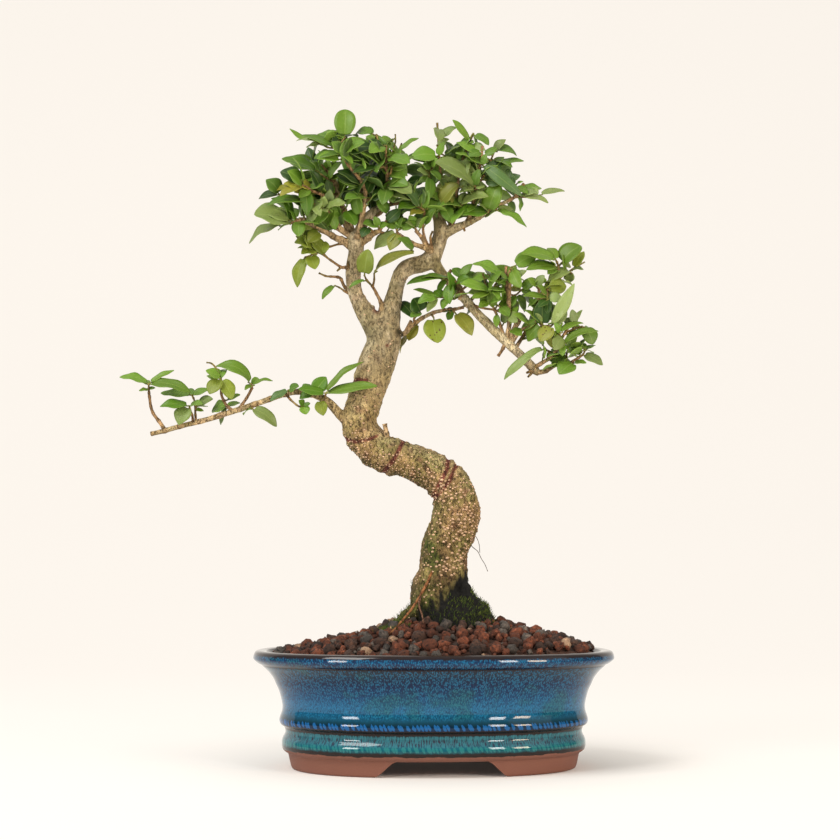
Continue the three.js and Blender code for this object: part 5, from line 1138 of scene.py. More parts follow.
def blade_points(base, length, begin, axes, width, arch, seed):
    """Points and uvs of a blade's middle surface, folded at the midrib, twisted, drooping and wavy"""
    along, up, side = axes
    wide = width >= WIDE_LEAF
    width *= 1 + WIDEN * abs(turned(1, 0, 0).dot(along))
    fold = 0.22 if wide else 0.07 + 0.16 * draw(seed + 0.21)
    twist = 0.30 * (draw(seed + 0.31) - 0.5)
    droop = 0.20 * max(0.0, draw(seed + 0.61) - 0.35)
    sweep = 0.10 * (draw(seed + 0.81) - 0.5)
    waves = 2 + 2 * draw(seed + 0.51)
    wave_size = 0.028 * length * (0.4 + draw(seed + 0.91))
    bluntness = 0.54 if wide else 0.60 + 0.2 * draw(seed + 0.71)
    points, uvs = [], []
    half_count = SPANS // 2
    for i in range(STATIONS):
        t = i / (STATIONS - 1)
        t = 0.35 * t + 0.65 * (1 - math.cos(math.pi * t)) / 2
        place = begin / length + (1 - begin / length) * t
        middle = base + along * (length * place) + up * (length * arch * 4 * place * (1 - place))
        middle += side * (length * sweep * 4 * place * (1 - place)) - up * (length * droop * place**3)
        half = width * MM / 2 * max(math.sin(math.pi * limited(place) ** 0.95), 0.0) ** bluntness
        half = max(half, THINNEST_HALF)
        turn = twist * (place - 0.4)
        across = side * math.cos(turn) + up * math.sin(turn)
        above = up * math.cos(turn) - side * math.sin(turn)
        for k in range(-half_count, half_count + 1):
            s = k / half_count
            wave = wave_size * math.sin(waves * math.pi * place + (1.3 if s > 0 else 0)) * s * s
            lift = fold * half * abs(s) ** 1.25 + wave * min(1.0, half / (width * MM / 3))
            points.append(middle + across * (half * s) + above * lift)
            uvs.append((0.5 + 0.5 * s, place))
    return points, uvs


def blade_faces():
    """Faces of a blade's top, its underside and the edge between them"""
    row = SPANS + 1
    count = STATIONS * row
    top, under = [], []
    for i in range(STATIONS - 1):
        for a in range(i * row, i * row + SPANS):
            top.append((a, a + 1, a + 1 + row, a + row))
            under.append(tuple(j + count for j in (a + row, a + 1 + row, a + 1, a)))
    rim = list(range(row))
    rim += [i * row + SPANS for i in range(1, STATIONS)]
    rim += [(STATIONS - 1) * row + k for k in range(SPANS - 1, -1, -1)]
    rim += [i * row for i in range(STATIONS - 2, 0, -1)]
    return top + under + [(a, a + count, b + count, b) for a, b in zip(rim, rim[1:] + rim[:1])]


def add_leaf(parts, root, base, tip, width, facing, tilt, arch, tone, spots, seed):
    """A thin blade from base to tip, and its stalk from root"""
    length = (tip - base).length
    along, up, side = blade_axes(base, tip, facing, tilt)
    begin = min(2.0 * MM, 0.1 * length)
    points, uvs = blade_points(base, length, begin, (along, up, side), width, arch, seed)
    out = up * (BLADE_THICKNESS / 2 * MM)
    faces = blade_faces()
    if side.cross(along).dot(up) < 0:
        faces = [face[::-1] for face in faces]
    paler = [c * 1.25 + grey for c, grey in zip(tone, (0.035, 0.035, 0.018))]
    colours = [(*tone, spots)] * len(points) + [(*paler, spots * 0.5)] * len(points)
    parts.add([p + out for p in points] + [p - out for p in points], faces, 0, colours, uvs + uvs)
    add_stalk(parts, root, base + along * begin * 1.5, up, seed)


def add_stalk(parts, start, end, up, seed):
    """The thin yellow-green stalk of one leaf"""
    line = end - start
    if line.length < 0.4 * MM:
        return
    along = line.normalized()
    across = (up - along * up.dot(along)).normalized()
    side = along.cross(across)
    verts = []
    for i in range(STALK_RINGS):
        t = i / (STALK_RINGS - 1)
        sag = across * (0.06 * line.length * math.sin(math.pi * t) * (draw(seed + 5) - 0.5))
        radius = (0.62 - 0.18 * t) * MM
        for k in range(STALK_SIDES):
            angle = FULL_TURN * k / STALK_SIDES
            out = across * math.cos(angle) + side * math.sin(angle)
            verts.append(start + line * t + sag + out * radius)
    faces = ring_faces(STALK_RINGS, STALK_SIDES) + end_faces(STALK_RINGS, STALK_SIDES)
    parts.add(verts, faces, 1, rgba(STALK_TONE))


def nearest_on_stems(point, stems):
    """The stems' nearest place to a point, and how far away it is"""
    best, best_distance = None, 1e9
    for path in stems:
        centres = [at(row) for row in path]
        for a, b in zip(centres, centres[1:]):
            line = b - a
            t = limited((point - a).dot(line) / line.length_squared)
            spot = a + line * t
            if (spot - point).length < best_distance:
                best, best_distance = spot, (spot - point).length
    return best, best_distance


def front_leaf(parts, leaf, stems, seed, choices):
    """A leaf read from the photo as base, tip and width, and perhaps its tilt and arch"""
    bx, bz, by, tx, tz, ty, width, *given = leaf
    base, tip = at((bx, bz, by)), at((tx, tz, ty))
    tilt = math.radians(given[0]) if given else math.radians(36) * (draw(seed) - 0.5)
    arch = given[1] if len(given) > 1 else 0.05 + 0.07 * draw(seed + 0.5)
    root, distance = nearest_on_stems(base, stems)
    if distance < SESSILE_DISTANCE * MM:
        base = root
    tone, spots = leaf_tone((bx + tx) / 2, (bz + tz) / 2, seed, choices)
    add_leaf(parts, root, base, tip, width, FRONT_UP, tilt, arch, tone, spots, seed)


# Where each part of the crown is full of leaves, as x and z seen from the front
CROWN_OUTLINES = {
    "left": [
        (-131, 371), (-127, 390), (-123, 412), (-110, 417), (-108, 431), (-99, 446), (-74, 450), (-60, 459),
        (-44, 450), (-29, 437), (-15, 428), (-13, 364), (-28, 364), (-30, 390), (-50, 398), (-68, 388),
        (-80, 372), (-84, 356), (-98, 341), (-101, 354), (-95, 369), (-109, 378),
    ],
    "right": [
        (-18, 435), (-6, 439), (5, 450), (16, 454), (26, 444), (41, 440), (57, 431), (62, 417), (84, 405),
        (66, 388), (48, 391), (33, 384), (16, 383), (5, 375), (-8, 380), (-18, 371), (-20, 413),
    ],
    "lower": [
        (-18, 337), (5, 347), (33, 351), (60, 349), (66, 361), (80, 363), (105, 364), (103, 333), (113, 301),
        (113, 285), (97, 274), (76, 274), (61, 290), (47, 320), (33, 328), (26, 308), (15, 317), (5, 328),
        (-15, 330),
    ],
    "branch": [
        (-216, 271), (-190, 274), (-162, 278), (-130, 278), (-121, 269), (-84, 268), (-50, 266), (-84, 246),
        (-140, 252), (-176, 242), (-190, 255),
    ],
}
# Each crown's distance between filling leaves, their length, and tries for a free place
FILL = {"left": (8.0, 16.0, 4), "right": (8.5, 14.5, 4), "lower": (12.5, 13.5, 2), "branch": (40.0, 10.0, 1)}


def inside(x, z, outline):
    """True where x, z lies in the outline"""
    within = False
    for (ax, az), (bx, bz) in zip(outline, outline[1:] + outline[:1]):
        if (az > z) != (bz > z) and x < ax + (z - az) * (bx - ax) / (bz - az):
            within = not within
    return within


def crown_of(name):
    """The crown outline that a spray belongs to"""
    if name.startswith("spray_branch"):
        return "branch"
    if name.startswith(("spray_below", "spray_behind", "spray_lower", "spray_end", "spray_back_lower")):
        return "lower"
    return "left" if "left" in name or "crotch" in name else "right"


def fill_leaf(parts, name, point, along, side, key):
    """One filling leaf beside a stem, if a try lands inside the crown's outline"""
    _, size, tries = FILL[crown_of(name)]
    outline = CROWN_OUTLINES[crown_of(name)]
    length = size * (0.7 + 0.65 * draw(key + side * 1.7)) * MM
    for attempt in range(tries):
        turn = any_angle(key + side * 0.37 + attempt * 1.9)
        spread = Vector((math.cos(turn), 0, math.sin(turn)))
        forward = 0.9 * (draw(key + side + attempt) - 0.62)
        out = (turned(spread.x, forward, spread.z) + along * 0.5).normalized()
        base = point + out * (2.5 * MM)
        tip = base + out * length
        x, z, _ = seen([tip, (base + tip) / 2])
        if all(inside(px, pz, outline) for px, pz in zip(x, z)):
            tone, spots = leaf_tone(x[1], z[1], key + side, spray_choices(name))
            facing = turned(draw(key + 2) - 0.5, draw(key + 3) - 0.9, 0.35 + 0.5 * draw(key + 4))
            width = length / MM * (0.44 + 0.14 * draw(key + 5))
            tilt = 1.0 * (draw(key + 6) - 0.5)
            add_leaf(parts, point, base, tip, width, facing, tilt, 0.07, tone, spots, key + side)
            return


def fill_leaves(parts, paths, name, seed):
    """More leaves along the stems, kept inside the crown's outline"""
    spacing = FILL[crown_of(name)][0]
    for n, path in enumerate(paths):
        points = [at(row) for row in smooth_path([row[:3] for row in path], 6)]
        travelled, due = 0.0, 0.6 * spacing * MM
        for i in range(1, len(points)):
            step = points[i] - points[i - 1]
            travelled += step.length
            if travelled < due:
                continue
            due += spacing * MM
            for side in (-1, 1):
                fill_leaf(parts, name, points[i], step.normalized(), side, seed + n * 5.3 + i * 0.77)


def spray_choices(name):
    """Tones to draw from where no place gives a leaf its own"""
    if name.startswith("spray_back") or "behind" in name:
        return BEHIND_PAINTED_SHADE
    if name.startswith("spray_branch"):
        return LEFT_BRANCH
    if name.startswith(("spray_below", "spray_lower", "spray_end")):
        return LOWER_RIGHT
    return LEFT_CROWN if "left" in name or "crotch" in name else RIGHT_CROWN


def spray_slot(name):
    """The slot of a spray's leaves"""
    if "yellow" in name:
        return "yellow_leaf"
    return "dark_leaf" if any(word in name for word in ("left", "dark", "centre")) else "fresh_leaf"


def finish_spray(parts, name, materials, bark):
    """One piece with a spray's leaves, stalks and twigs"""
    slot = spray_slot(name)
    piece = parts.piece(name + "_leaves", [materials[slot], bark])
    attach(piece, "root")
    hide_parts(name)


def make_front_sprays(materials, bark):
    for number, (name, spray) in enumerate(SPRAYS.items()):
        parts = Parts()
        stems = spray["stems"] + spray.get("side_stems", [])
        for n, path in enumerate(stems):
            add_twig(parts, path, 8, 1, number * 7 + n)
        choices = spray_choices(name)
        for i, leaf in enumerate(spray["leaves"]):
            front_leaf(parts, leaf, spray["stems"], number * 31 + i, choices)
        for i, leaf in enumerate(spray.get("small_leaves", [])):
            front_leaf(parts, leaf, stems, 2000 + number * 31 + i, choices)
        fill_leaves(parts, stems, name, 4000 + number * 97)
        finish_spray(parts, name, materials, bark)


BACK_SPRAYS = {
    "spray_back_left_outer": [
        (-59.5, 364, 1, 1.6), (-70, 371, 8, 1.4), (-86, 379, 12, 1.1), (-99, 385, 14, 0.8),
    ],
    "spray_back_left_upper": [
        (-57, 369, 2, 1.6), (-64, 382, 14, 1.4), (-76, 404, 27, 1.1), (-86, 424, 34, 0.8),
    ],
    "spray_back_left_top": [(-53, 366, 2, 1.8), (-53, 380, 9, 1.5), (-52, 403, 17, 1.2), (-50, 431, 22, 0.8)],
    "spray_back_left_inner": [
        (-49, 383, -2, 1.6), (-38, 389, 13, 1.3), (-28, 399, 23, 1), (-23, 411, 27, 0.8),
    ],
    "spray_back_right_inner": [(4, 384, 2, 1.6), (-1, 394, 13, 1.3), (-4, 405, 20, 1), (-5, 417, 23, 0.8)],
    "spray_back_right_top": [(6, 380, 3, 1.6), (12, 392, 13, 1.4), (17, 407, 19, 1.1), (19, 427, 23, 0.8)],
    "spray_back_right_outer": [(27, 383, -3, 1.5), (34, 393, 9, 1.2), (42, 403, 17, 1), (48, 413, 21, 0.8)],
    "spray_back_lower_left": [(25, 324, -5, 1.5), (30, 330, 6, 1.2), (35, 338, 12, 1), (40, 344, 16, 0.8)],
    "spray_back_lower_right": [(58, 291, -13, 1.5), (66, 304, -4, 1.2), (75, 318, 2, 1), (82, 332, 5, 0.8)],
}
PAIR_SPACING, BACK_LENGTH, BACK_WIDTH = 16.0, 18.0, 10.5


def add_leaf_pairs(parts, name, path, seed):
    """Leaves in crossed pairs along one stem"""
    line = [at(row) for row in smooth_path(path, 24)]
    reach = [0.0]
    for a, b in zip(line, line[1:]):
        reach.append(reach[-1] + (b - a).length)
    pairs = int(reach[-1] / MM // PAIR_SPACING)
    for pair in range(2, pairs + 1):
        place = 0.97 * pair / pairs * reach[-1]
        i = min(max(k for k in range(len(reach)) if reach[k] <= place), len(line) - 2)
        along = (line[i + 1] - line[i]).normalized()
        base = line[i] + along * (place - reach[i])
        out = (Vector((1, 0, 0)) - along * along.x).normalized()
        turn = pair * math.pi / 2 + 0.9 * (draw(seed + pair) - 0.5)
        out = Matrix.Rotation(turn, 3, along) @ out
        for sign in (-1, 1):
            size = 0.8 + 0.4 * draw(seed + pair * 3.7 + sign)
            direction = (out * sign + along * 0.55).normalized()
            tip = base + direction * (BACK_LENGTH * size * MM)
            tilt = 0.7 * (draw(seed * 2 + pair + sign) - 0.5)
            x, z, _ = seen([(base + tip) / 2])
            key = seed + pair + sign * 0.3
            tone, spots = leaf_tone(float(x[0]), float(z[0]), key, spray_choices(name))
            width = BACK_WIDTH * size
            add_leaf(parts, base, base, tip, width, BACK_UP, tilt, 0.08, tone, spots, seed + pair)


def make_back_sprays(materials, bark):
    for number, (name, path) in enumerate(BACK_SPRAYS.items()):
        parts = Parts()
        add_twig(parts, path, 8, 1, 900 + number)
        fill_leaves(parts, [path], name, 8000 + number * 97)
        add_leaf_pairs(parts, name, path, 500 + number * 17)
        finish_spray(parts, name, materials, bark)


# Leafy shoots: stems as x, z, depth and radius; leaves as base, tip, width, tilt in degrees and arch
SPRAYS = {
    "spray_left_outer": {
        "stems": [
            [(-60, 367, -4, 3.2), (-66, 369.5, -6, 2.6), (-72, 372.5, -9, 2.2), (-79, 376.5, -13, 1.9),
             (-86, 380.5, -17, 1.8), (-92, 383.5, -20, 2), (-96, 384, -21, 1.8)],
            [(-94, 383.7, -21, 1.2), (-98, 383, -22, 1), (-101.5, 381.5, -22, 0.8)],
        ],
        "side_stems": [[(-97, 383.2, -21.5, 0.8), (-100, 389, -20, 0.6)]],
        "leaves": [
            (-101.5, 381.5, -22, -128, 388, -31, 19, 0), (-107, 380.5, -18, -132.5, 370, -20, 11.5),
            (-95, 382, -22, -96, 372, -27, 10, 0),
        ],
        "small_leaves": [
            (-99, 381, -18, -110.5, 376.5, -13, 8), (-100, 388, -20, -107.5, 396, -21, 4.5),
            (-99, 384, -23, -102.5, 391, -26, 3.5),
        ],
    },
    "spray_left_bright": {
        "stems": [
            [(-59.5, 372.4, -6, 2), (-65, 376.5, -9, 1.9), (-69, 382, -12, 1.6), (-72, 387, -14, 1.4),
             (-76, 391, -16, 1.2)],
            [(-75, 390, -16, 1.1), (-79, 392.6, -19, 0.9), (-84, 395.3, -22, 0.7), (-88, 396, -23, 0.6)],
        ],
        "leaves": [
            (-88, 396, -23, -118.5, 397.5, -33, 10), (-76, 389, -17, -85, 381, -26, 6.5),
            (-76.5, 391.5, -19, -65, 396.5, -27, 6),
        ],
        "small_leaves": [
            (-80, 391.5, -19, -91, 387.5, -22, 7.5), (-83, 393.5, -23, -89.5, 391.5, -27, 4.5),
            (-74, 388, -13, -69.5, 377, -14, 7), (-78.5, 392, -21, -83, 398, -26, 3),
        ],
    },
    "spray_left_dark": {
        "stems": [
            [(-57, 372, -2, 3.2), (-60, 380, -2, 2.6), (-64, 391, -2, 2.2), (-67.5, 400, -2, 1.9),
             (-69.5, 409, -2, 1.8), (-72.5, 415.5, -3, 1.6), (-76, 419.5, -4, 1), (-80, 424.5, -4, 0.6)],
            [(-65, 393, -2, 1.6), (-70, 397, -10, 1.3), (-78, 401.5, -18, 1.1), (-85, 404.5, -23, 1),
             (-92, 407.5, -26, 0.9)],
            [(-88, 406, -24.5, 1), (-93.5, 408.6, -27, 0.9), (-103, 405, -22, 0.7),
             (-110, 402.5, -20, 0.6)],
            [(-71, 412, -3, 1.1), (-75, 413.5, -7, 0.8), (-80, 417, -9, 0.7), (-83, 419.5, -9, 0.6)],
            [(-68.3, 403, -2.5, 1), (-71.5, 402.5, -9, 0.7)],
            [(-64.3, 391.5, -2.5, 1), (-63.5, 391.3, -9, 0.8), (-62.5, 391, -12, 0.7)],
        ],
        "leaves": [
            (-92.5, 408.3, -28, -109.5, 401.5, -35, 9.5, 10), (-92.5, 409.5, -28, -107, 410.5, -31, 5),
            (-92, 411.5, -29, -103.5, 420, -36, 10.5), (-93, 413, -24, -109.5, 419, -26, 11),
            (-98, 409, -23, -113.5, 407, -20, 6), (-110, 402.5, -20, -119.5, 413.5, -22, 11.5, 0),
            (-110, 402.5, -19, -125, 400, -17, 7), (-83, 419.5, -9, -108.5, 428.5, -14, 11.5, 0),
            (-72, 415, -10, -66, 426.5, -15, 10.5), (-76, 413, -9, -92, 412, -15, 5),
            (-71.5, 402.5, -10, -89.5, 398.5, -17, 6.5), (-62.5, 391, -12, -55.3, 381, -17, 10.5, 0),
        ],
        "small_leaves": [
            (-88, 405, -26, -96, 400.5, -32, 6.5), (-89, 407, -22, -78, 411, -24, 7.5),
            (-80, 418.5, -10, -88, 427.5, -15, 7.5), (-71.5, 404, -10, -74, 410, -13, 4),
            (-76, 415, -5, -84, 419.5, -2, 5), (-71.5, 401.5, -9, -80, 405.5, -12, 5),
            (-75, 416, -3, -76, 427, 2, 7),
        ],
    },
    "spray_left_top": {
        "stems": [
            [(-54.5, 371, -8, 2.4), (-52, 379, -13, 1.9), (-50.3, 389, -17, 1.7), (-48.7, 399, -20, 1.5),
             (-48.8, 404, -21, 1.3), (-50.5, 410, -23, 1.2), (-53.5, 415, -25, 1.1), (-57, 419, -27, 1),
             (-61, 424, -29, 0.9), (-65, 430, -30, 0.8)],
            [(-48.5, 397, -19.5, 1), (-43, 400.5, -19, 0.8), (-37.5, 403.5, -18, 0.6)],
            [(-63, 427, -29.6, 0.9), (-66, 432.5, -29, 0.8), (-68.5, 436.5, -26, 0.7),
             (-66, 440, -20, 0.7), (-63.5, 444, -17, 0.7)],
            [(-68.5, 436.5, -26, 0.7), (-76, 437, -21, 0.6), (-84, 442.7, -17, 0.5)],
            [(-50, 409, -22.5, 0.9), (-52.5, 409.5, -19, 0.7)],
            [(-49, 406, -21.5, 0.8), (-51.5, 404.5, -15, 0.7)],
        ],
        "leaves": [
            (-66.5, 431, -30, -85.5, 430, -33, 9), (-61.5, 433.5, -28, -72, 441.5, -33, 10.5),
            (-71.5, 436.8, -26, -94.5, 446.5, -29, 8), (-84, 442.7, -17, -103, 450.5, -14, 4, 0, -0.16),
            (-63.5, 444, -17, -63.2, 465, -12, 15.5, 0), (-62.5, 443, -16, -54, 446, -3, 7),
            (-65, 441, -18, -70, 449.5, -8, 7), (-52, 410.3, -19, -67.5, 413, -23, 10.5, 0),
            (-51.5, 404.5, -15, -66, 404.5, -12, 7),
        ],
        "small_leaves": [
            (-66, 429.5, -28, -76, 429, -26, 5), (-79.5, 437.5, -19, -91, 437, -16, 4.5),
            (-67, 445, -17, -78.5, 448.5, -14, 5), (-66, 432.5, -29, -58, 424.5, -34, 6),
            (-52.5, 409, -19, -61, 406, -22, 6.5), (-51.5, 404.5, -14, -58, 397, -9, 7),
        ],
    },
    "spray_left_inner": {
        "stems": [
            [(-39, 392.5, -5, 2), (-35, 401, -9, 1.6), (-32.8, 410, -13, 1.4), (-33, 418, -16, 1.2),
             (-34, 428, -19, 0.9), (-33.5, 438.5, -21, 0.7)],
            [(-33, 417, -15.5, 0.9), (-31.5, 426, -14, 0.8), (-29, 434, -12, 0.6), (-27, 441, -11, 0.5),
             (-27.2, 446.5, -10, 0.5)],
            [(-30.5, 429, -13.5, 0.7), (-26, 432.5, -10, 0.7), (-22.5, 440, -9, 0.5)],
            [(-34, 427, -19, 0.8), (-38, 437, -17, 0.7), (-40.8, 446.5, -15, 0.6)],
            [(-33.7, 420, -16.8, 0.9), (-35.5, 423, -21, 0.8), (-40, 421, -23, 0.6),
             (-45.5, 421.5, -23, 0.6)],
            [(-40.4, 444.6, -15.4, 0.8), (-43, 446.5, -13, 0.6)],
            [(-33, 415, -15, 1), (-31, 417, -17, 0.8), (-30, 421, -18, 0.7), (-31, 430, -15, 0.6)],
            [(-26.2, 432.3, -10, 0.8), (-24.3, 434, -10, 0.6)],
            [(-33, 411, -13.5, 1.1), (-35, 411.8, -11, 0.9), (-38, 413, -8, 0.7)],
            [(-33.5, 407, -11.8, 1.1), (-33.5, 408, -16, 0.9), (-31, 409.5, -18, 0.7)],
        ],
        "side_stems": [[(-38.5, 438.5, -16.8, 0.7), (-37, 438.5, -13, 0.6)]],
        "leaves": [
            (-35.5, 424, -21.5, -63, 442.5, -25, 13.5, 0), (-45.5, 421.5, -23, -61, 430.5, -26, 10.5),
            (-36.5, 420.5, -23, -57.5, 418.5, -35, 5.5), (-43, 446.5, -13, -55.5, 448.5, -10, 8, 0),
            (-30.5, 422.5, -18.5, -14, 430, -22, 5.5), (-24.3, 434, -10, -10.5, 443.7, -9, 3.8, 0),
            (-35, 412, -11, -50.5, 412.5, -12, 14.5, 8), (-36, 412, -9, -46, 403, -4, 8),
            (-34, 407.5, -17, -42.5, 398, -24, 9, 0), (-33, 407.5, -17, -28.5, 396.5, -21, 8.5, 0),
            (-31, 410, -18.5, -24.5, 413.5, -23, 6, 0), (-31, 409.5, -17, -17, 406.5, -14, 5),
        ],
        "small_leaves": [
            (-37, 421, -20, -42.5, 427, -18, 5.5), (-34, 424, -22, -26, 426, -28, 5),
            (-39.8, 441, -15, -38, 446, -12, 3.5), (-37, 438.5, -13, -30, 439.5, -15, 6),
            (-42, 446, -14, -48, 440, -19, 5), (-43, 447, -12, -50, 452, -6, 6),
            (-31.2, 415.7, -18, -20, 414.5, -24, 7.5), (-29.8, 420.5, -17, -19.5, 422.5, -15, 8.5),
            (-30.5, 432, -14, -23, 430, -12, 5), (-30.8, 418, -16, -24, 412, -12, 6),
            (-31, 430, -14, -36, 434, -9, 6), (-24.5, 434, -9.5, -19, 431, -6, 4),
            (-38, 413, -8, -48, 421, -4, 9), (-30.8, 409.5, -18, -26.5, 405.5, -21, 4.5),
        ],
    },
    "spray_left_low": {
        "stems": [
            [(-52, 367, -5, 3), (-46, 371.5, -7, 2.4), (-41, 375, -9, 1.9), (-37.5, 376, -10, 1.5)],
            [(-38, 375.5, -9, 0.9), (-33, 374.5, -6, 0.7), (-29.5, 376.5, -4, 0.5)],
            [(-38, 376, -9.5, 1), (-35.5, 380.5, -9, 0.9), (-31.5, 385.5, -9, 0.8), (-26, 390, -9, 0.7)],
            [(-37.8, 375.8, -10, 1), (-39, 379, -12, 0.8)],
            [(-42, 374.4, -8.8, 1), (-46, 378.5, -13, 0.7)],
        ],
        "leaves": [
            (-38.8, 379, -12, -50, 381.3, -18, 9, 0), (-46, 378.5, -13, -51, 371.8, -17, 7, 0),
            (-39, 378.5, -11, -32, 381, -13, 6), (-39, 379, -12, -42, 386.5, -16, 6),
        ],
    },
    "spray_left_yellow": {
        "stems": [
            [(-57, 346, -4, 1.6), (-62, 349.5, -7, 1.3), (-66, 350, -9, 1), (-72.5, 354.5, -11, 0.8),
             (-79.5, 359.5, -13, 0.7)],
            [(-78, 358.6, -12.6, 0.8), (-82, 361.3, -14.5, 0.7), (-86, 364.5, -16, 0.6)],
            [(-81, 360.7, -14, 0.7), (-87, 358.5, -15, 0.6), (-91.5, 357, -15, 0.6)],
        ],
        "side_stems": [[(-65.5, 350, -9, 0.8), (-68.5, 347, -10, 0.6)]],
        "leaves": [
            (-86, 364.5, -16, -98.5, 368.5, -21, 11, 0), (-84.5, 364.5, -15, -90.5, 377, -13, 9),
            (-83, 361, -16, -94, 359.5, -21, 8.5, 0), (-79.8, 360.5, -12.5, -76.8, 369, -10, 8.5, 0),
            (-91.5, 357, -15, -96.7, 335.3, -17, 8.5, 0, 0.12), (-88, 358, -16, -84, 348.5, -20, 9.5, 0),
        ],
        "small_leaves": [(-91.5, 356, -14, -92.5, 347.5, -12, 4)],
    },
    "spray_left_curl": {
        "stems": [
            [(-60, 331, -1, 1), (-64, 333, -3, 0.8)],
            [(-63.3, 332.8, -2.7, 0.7), (-67, 335.2, -4, 0.6), (-70, 336.6, -5, 0.5)],
        ],
        "leaves": [(-70, 336.6, -5, -79, 326.8, -8, 4.6, 0, 0.2)],
    },
    "spray_crotch": {
        "stems": [
            [(-36, 316, 0, 2.4), (-37.5, 325, -2, 1.4), (-40.5, 331, -4, 1.1), (-43.5, 336.5, -6, 1)],
            [(-43, 335.5, -5.8, 0.9), (-42, 341, -8, 0.7), (-42, 345.5, -12, 0.6)],
            [(-43.2, 336, -5.8, 0.8), (-47.3, 340.5, -9, 0.7), (-49, 344, -12, 0.6)],
            [(-43.3, 336.2, -5.8, 0.6), (-48, 340.2, -13, 0.5)],
        ],
        "leaves": [
            (-49, 344, -12, -47, 362.3, -20, 12.5, 0), (-42, 345.5, -12, -15, 361.5, -27, 12.5, -10),
            (-48, 340.2, -13, -60, 335.7, -16, 3, 0, 0.16),
        ],
    },
    "spray_centre": {
        "stems": [
            [(-1, 361, -3, 2.6), (-8, 364.5, -6, 1.8), (-15, 367, -8, 1.7), (-20, 370.3, -10, 1.6),
             (-24.5, 373.2, -11, 1.4)],
            [(-4, 362, -5, 1.8), (-8, 371, -9, 1.4), (-12.5, 376.3, -11, 1.2)],
            [(-2.5, 363, -5, 1.4), (-6.5, 372, -9, 1), (-7.2, 383, -11, 0.9), (-5.5, 389.5, -12, 0.8)],
            [(-1, 363, -4.5, 1.2), (-2, 371, -8, 0.8), (-0.3, 376, -9, 0.7)],
            [(-23, 372.3, -10.7, 1.1), (-25.3, 374.5, -12, 0.9), (-26, 377, -11, 0.7)],
            [(-21, 370.9, -10.2, 1), (-19, 366, -13, 0.7), (-14, 361, -15, 0.6)],
            [(-6, 387.5, -11.8, 0.9), (-7, 391.5, -14, 0.8), (-12, 394, -15, 0.7), (-15, 398, -15, 0.6)],
        ],
        "side_stems": [
            [(-7.2, 381, -10.5, 0.8), (-9.5, 381, -7, 0.6)],
            [(-11.6, 375.2, -10.8, 0.9), (-13, 378.5, -12, 0.7)],
        ],
        "leaves": [
            (-25.7, 374.5, -13, -31, 362, -16, 9.5, 0), (-25.5, 374.5, -11, -43, 364, -8, 10.5),
            (-14, 361, -15, -24.5, 371.5, -20, 9.5, 10), (-14, 360.5, -15, -23.5, 357.5, -18, 3.6, 0),
            (-26, 377, -11, -21.5, 385.8, -15, 3.8, 0), (-7.3, 389, -15, -16.5, 387.5, -22, 6.5, 0),
            (-12.5, 393.8, -16, -25, 392, -22, 9, 0), (-8.5, 391.5, -13, -23, 389, -12, 6),
            (-6.5, 392, -14, -3.5, 405.5, -18, 8), (-9.5, 394.5, -15, -20.5, 405, -22, 8.5),
            (-15, 398.8, -16, -28.5, 402.2, -26, 7.5, 0), (-15, 398.5, -13, -19.5, 412, -8, 9),
        ],
        "small_leaves": [
            (-26, 377, -10, -33.5, 384.5, -6, 8), (-26, 376.5, -10, -19, 386, -6, 8),
            (-9.5, 381, -7, -21, 380.5, -3, 8), (-15, 398.5, -14, -10, 407.5, -12, 7),
            (-13, 378.5, -12, -8, 385, -17, 5), (-13, 378.5, -12, -19, 383, -16, 6),
        ],
    },
    "spray_right_stick": {
        "stems": [
            [(5, 384, 2, 2), (6.5, 396, 3, 1.4), (6, 408, 1, 1.1), (5, 420, -2, 0.9), (4, 436, -5, 0.8),
             (3, 455, -8, 0.7)],
            [(6.4, 398, 3, 1.1), (0.5, 403, -1, 0.9), (-1, 408, -4, 0.9), (-1.7, 417, -6, 0.8),
             (-2.2, 427, -7, 0.7)],
            [(-1.5, 414, -5.6, 0.8), (-3, 416, -9, 0.7), (-1, 422, -10, 0.6)],
            [(4.4, 430, -4, 0.9), (3.5, 430.5, -8, 0.7)], [(4, 437, -5.2, 0.7), (2.5, 438.5, -7, 0.6)],
            [(6.2, 404, 1.8, 1.1), (5.6, 402, -5, 0.9), (5, 396, -9, 0.7)],
        ],
        "side_stems": [[(4.2, 433, -4.6, 0.7), (8, 431, -3, 0.6)]],
        "leaves": [
            (-3, 416.5, -9, -11.5, 420.5, -12, 7.5, 0), (3.5, 430.5, -8, -15.5, 430.3, -12, 10.5, -20),
            (2.5, 438.5, -7, 11.5, 443, -9, 5, 0), (5, 396, -9, 16.8, 411, -15, 13, 0),
        ],
        "small_leaves": [
            (-1.3, 421, -10, -7.5, 424.5, -12, 5), (-2, 415, -8, -10.5, 411, -9, 5),
            (-1, 420, -10, 5, 413, -14, 6), (-1, 422, -10, 3, 429, -13, 5),
            (3.3, 431, -8, 8.5, 441, -12, 6.5), (8, 431, -3, 14, 432.5, -4, 4.5),
            (8, 431, -3, 18, 433, 4, 7), (5.3, 398, -8, -1, 392.5, -12, 6),
            (5.6, 401, -6, 9.5, 392, -10, 6), (5.2, 398, -8, -2, 404, -10, 7),
        ],
    },
    "spray_right_top": {
        "stems": [
            [(11, 376, 0, 2), (13.5, 385, 3, 1.7), (15.5, 396, 5, 1.3), (17.5, 410, 4, 1.1),
             (19.5, 420, 1, 1), (21.5, 428.5, -3, 0.9), (25, 437, -6, 0.8), (29, 447.5, -9, 0.6)],
            [(25.5, 438.3, -6.3, 0.8), (25.8, 441, -7.5, 0.7)],
            [(28.6, 446.3, -8.8, 0.6), (29, 446.3, -10, 0.5)],
        ],
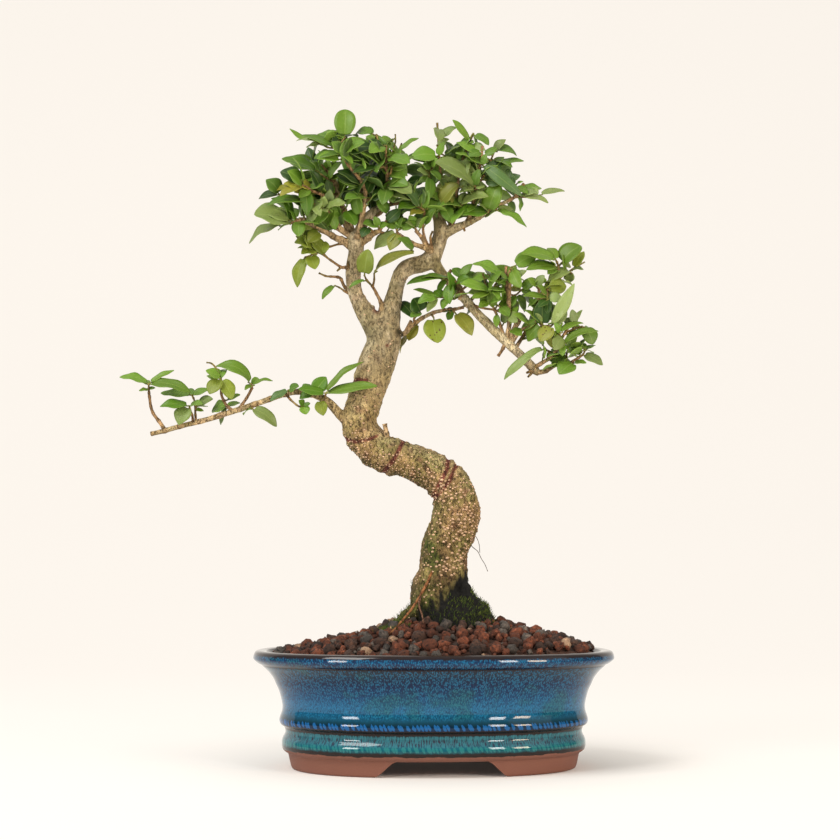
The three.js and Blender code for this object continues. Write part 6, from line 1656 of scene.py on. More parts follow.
        "leaves": [(25.8, 441.5, -8, 14.6, 457.6, -10, 5.6, 0), (29, 446.3, -10, 40, 438.7, -14, 6.5, 0)],
        "small_leaves": [(26, 441.5, -8, 29, 440.5, -12, 3.5)],
    },
    "spray_right_large": {
        "stems": [
            [(24, 382, -3, 1.6), (28, 392, -6, 1.5), (30, 403, -9, 1.3), (31.5, 412, -10, 1.2),
             (33.2, 421, -11, 1.1), (34.5, 430, -12, 1), (35.5, 438, -13, 0.9)],
            [(31.5, 409, -10, 1), (36, 415.5, -7, 0.9), (39.8, 423.5, -5, 0.8), (43.5, 433, -4, 0.6)],
            [(31, 408.5, -9.7, 1), (29.8, 408, -14, 0.8)],
            [(34, 425.8, -11.5, 0.8), (35.5, 424, -14.5, 0.7)],
            [(42.5, 430.6, -4.3, 0.7), (44, 434, -4, 0.6)], [(38, 419.8, -6, 0.8), (41, 421.5, -3, 0.6)],
            [(26.6, 388.5, -5.2, 1), (22, 393, -9, 0.7), (19.5, 395, -10, 0.6)],
        ],
        "side_stems": [[(34.3, 428.5, -11.8, 0.7), (32.5, 429, -8, 0.6)]],
        "leaves": [
            (29.8, 408, -14, 1.5, 426.5, -23, 15, 0), (30, 408, -13, 33, 421, -18, 6.5),
            (35.5, 422.8, -15, 63.5, 402.5, -22, 7.5, 30), (43, 434, -4.5, 51.8, 443, -7, 7, 0),
            (44.5, 434.3, -3.5, 60, 431.8, -6, 7, 0, 0.2), (41, 421.5, -3, 65, 427, -4, 7),
            (41, 420.5, -2, 51, 412.5, 3, 8), (19.5, 395.5, -10, 39, 402, -20, 11.5, 0),
        ],
        "small_leaves": [
            (30, 407, -13, 19, 405.3, -12, 4.5), (30, 407, -12, 37, 409, -14, 7),
            (32.5, 429, -8, 22, 426, -2, 8), (34.8, 433, -12.5, 25.5, 430.5, -17, 7.5),
            (32.5, 429.5, -7, 24, 434, 1, 6), (35.5, 424, -15, 37.5, 432, -18, 5),
            (40, 424, -4, 36, 429, 0, 5), (21, 394.5, -9, 13, 399, -4, 7),
            (19.5, 395.5, -9, 23, 404, -6, 6),
        ],
    },
    "spray_right_edge": {
        "stems": [
            [(59, 400.6, -9, 1.2), (60.5, 405, -8, 1.1), (65, 410.3, -7, 1)],
            [(60.2, 404, -8.2, 0.9), (58, 407.5, -9, 0.7), (55.5, 411.5, -9, 0.6)],
        ],
        "side_stems": [[(58, 407.5, -9, 0.6), (60, 410.5, -8, 0.5)]],
        "leaves": [(55, 411.5, -9, 43, 418.5, -14, 8, 0), (56.5, 412, -8, 62, 417.5, -4, 6.5, 0)],
        "small_leaves": [
            (55.8, 412.5, -9, 53, 421.5, -6, 5), (57, 409.5, -9, 57.5, 416.5, -13, 5),
            (60, 410.5, -8, 64.5, 412, -9, 3.6),
        ],
    },
    "spray_right_oval": {
        "stems": [[(37.5, 388.8, -4.8, 1.2), (39.3, 390, -9, 0.8)]],
        "leaves": [
            (38, 389.6, -9, 17.5, 388.7, -16, 12.5, 0), (39.5, 391, -8.5, 46, 411.5, -13, 13.5, 0),
        ],
        "small_leaves": [(38.5, 391, -9, 33, 396, -14, 5), (39.5, 391, -8, 34, 401, -2, 8)],
    },
    "spray_right_droop": {
        "stems": [[(44, 392.6, -5.6, 1), (45.5, 391, -9, 0.7)]],
        "leaves": [(45.5, 390.7, -9, 67.3, 381.3, -13, 5.5, 0, 0.1), (46, 391.7, -8, 57, 391.7, -5, 5)],
        "small_leaves": [(45.5, 391, -9, 37, 386, -5, 6)],
    },
    "spray_right_fold": {
        "stems": [[(51, 396.7, -7, 0.9), (53, 396.5, -3, 0.7)]],
        "leaves": [(53, 396.5, -3, 58.5, 389, 1, 9.5, 0)],
    },
    "spray_right_tip": {
        "stems": [[(73, 400.5, -10.7, 0.7), (76, 402, -11, 0.6)]],
        "leaves": [(76, 402.5, -11, 94, 405.7, -12, 5, 0), (75, 401, -11, 70, 408, -6, 5)],
    },
    "spray_right_reach": {
        "stems": [[(62, 401, -9.3, 0.8), (62.5, 402.8, -12, 0.6)]],
        "leaves": [(62.8, 403.3, -12.5, 74, 404, -17, 6), (63, 399.5, -12, 82.3, 396.3, -16, 6, 0)],
    },
    "spray_below_long": {
        "stems": [
            [(20, 327, -4, 2.2), (18, 335, -7, 2.3), (17, 340, -8, 2.1)],
            [(17.5, 337.5, -7.5, 1), (15, 339.5, -11, 0.8), (9, 341, -12, 0.6)],
            [(17.3, 339, -7.8, 0.8), (19.5, 342.5, -9, 0.6)],
            [(19, 331, -5.6, 1), (15, 327, -9, 0.8), (8, 328, -11, 0.7), (3, 328, -12, 0.6)],
        ],
        "side_stems": [[(19.5, 328.5, -6.5, 1), (20.5, 333, -9, 0.9), (23, 335.6, -10, 0.8)]],
        "leaves": [
            (15, 340.5, -11.5, -8.3, 343.5, -17, 6.5, 20), (8, 341, -12, -18.8, 337.3, -16, 7.5, 10),
            (20, 342.5, -8, 35, 341.5, -6, 8), (3, 328.3, -12, -11, 324, -16, 7),
            (2.5, 328.5, -11.5, -14, 334, -9, 5),
        ],
        "small_leaves": [
            (19.8, 343.5, -9, 28, 352, -9, 5.5), (10, 340.5, -11, 3, 332.5, -8, 6),
            (19.5, 343, -8, 14, 349, -3, 6), (17, 338, -10, 25, 343, -16, 7),
            (7, 328, -11, 0.5, 333, -10, 6), (12, 326.5, -10, 6, 320.5, -13, 7),
            (15.5, 326, -10, 9.5, 333, -15, 6), (3, 327.5, -12, -4.5, 318, -15, 5),
        ],
    },
    "spray_behind_dark": {
        "stems": [[(-13, 309.6, 2.6, 1), (-13.5, 313, -2, 0.8), (-9, 317, -5, 0.7)]],
        "leaves": [(-9, 317.5, -5, -14, 327.5, -8, 14, 0), (-13.5, 313.5, -2, -23.5, 324.5, 9, 8)],
        "small_leaves": [(-9, 317, -5, -16, 314, -12, 6)],
    },
    "spray_behind_yellow": {
        "stems": [[(-1.5, 316.2, 1.3, 0.8), (0.3, 313.5, -2, 0.6)]],
        "leaves": [(0.3, 313.5, -2, 3.2, 295.3, -8, 15.5, 0, 0.04)],
    },
    "spray_behind_low": {
        "stems": [[(-8.5, 312.6, 2.1, 0.8), (-11, 309.5, 8, 0.6)]],
        "leaves": [(-11, 309.5, 8, -17.5, 297, 9, 9, 0), (-11.5, 309, 8.5, -23.5, 288, 22, 6)],
    },
    "spray_behind_drop": {
        "stems": [[(13, 319.3, -0.6, 0.8), (15.5, 317, -4, 0.6)]],
        "leaves": [(16, 316.8, -4, 27.8, 301.3, -9, 11, 0), (14.5, 317, -3, 10, 312, -1, 6.5, 0)],
        "small_leaves": [(15, 317, -3, 6, 318, 4, 6)],
    },
    "spray_below_bright": {
        "stems": [
            [(26, 324, -6, 1.2), (31, 321.5, -9, 0.9), (37, 320, -12, 0.8), (43.5, 319, -14, 0.8),
             (50, 316.5, -14, 0.7)],
            [(50.5, 298.5, -12, 1.6), (46, 313, -13, 0.9), (43.5, 319, -14, 0.9), (41, 325, -15, 0.8),
             (39, 331, -15, 0.8), (37.5, 337, -15, 0.7), (35.3, 345.3, -15, 0.6)],
            [(39, 330.5, -15, 0.8), (40.5, 331.5, -18, 0.7), (44, 337, -20, 0.6), (48, 343, -20, 0.6)],
            [(44.5, 317, -13.6, 0.7), (45.5, 316, -16, 0.5)],
        ],
        "side_stems": [
            [(43.5, 318.5, -14, 0.6), (45.8, 323, -16, 0.5)],
            [(41.5, 324, -14.8, 0.7), (39.5, 325, -17, 0.6)],
            [(45.3, 322, -15.5, 0.5), (47.5, 321.5, -18, 0.5)],
        ],
        "leaves": [
            (48, 343.5, -20, 28.6, 353.5, -19, 8, 0, 0.12), (40.5, 331.5, -18.5, 47.5, 347, -28, 12, -20),
            (39.5, 332, -18, 19.5, 338.5, -23, 9), (39.5, 330.8, -18, 25, 331.5, -20, 8),
            (41, 331, -19, 27.5, 327.3, -26, 5), (45.5, 316.5, -16, 45, 306.5, -18, 5, 0),
        ],
        "small_leaves": [
            (42, 333, -19, 51, 332, -24, 6), (39.5, 325, -17, 32.5, 321.5, -20, 5.5),
            (47.5, 321.5, -18, 54, 314, -22, 7), (40, 325, -17.5, 49, 327.5, -22, 6),
        ],
    },
    "spray_below_twin": {
        "stems": [
            [(52, 297, -12, 2.2), (54, 310, -15, 1.5), (53.7, 326, -18, 1.4), (52.5, 336, -19, 1.2),
             (51.7, 344, -19, 1), (52, 350.5, -19, 0.9)],
            [(52, 341, -19, 0.8), (55.6, 349.5, -20, 0.7)],
            [(53.7, 327, -18.5, 1.3), (54.8, 338.5, -22, 1.2)],
            [(52, 343, -19, 0.7), (55, 343.5, -16, 0.6)],
            [(53.2, 331, -18.5, 0.8), (58, 329.5, -14, 0.7), (63, 333.5, -13, 0.6)],
        ],
        "leaves": [
            (55, 343.5, -16, 63, 346, -17, 7.5, 0), (63, 333.8, -13, 54.8, 334, -12, 7, 0),
            (58, 329.5, -13.5, 66, 318, -10, 9.5),
        ],
        "small_leaves": [
            (63.5, 334, -13, 73, 341.5, -12, 6.5), (63, 333, -13, 70, 330, -15, 6),
            (55, 343.5, -15, 58, 351, -9, 6),
        ],
    },
    "spray_lower_tall": {
        "stems": [
            [(55, 295, -12, 2), (62, 304.3, -17, 1.2), (68, 306.3, -20, 1.1), (73, 309.5, -21, 1.1),
             (74.5, 319, -20, 1.1), (75, 328, -19, 1.2), (75.6, 341.3, -19, 1.1)],
            [(74.8, 321, -20, 1.1), (79, 329.5, -21, 1.3), (82, 335.5, -20, 1.2), (84.5, 340.5, -18, 1.1),
             (90, 342.3, -16, 1), (94.5, 345.3, -15, 0.9), (97.3, 346.3, -14, 0.8),
             (99, 344.8, -14, 0.6)],
            [(88, 341.5, -17, 0.9), (89.3, 348, -17, 0.8), (88.3, 354, -18, 0.7)],
            [(88.5, 352.5, -17.7, 0.8), (87.5, 355, -19, 0.6)],
            [(88.9, 349.5, -17.2, 0.7), (91, 352.5, -15, 0.6)],
            [(96, 345.9, -14.5, 0.8), (99, 348.2, -12, 0.7), (104, 351.3, -11, 0.6),
             (108, 353.5, -11, 0.5)],
            [(80.7, 333, -20.6, 1), (82, 334, -24, 0.7)],
            [(77.6, 327, -20.7, 1), (80, 327, -25, 0.7), (82, 327, -27, 0.6)],
            [(74, 313, -20.8, 1), (77, 308, -24, 0.8), (84, 307.5, -28, 0.7)],
        ],
        "side_stems": [[(75.4, 334, -19, 0.9), (73.5, 335.5, -23, 0.6)]],
        "leaves": [
            (87, 355.2, -19, 62.8, 360, -24, 11.5, 0), (91, 352.8, -15, 105, 366, -17, 14, 0),
            (88, 349.3, -19, 66.5, 348.5, -25, 10, 0), (99.5, 349.5, -11.5, 107.5, 361.5, -10, 6.5, 0),
            (98, 347.3, -13.5, 82, 341.5, -24, 9.5), (98, 347, -13, 96, 338.5, -9, 7.5, 0),
            (82, 334, -24, 95, 337, -22, 9.5, 30), (82, 327.5, -27, 64, 329, -32, 4.8),
            (82, 327, -27, 81, 316.5, -33, 5.5, 0), (84, 308, -28, 100.5, 338, -34, 8, 15),
            (77.5, 308.5, -25, 78, 326, -31, 12.5, 0), (75.5, 309, -25, 64.5, 319, -30, 5),
            (76, 307, -24, 66, 297.5, -22, 11.5, 0), (83, 306.5, -27.5, 76, 296.5, -32, 10, 0),
            (84.5, 308, -27, 95, 318, -22, 7),
        ],
        "small_leaves": [
            (90.5, 351.5, -14, 98, 350, -10, 5.5), (87.5, 355, -18, 82, 364, -10, 7),
            (99, 348, -13, 107, 348, -15, 4.5), (104, 351, -10, 100, 358, -3, 6),
            (73.5, 336, -23, 67, 341.5, -28, 6.5), (82.5, 327, -26.5, 91.5, 328, -28, 7),
            (73.5, 335.5, -23, 79, 344, -27, 6), (80, 327, -25.5, 84, 318, -21, 6),
        ],
    },
    "spray_end_upper": {
        "stems": [
            [(71.5, 278, -16, 1.8), (76, 280.5, -21, 1.4), (83, 284.8, -22.5, 1.3), (88, 291, -24, 1.1),
             (90.3, 297, -25, 1), (95.5, 306, -25, 0.9)],
            [(93.7, 302.5, -25, 0.8), (100, 305.5, -24, 0.7), (106, 307.3, -23, 0.6)],
            [(88.6, 292.4, -24.2, 0.9), (91.5, 294, -27, 0.7)],
            [(90.8, 298.5, -25, 0.8), (89.5, 302, -28, 0.6)],
            [(104.5, 306.8, -23.2, 0.7), (107.5, 306.5, -22, 0.6)],
            [(99, 305, -24, 0.7), (99.5, 307.5, -21, 0.5)],
            [(82, 283.4, -21.5, 1), (82.5, 288, -22, 0.7), (79, 291.5, -22, 0.6)],
        ],
        "leaves": [
            (91.5, 294.5, -27, 116.5, 305, -34, 6, 0), (89.5, 303, -28, 106.5, 309.5, -26, 4.2, 0, 0.14),
            (91.8, 293.5, -27, 91.5, 286, -31, 5, 0), (107.5, 306.5, -22, 113.5, 294.5, -24, 10.5, 0),
            (99, 308, -20, 106, 319, -16, 3.4, 0, 0.14), (79, 291.5, -22, 49.7, 270.5, -24, 6.5, 0, 0.16),
        ],
        "small_leaves": [
            (89.3, 302.5, -28, 86, 309.5, -31, 5), (91, 293, -26, 99, 288, -22, 6),
            (89, 302, -27, 81, 300, -22, 6), (99.5, 308, -20.5, 106.5, 302.5, -17, 3.6),
            (107.5, 306.5, -21, 113, 303, -14, 5), (99.3, 307.5, -20, 94, 313, -14, 6),
        ],
    },
    "spray_end_right": {
        "stems": [
            [(73, 274, -16, 2), (80, 275.6, -17, 1.6), (88, 280, -19, 1.3), (95, 280.3, -20, 1.1),
             (103.5, 285.2, -20, 0.9)],
            [(94.5, 280, -20, 0.8), (94.3, 285, -21.5, 0.7), (95.3, 290, -23, 0.6)],
            [(102.5, 284.5, -20, 0.9), (106, 287, -20.5, 0.7), (108, 290.5, -21, 0.6)],
            [(97, 281.4, -20, 0.9), (99.5, 281, -24, 0.7)],
        ],
        "side_stems": [[(86, 279.1, -18.8, 1), (86, 281, -15, 0.7)]],
        "leaves": [
            (106, 287, -21, 120.3, 280.5, -24, 7.5, 0), (100.5, 281.5, -24, 89, 273, -30, 11.5, 0),
        ],
        "small_leaves": [
            (103.7, 287, -19, 97, 295.5, -15, 6), (108, 290.5, -21, 115, 293.5, -20, 3.6),
            (107.7, 291, -20, 104.5, 295.5, -17, 4.5), (108, 290.5, -20, 113, 288, -12, 5),
            (99.5, 282, -24, 108.5, 281, -26, 5), (86, 281, -15, 92, 290, -10, 8),
            (86, 281, -15, 82, 290, -12, 6), (87, 281, -14.5, 97, 284, -9, 7),
        ],
    },
    "spray_branch_tip": {
        "stems": [
            [(-189, 232.9, -6, 1.6), (-194, 240, -7, 1.2), (-198, 245.5, -8, 1.1), (-199.5, 250, -8, 1),
             (-200.7, 257, -9, 1), (-201, 260.5, -9, 0.9)],
            [(-200.9, 259, -9, 0.9), (-201.3, 263, -9.5, 0.7), (-201, 266.5, -10, 0.6)],
        ],
        "leaves": [
            (-201.5, 266, -10, -222, 270.8, -14, 6.5, 0, 0.12),
            (-200.5, 267, -10, -183.5, 275.7, -8, 4, 0), (-200.5, 266, -11, -171.5, 260, -17, 8, 0, 0.12),
            (-201.3, 262, -10, -208, 261.5, -14, 3, 0), (-201.2, 262, -9, -196.7, 263.3, -6, 2.8, 0),
        ],
        "small_leaves": [(-201.2, 265, -9, -206, 268, 0, 6)],
    },
    "spray_branch_second": {
        "stems": [
            [(-167.5, 238.5, -7, 1.1), (-168, 244, -5.5, 0.8), (-168.3, 251, -5, 0.7),
             (-169.5, 256.5, -5, 0.6)],
            [(-169.3, 255.5, -5, 0.7), (-170.5, 258, -6, 0.6)],
            [(-168.2, 249, -5, 0.7), (-166.5, 250.5, -6, 0.5)],
        ],
        "leaves": [
            (-170.7, 258.5, -6, -158, 262, -8, 5.5, 0), (-166.5, 250.7, -6.5, -156.3, 256, -10, 8, 0),
            (-171.5, 258.5, -6, -192.7, 259.5, -2, 6.5, 0),
        ],
        "small_leaves": [
            (-168, 247, -5, -162, 247.3, 0, 3), (-170, 258, -5, -175, 262, 5, 7),
            (-167, 250.5, -5, -160, 250, 4, 7),
        ],
    },
    "spray_branch_third": {
        "stems": [
            [(-169.5, 238, -7, 1.1), (-170.3, 244, -9, 0.8), (-172, 248.5, -10, 0.7)],
            [(-171.7, 247.5, -9.8, 0.7), (-172.3, 250.5, -11, 0.6)],
        ],
        "leaves": [
            (-172.5, 251.3, -11, -193, 250, -16, 7.5, 0, 0.12),
            (-173, 249.3, -11, -180.3, 237.7, -15, 11.5, 0),
        ],
        "small_leaves": [(-172, 250, -12, -163, 252, -17, 5)],
    },
    "spray_branch_square": {
        "stems": [
            [(-141, 246.5, -8, 1.6), (-145, 249.5, -10, 1.1), (-148.3, 254.5, -11, 1),
             (-149.8, 259, -12, 0.9), (-150.5, 269.5, -12, 0.8), (-153, 276, -10, 0.7),
             (-156.8, 280.5, -9, 0.6), (-160.7, 281.4, -9, 0.5)],
            [(-150.3, 268, -12, 0.8), (-150.5, 270, -14, 0.6)],
            [(-148, 254, -11, 0.8), (-146, 254.5, -6, 0.6)],
            [(-144, 248.8, -9.6, 0.9), (-145.5, 250, -5, 0.7)],
        ],
        "leaves": [
            (-151, 270, -14, -161, 275.7, -18, 7.5, 0), (-151, 269, -14.5, -158.3, 259, -20, 10, 0),
            (-150, 269, -14, -142, 256, -18, 9.5, 0), (-145.5, 250.3, -4.5, -157, 247.5, -2, 10, 0),
            (-145.5, 255, -5.5, -136.5, 258.5, -6, 3.8, 0), (-146.5, 249.5, -3.5, -150, 237, 4, 6),
        ],
        "small_leaves": [(-150.5, 270, -13, -147, 277, -6, 6), (-145, 250.5, -4, -136.5, 252.5, -1, 6)],
    },
    "spray_branch_arch": {
        "stems": [
            [(-138, 247.5, -8, 1.4), (-135, 251.5, -7, 1.1), (-132, 256, -6, 1), (-128, 263.5, -5, 1)],
            [(-128.3, 262.6, -5, 0.9), (-128.6, 266, -6, 0.7)],
        ],
        "leaves": [
            (-128.6, 266, -6, -154.5, 279.5, -8, 9.5, 0, 0.24),
            (-128.5, 265, -7, -133.3, 262.5, -10, 3.6, 0),
            (-128.2, 264.5, -6, -113.7, 268.3, -8, 3, 0, 0.2),
        ],
        "small_leaves": [(-128.4, 265.5, -5, -124, 271, 2, 5)],
    },
    "spray_branch_hanging": {
        "stems": [[(-128, 250.8, -8, 1), (-128, 248.5, -11.5, 0.7)]],
        "leaves": [
            (-128, 248, -12, -110.3, 237.3, -16, 8.5, 0, 0.14), (-128, 248, -11, -134, 244, -6, 6),
        ],
    },
    "spray_branch_curl": {
        "stems": [
            [(-104, 259, -9, 1.3), (-101, 255, -12, 0.8), (-96.5, 251, -13, 0.7), (-93, 249.3, -14, 0.7)],
            [(-94.5, 249.9, -13.6, 0.7), (-91.5, 250.3, -14, 0.6)],
        ],
        "leaves": [
            (-91.5, 250.5, -14, -95, 254.5, -16, 5, 0), (-91, 250.3, -14, -89.8, 244.5, -17, 7, 0),
        ],
        "small_leaves": [(-91, 250.5, -14, -87, 252.3, -15, 3)],
    },
    "spray_branch_over": {
        "stems": [[(-102, 259.8, -8, 1), (-102.2, 261.8, -11, 0.7)]],
        "leaves": [
            (-103, 262.3, -11.5, -115.3, 254, -15, 5.5, 0), (-102, 262.5, -11, -95, 264.5, -14, 7.5, 0),
        ],
    },
    "spray_branch_inner": {
        "stems": [
            [(-78, 255.6, -5.2, 1.1), (-76.5, 257, -10, 0.8), (-76, 259.5, -12, 0.7)],
            [(-76.5, 257.2, -10, 0.6), (-80, 254.5, -12, 0.5)],
        ],
        "leaves": [
            (-77, 259.8, -12, -95.5, 262.5, -17, 8, 0),
            (-75.5, 258.7, -12.5, -40, 265.3, -20, 8.5, 0, 0.02),
            (-75.7, 260.5, -12, -51.3, 283.5, -14, 4.6, 0), (-80, 254, -12, -77.6, 244, -15, 8.5, 0),
        ],
    },
    "spray_branch_upright": {
        "stems": [[(-84, 258.2, -5.8, 1), (-85.5, 259.5, -10, 0.6)]],
        "leaves": [(-84.5, 260.5, -10, -75.8, 271, -7, 9.5, 20), (-86, 259.5, -10, -94.5, 256.5, -13, 6)],
        "small_leaves": [(-85.5, 260, -9, -92, 266, -2, 6)],
    },
}


# Screens keep their CAD shape; the moss, straw and fine roots lie on soil and bark
MOSS_GREENS = ((74, 94, 24), (40, 54, 16), (108, 122, 38))
# Tufts on the soil: x, y, spread and number of blades
MOSS_TUFTS = [(-31, -20, 8, 330), (-23, -22, 6, 210), (-39, -12, 5, 120), (27, -18, 6, 120)]
BARK_MOSS_TRIES = 4200
STRAWS = 26
STRAW_TONES = ((150, 112, 70), (196, 160, 110))


def make_screens():
    """Gives the drain screens their plastic"""
    black = plain_material("black_plastic", (12, 12, 12), (26, 26, 26), 900, 0.55, 0.3, 0.0003)
    for name in ("drain_screen_left", "drain_screen_right"):
        screen = bpy.data.objects[name]
        screen.data.materials.clear()
        screen.data.materials.append(black)


def add_strip(parts, path, width, tone):
    """A narrow flat strip through points, for moss blades and straw"""
    verts = []
    for i, point in enumerate(path):
        along = (path[min(i + 1, len(path) - 1)] - path[max(i - 1, 0)]).normalized()
        side = along.cross(Vector((0.3, 0.4, 0.87))).normalized()
        w = width * (1 - 0.8 * i / (len(path) - 1)) / 2
        verts += [point - side * w, point + side * w]
    faces = [(a, a + 1, a + 3, a + 2) for a in range(0, 2 * len(path) - 2, 2)]
    parts.add(verts, faces, 0, rgba(tone))


def add_soil_moss(moss):
    """Tufts of moss on the soil beside the trunk"""
    for n, (cx, cy, spread, count) in enumerate(MOSS_TUFTS):
        for k in range(count):
            seed = n * 997 + k * 1.7
            angle, reach = any_angle(seed), spread * math.sqrt(draw(seed + 0.3))
            x, y = cx + reach * math.cos(angle), cy + reach * math.sin(angle)
            root = in_pot(x, y, soil_height(x, y) + 0.4)
            lean = Vector((draw(seed + 1) - 0.5, draw(seed + 2) - 0.5, 0.9 + draw(seed + 3))) * (1.5 * MM)
            bend = Vector((draw(seed + 4) - 0.5, draw(seed + 5) - 0.5, 0)) * MM
            tone = MOSS_GREENS[int(draw(seed + 6) * 3)]
            add_strip(moss, [root, root + lean * 0.6, root + lean + bend], 0.35 * MM, tone)


def add_bark_moss(moss, points, normals):
    """Moss in patches on the trunk's foot, more of it low down and on the right"""
    x, z, depth = seen(points)
    low = np.where((z > 84) & (z < 128) & (depth < 14))[0]
    for k in range(BARK_MOSS_TRIES):
        seed = 5000 + k * 1.3
        i = low[int(draw(seed) * len(low))]
        patch = noise.noise(Vector((x[i], z[i], depth[i])) * 0.09)
        if patch + 0.34 * (114 - z[i]) / 20 + 0.20 * (x[i] > -2) < 0.05:
            continue
        root, normal = Vector(points[i]), Vector(normals[i]).normalized()
        stray = Vector((draw(seed + 1) - 0.5, draw(seed + 2) - 0.5, draw(seed + 3)))
        lean = normal * (1.3 * MM) + stray * (1.8 * MM)
        tone = MOSS_GREENS[int(draw(seed + 6) * 3)]
        add_strip(moss, [root - normal * 0.2 * MM, root + lean * 0.6, root + lean], 0.42 * MM, tone)


def make_moss(points, normals):
    """Moss on the soil and on the trunk's foot"""
    moss = Parts()
    add_soil_moss(moss)
    add_bark_moss(moss, points, normals)
    piece = moss.piece("moss", [tinted_material("moss", 0.85, 900.0, (0.7, 0.75, 0.6))])
    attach(piece, "root")


def make_straw():
    """Bits of dry straw on the soil, away from the trunk"""
    straw = Parts()
    for n in range(STRAWS):
        seed = 700 + n * 2.3
        x, y = 170 * (draw(seed) - 0.5), 110 * (draw(seed + 1) - 0.5)
        if math.hypot(x - TRUNK_FOOT_X, y) < 34:
            continue
        angle, length = any_angle(seed + 2), 5 + 8 * draw(seed + 3)
        path = []
        for k in range(4):
            px, py = x + math.cos(angle) * length * k / 3, y + math.sin(angle) * length * k / 3
            path.append(in_pot(px, py, soil_height(px, py) + 2.4 + 0.5 * math.sin(k + seed)))
        add_strip(straw, path, 0.9 * MM, STRAW_TONES[n % 2])
    piece = straw.piece("straw", [tinted_material("straw", 0.8, 700.0, (0.8, 0.78, 0.7))])
    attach(piece, "root")


FINE_ROOTS = [
    ([(-1, 134, -15), (-4.5, 126, -18), (-13, 111, -19.5), (-20, 102, -23), (-26, 95, -28), (-33, 88, -34)],
     1.0, (150, 100, 62)),
    ([(-9, 117, -19), (-10, 110, -23), (-8, 104, -27), (-7, 98, -31)], 0.7, (120, 86, 66)),
    ([(27, 161, -6), (30, 158, -6), (32, 153, -7), (32.5, 147, -7)], 0.22, (96, 84, 72)),
    ([(25, 156, -6), (27, 151.5, -6), (31, 148, -7), (33.5, 143, -8), (36, 139, -8), (38, 134, -9)],
     0.28, (84, 70, 58)),
]


def make_fine_roots(bark):
    """Thin roots and threads that lie on the bark"""
    roots = Parts()
    for path, radius, colour in FINE_ROOTS:
        rows = [(*row, radius * (1 - 0.4 * i / len(path))) for i, row in enumerate(path)]
        verts, faces, _ = tube(rows, 8, 5, lambda i, angle: 1 + 0.12 * math.sin(1.7 * i + 2 * angle))
        roots.add(verts, faces, 0, rgba(colour))
    piece = roots.piece("fine_roots", [bark])
    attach(piece, "root")


# Stage
# The floor's outline from the front to the back, as y and z in metres
FLOOR_ROWS = [
    (-2.6, 0), (1.2, 0), (1.5, 0.02), (1.8, 0.09), (2.05, 0.25), (2.2, 0.5), (2.25, 0.9), (2.25, 3.2),
]
FLOOR_HALF_WIDTH = 4
# Name, place, target, size in metres, power and colour of each light
LIGHTS = [
    ("key", (-900, -900, 1500), (0, 0, 220), (0.8, 0.8), 22, (255, 252, 248)),
    ("fill", (1300, -700, 800), (0, 0, 200), (1.0, 1.0), 2, (255, 252, 248)),
    ("strip_left", (-800, -900, 420), (-60, 0, 60), (0.26, 0.28), 4.8, (255, 252, 248)),
    ("strip_right", (600, -900, 420), (60, 0, 60), (0.17, 0.28), 3.2, (255, 252, 248)),
    ("strip_warm", (1090, -900, 460), (60, 0, 60), (0.30, 0.30), 6.4, (255, 228, 196)),
]


def area_light(name, place, target, size, power, colour):
    """A rectangular light, turned to its target"""
    data = bpy.data.lights.new(name, "AREA")
    data.shape, data.size, data.size_y = "RECTANGLE", size[0], size[1]
    data.energy, data.color = power, linear(colour)
    light = bpy.data.objects.new(name, data)
    light.location = placed(*place)
    direction = placed(*target) - light.location
    light.rotation_euler = direction.to_track_quat("-Z", "Y").to_euler()
    bpy.context.scene.collection.objects.link(light)


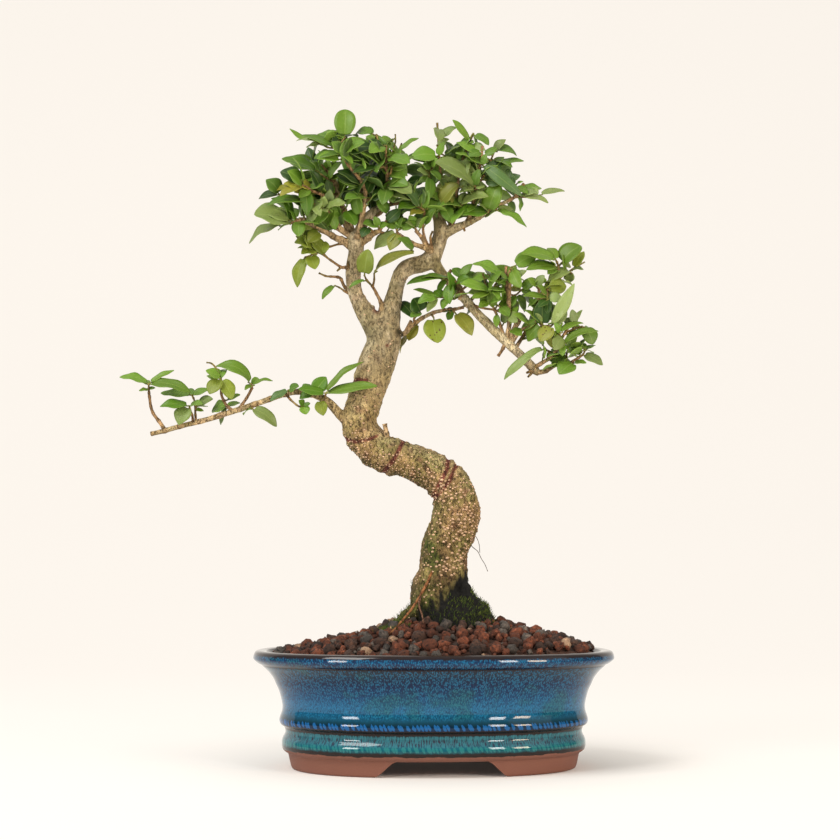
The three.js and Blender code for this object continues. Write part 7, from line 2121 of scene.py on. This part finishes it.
def stage_material():
    """Grey under the pot, a painted shadow, and glowing cream further out, which gives an even backdrop"""
    shader = Shader("stage", 0.9, Specular_IOR_Level=0.0)
    middle = shader.node("ShaderNodeVectorMath", {"operation": "SUBTRACT"})
    shader.feed(middle.inputs[0], shader.where())
    shader.feed(middle.inputs[1], (POT_X * MM, POT_Y * MM, 0))
    away = shader.node("ShaderNodeVectorMath", {"operation": "LENGTH"})
    shader.feed(away.inputs[0], middle.outputs[0])
    # The glow fades towards the pot, which paints a soft pool of shadow on the floor around it
    glow_and_painted_shadow = shader.step(away.outputs["Value"], 0.07, 0.30, 0.02, 0.86)
    shader.surface.inputs["Emission Color"].default_value = rgba(CREAM)
    shader.feed(shader.surface.inputs["Emission Strength"], glow_and_painted_shadow)
    return shader.colour(shader.mix(glow_and_painted_shadow, (0.82, 0.80, 0.77, 1), (0.10, 0.10, 0.10, 1)))


def make_world():
    """Soft light that grows from the horizon up"""
    world = bpy.data.worlds.new("studio")
    world.use_nodes = True
    tree = world.node_tree
    way = tree.nodes.new("ShaderNodeTexCoord")
    split = tree.nodes.new("ShaderNodeSeparateXYZ")
    tree.links.new(way.outputs["Generated"], split.inputs[0])
    sky = tree.nodes.new("ShaderNodeMapRange")
    for socket, value in {"From Min": 0.05, "From Max": 0.8, "To Min": 0.10, "To Max": 0.62}.items():
        sky.inputs[socket].default_value = value
    tree.links.new(split.outputs[2], sky.inputs[0])
    background = tree.nodes["Background"]
    background.inputs[0].default_value = (1, 0.985, 0.96, 1)
    tree.links.new(sky.outputs[0], background.inputs[1])
    bpy.context.scene.world = world


def make_stage():
    """A pale floor that curves up into the backdrop, under soft light from above"""
    verts = [Vector((x, y, z)) for y, z in FLOOR_ROWS for x in (-FLOOR_HALF_WIDTH, FLOOR_HALF_WIDTH)]
    faces = [(a, a + 1, a + 3, a + 2) for a in range(0, 2 * len(FLOOR_ROWS) - 2, 2)]
    mesh_piece("stage_floor", verts, faces, [stage_material()])
    make_world()
    bpy.context.scene.view_settings.view_transform = "Standard"
    for light in LIGHTS:
        area_light(*light)


bark = bark_material()
leaf_materials = {slot: leaf_material(slot) for slot in ("dark_leaf", "fresh_leaf", "yellow_leaf")}
make_pot()
make_screens()
make_soil_base()
make_granules()
wood_points, wood_normals = make_wood(bark)
make_bare_twigs(bark)
make_pores(wood_points, wood_normals)
make_fine_roots(bark)
make_moss(wood_points, wood_normals)
make_straw()
make_front_sprays(leaf_materials, bark)
make_back_sprays(leaf_materials, bark)
make_stage()

bpy.context.view_layer.update()
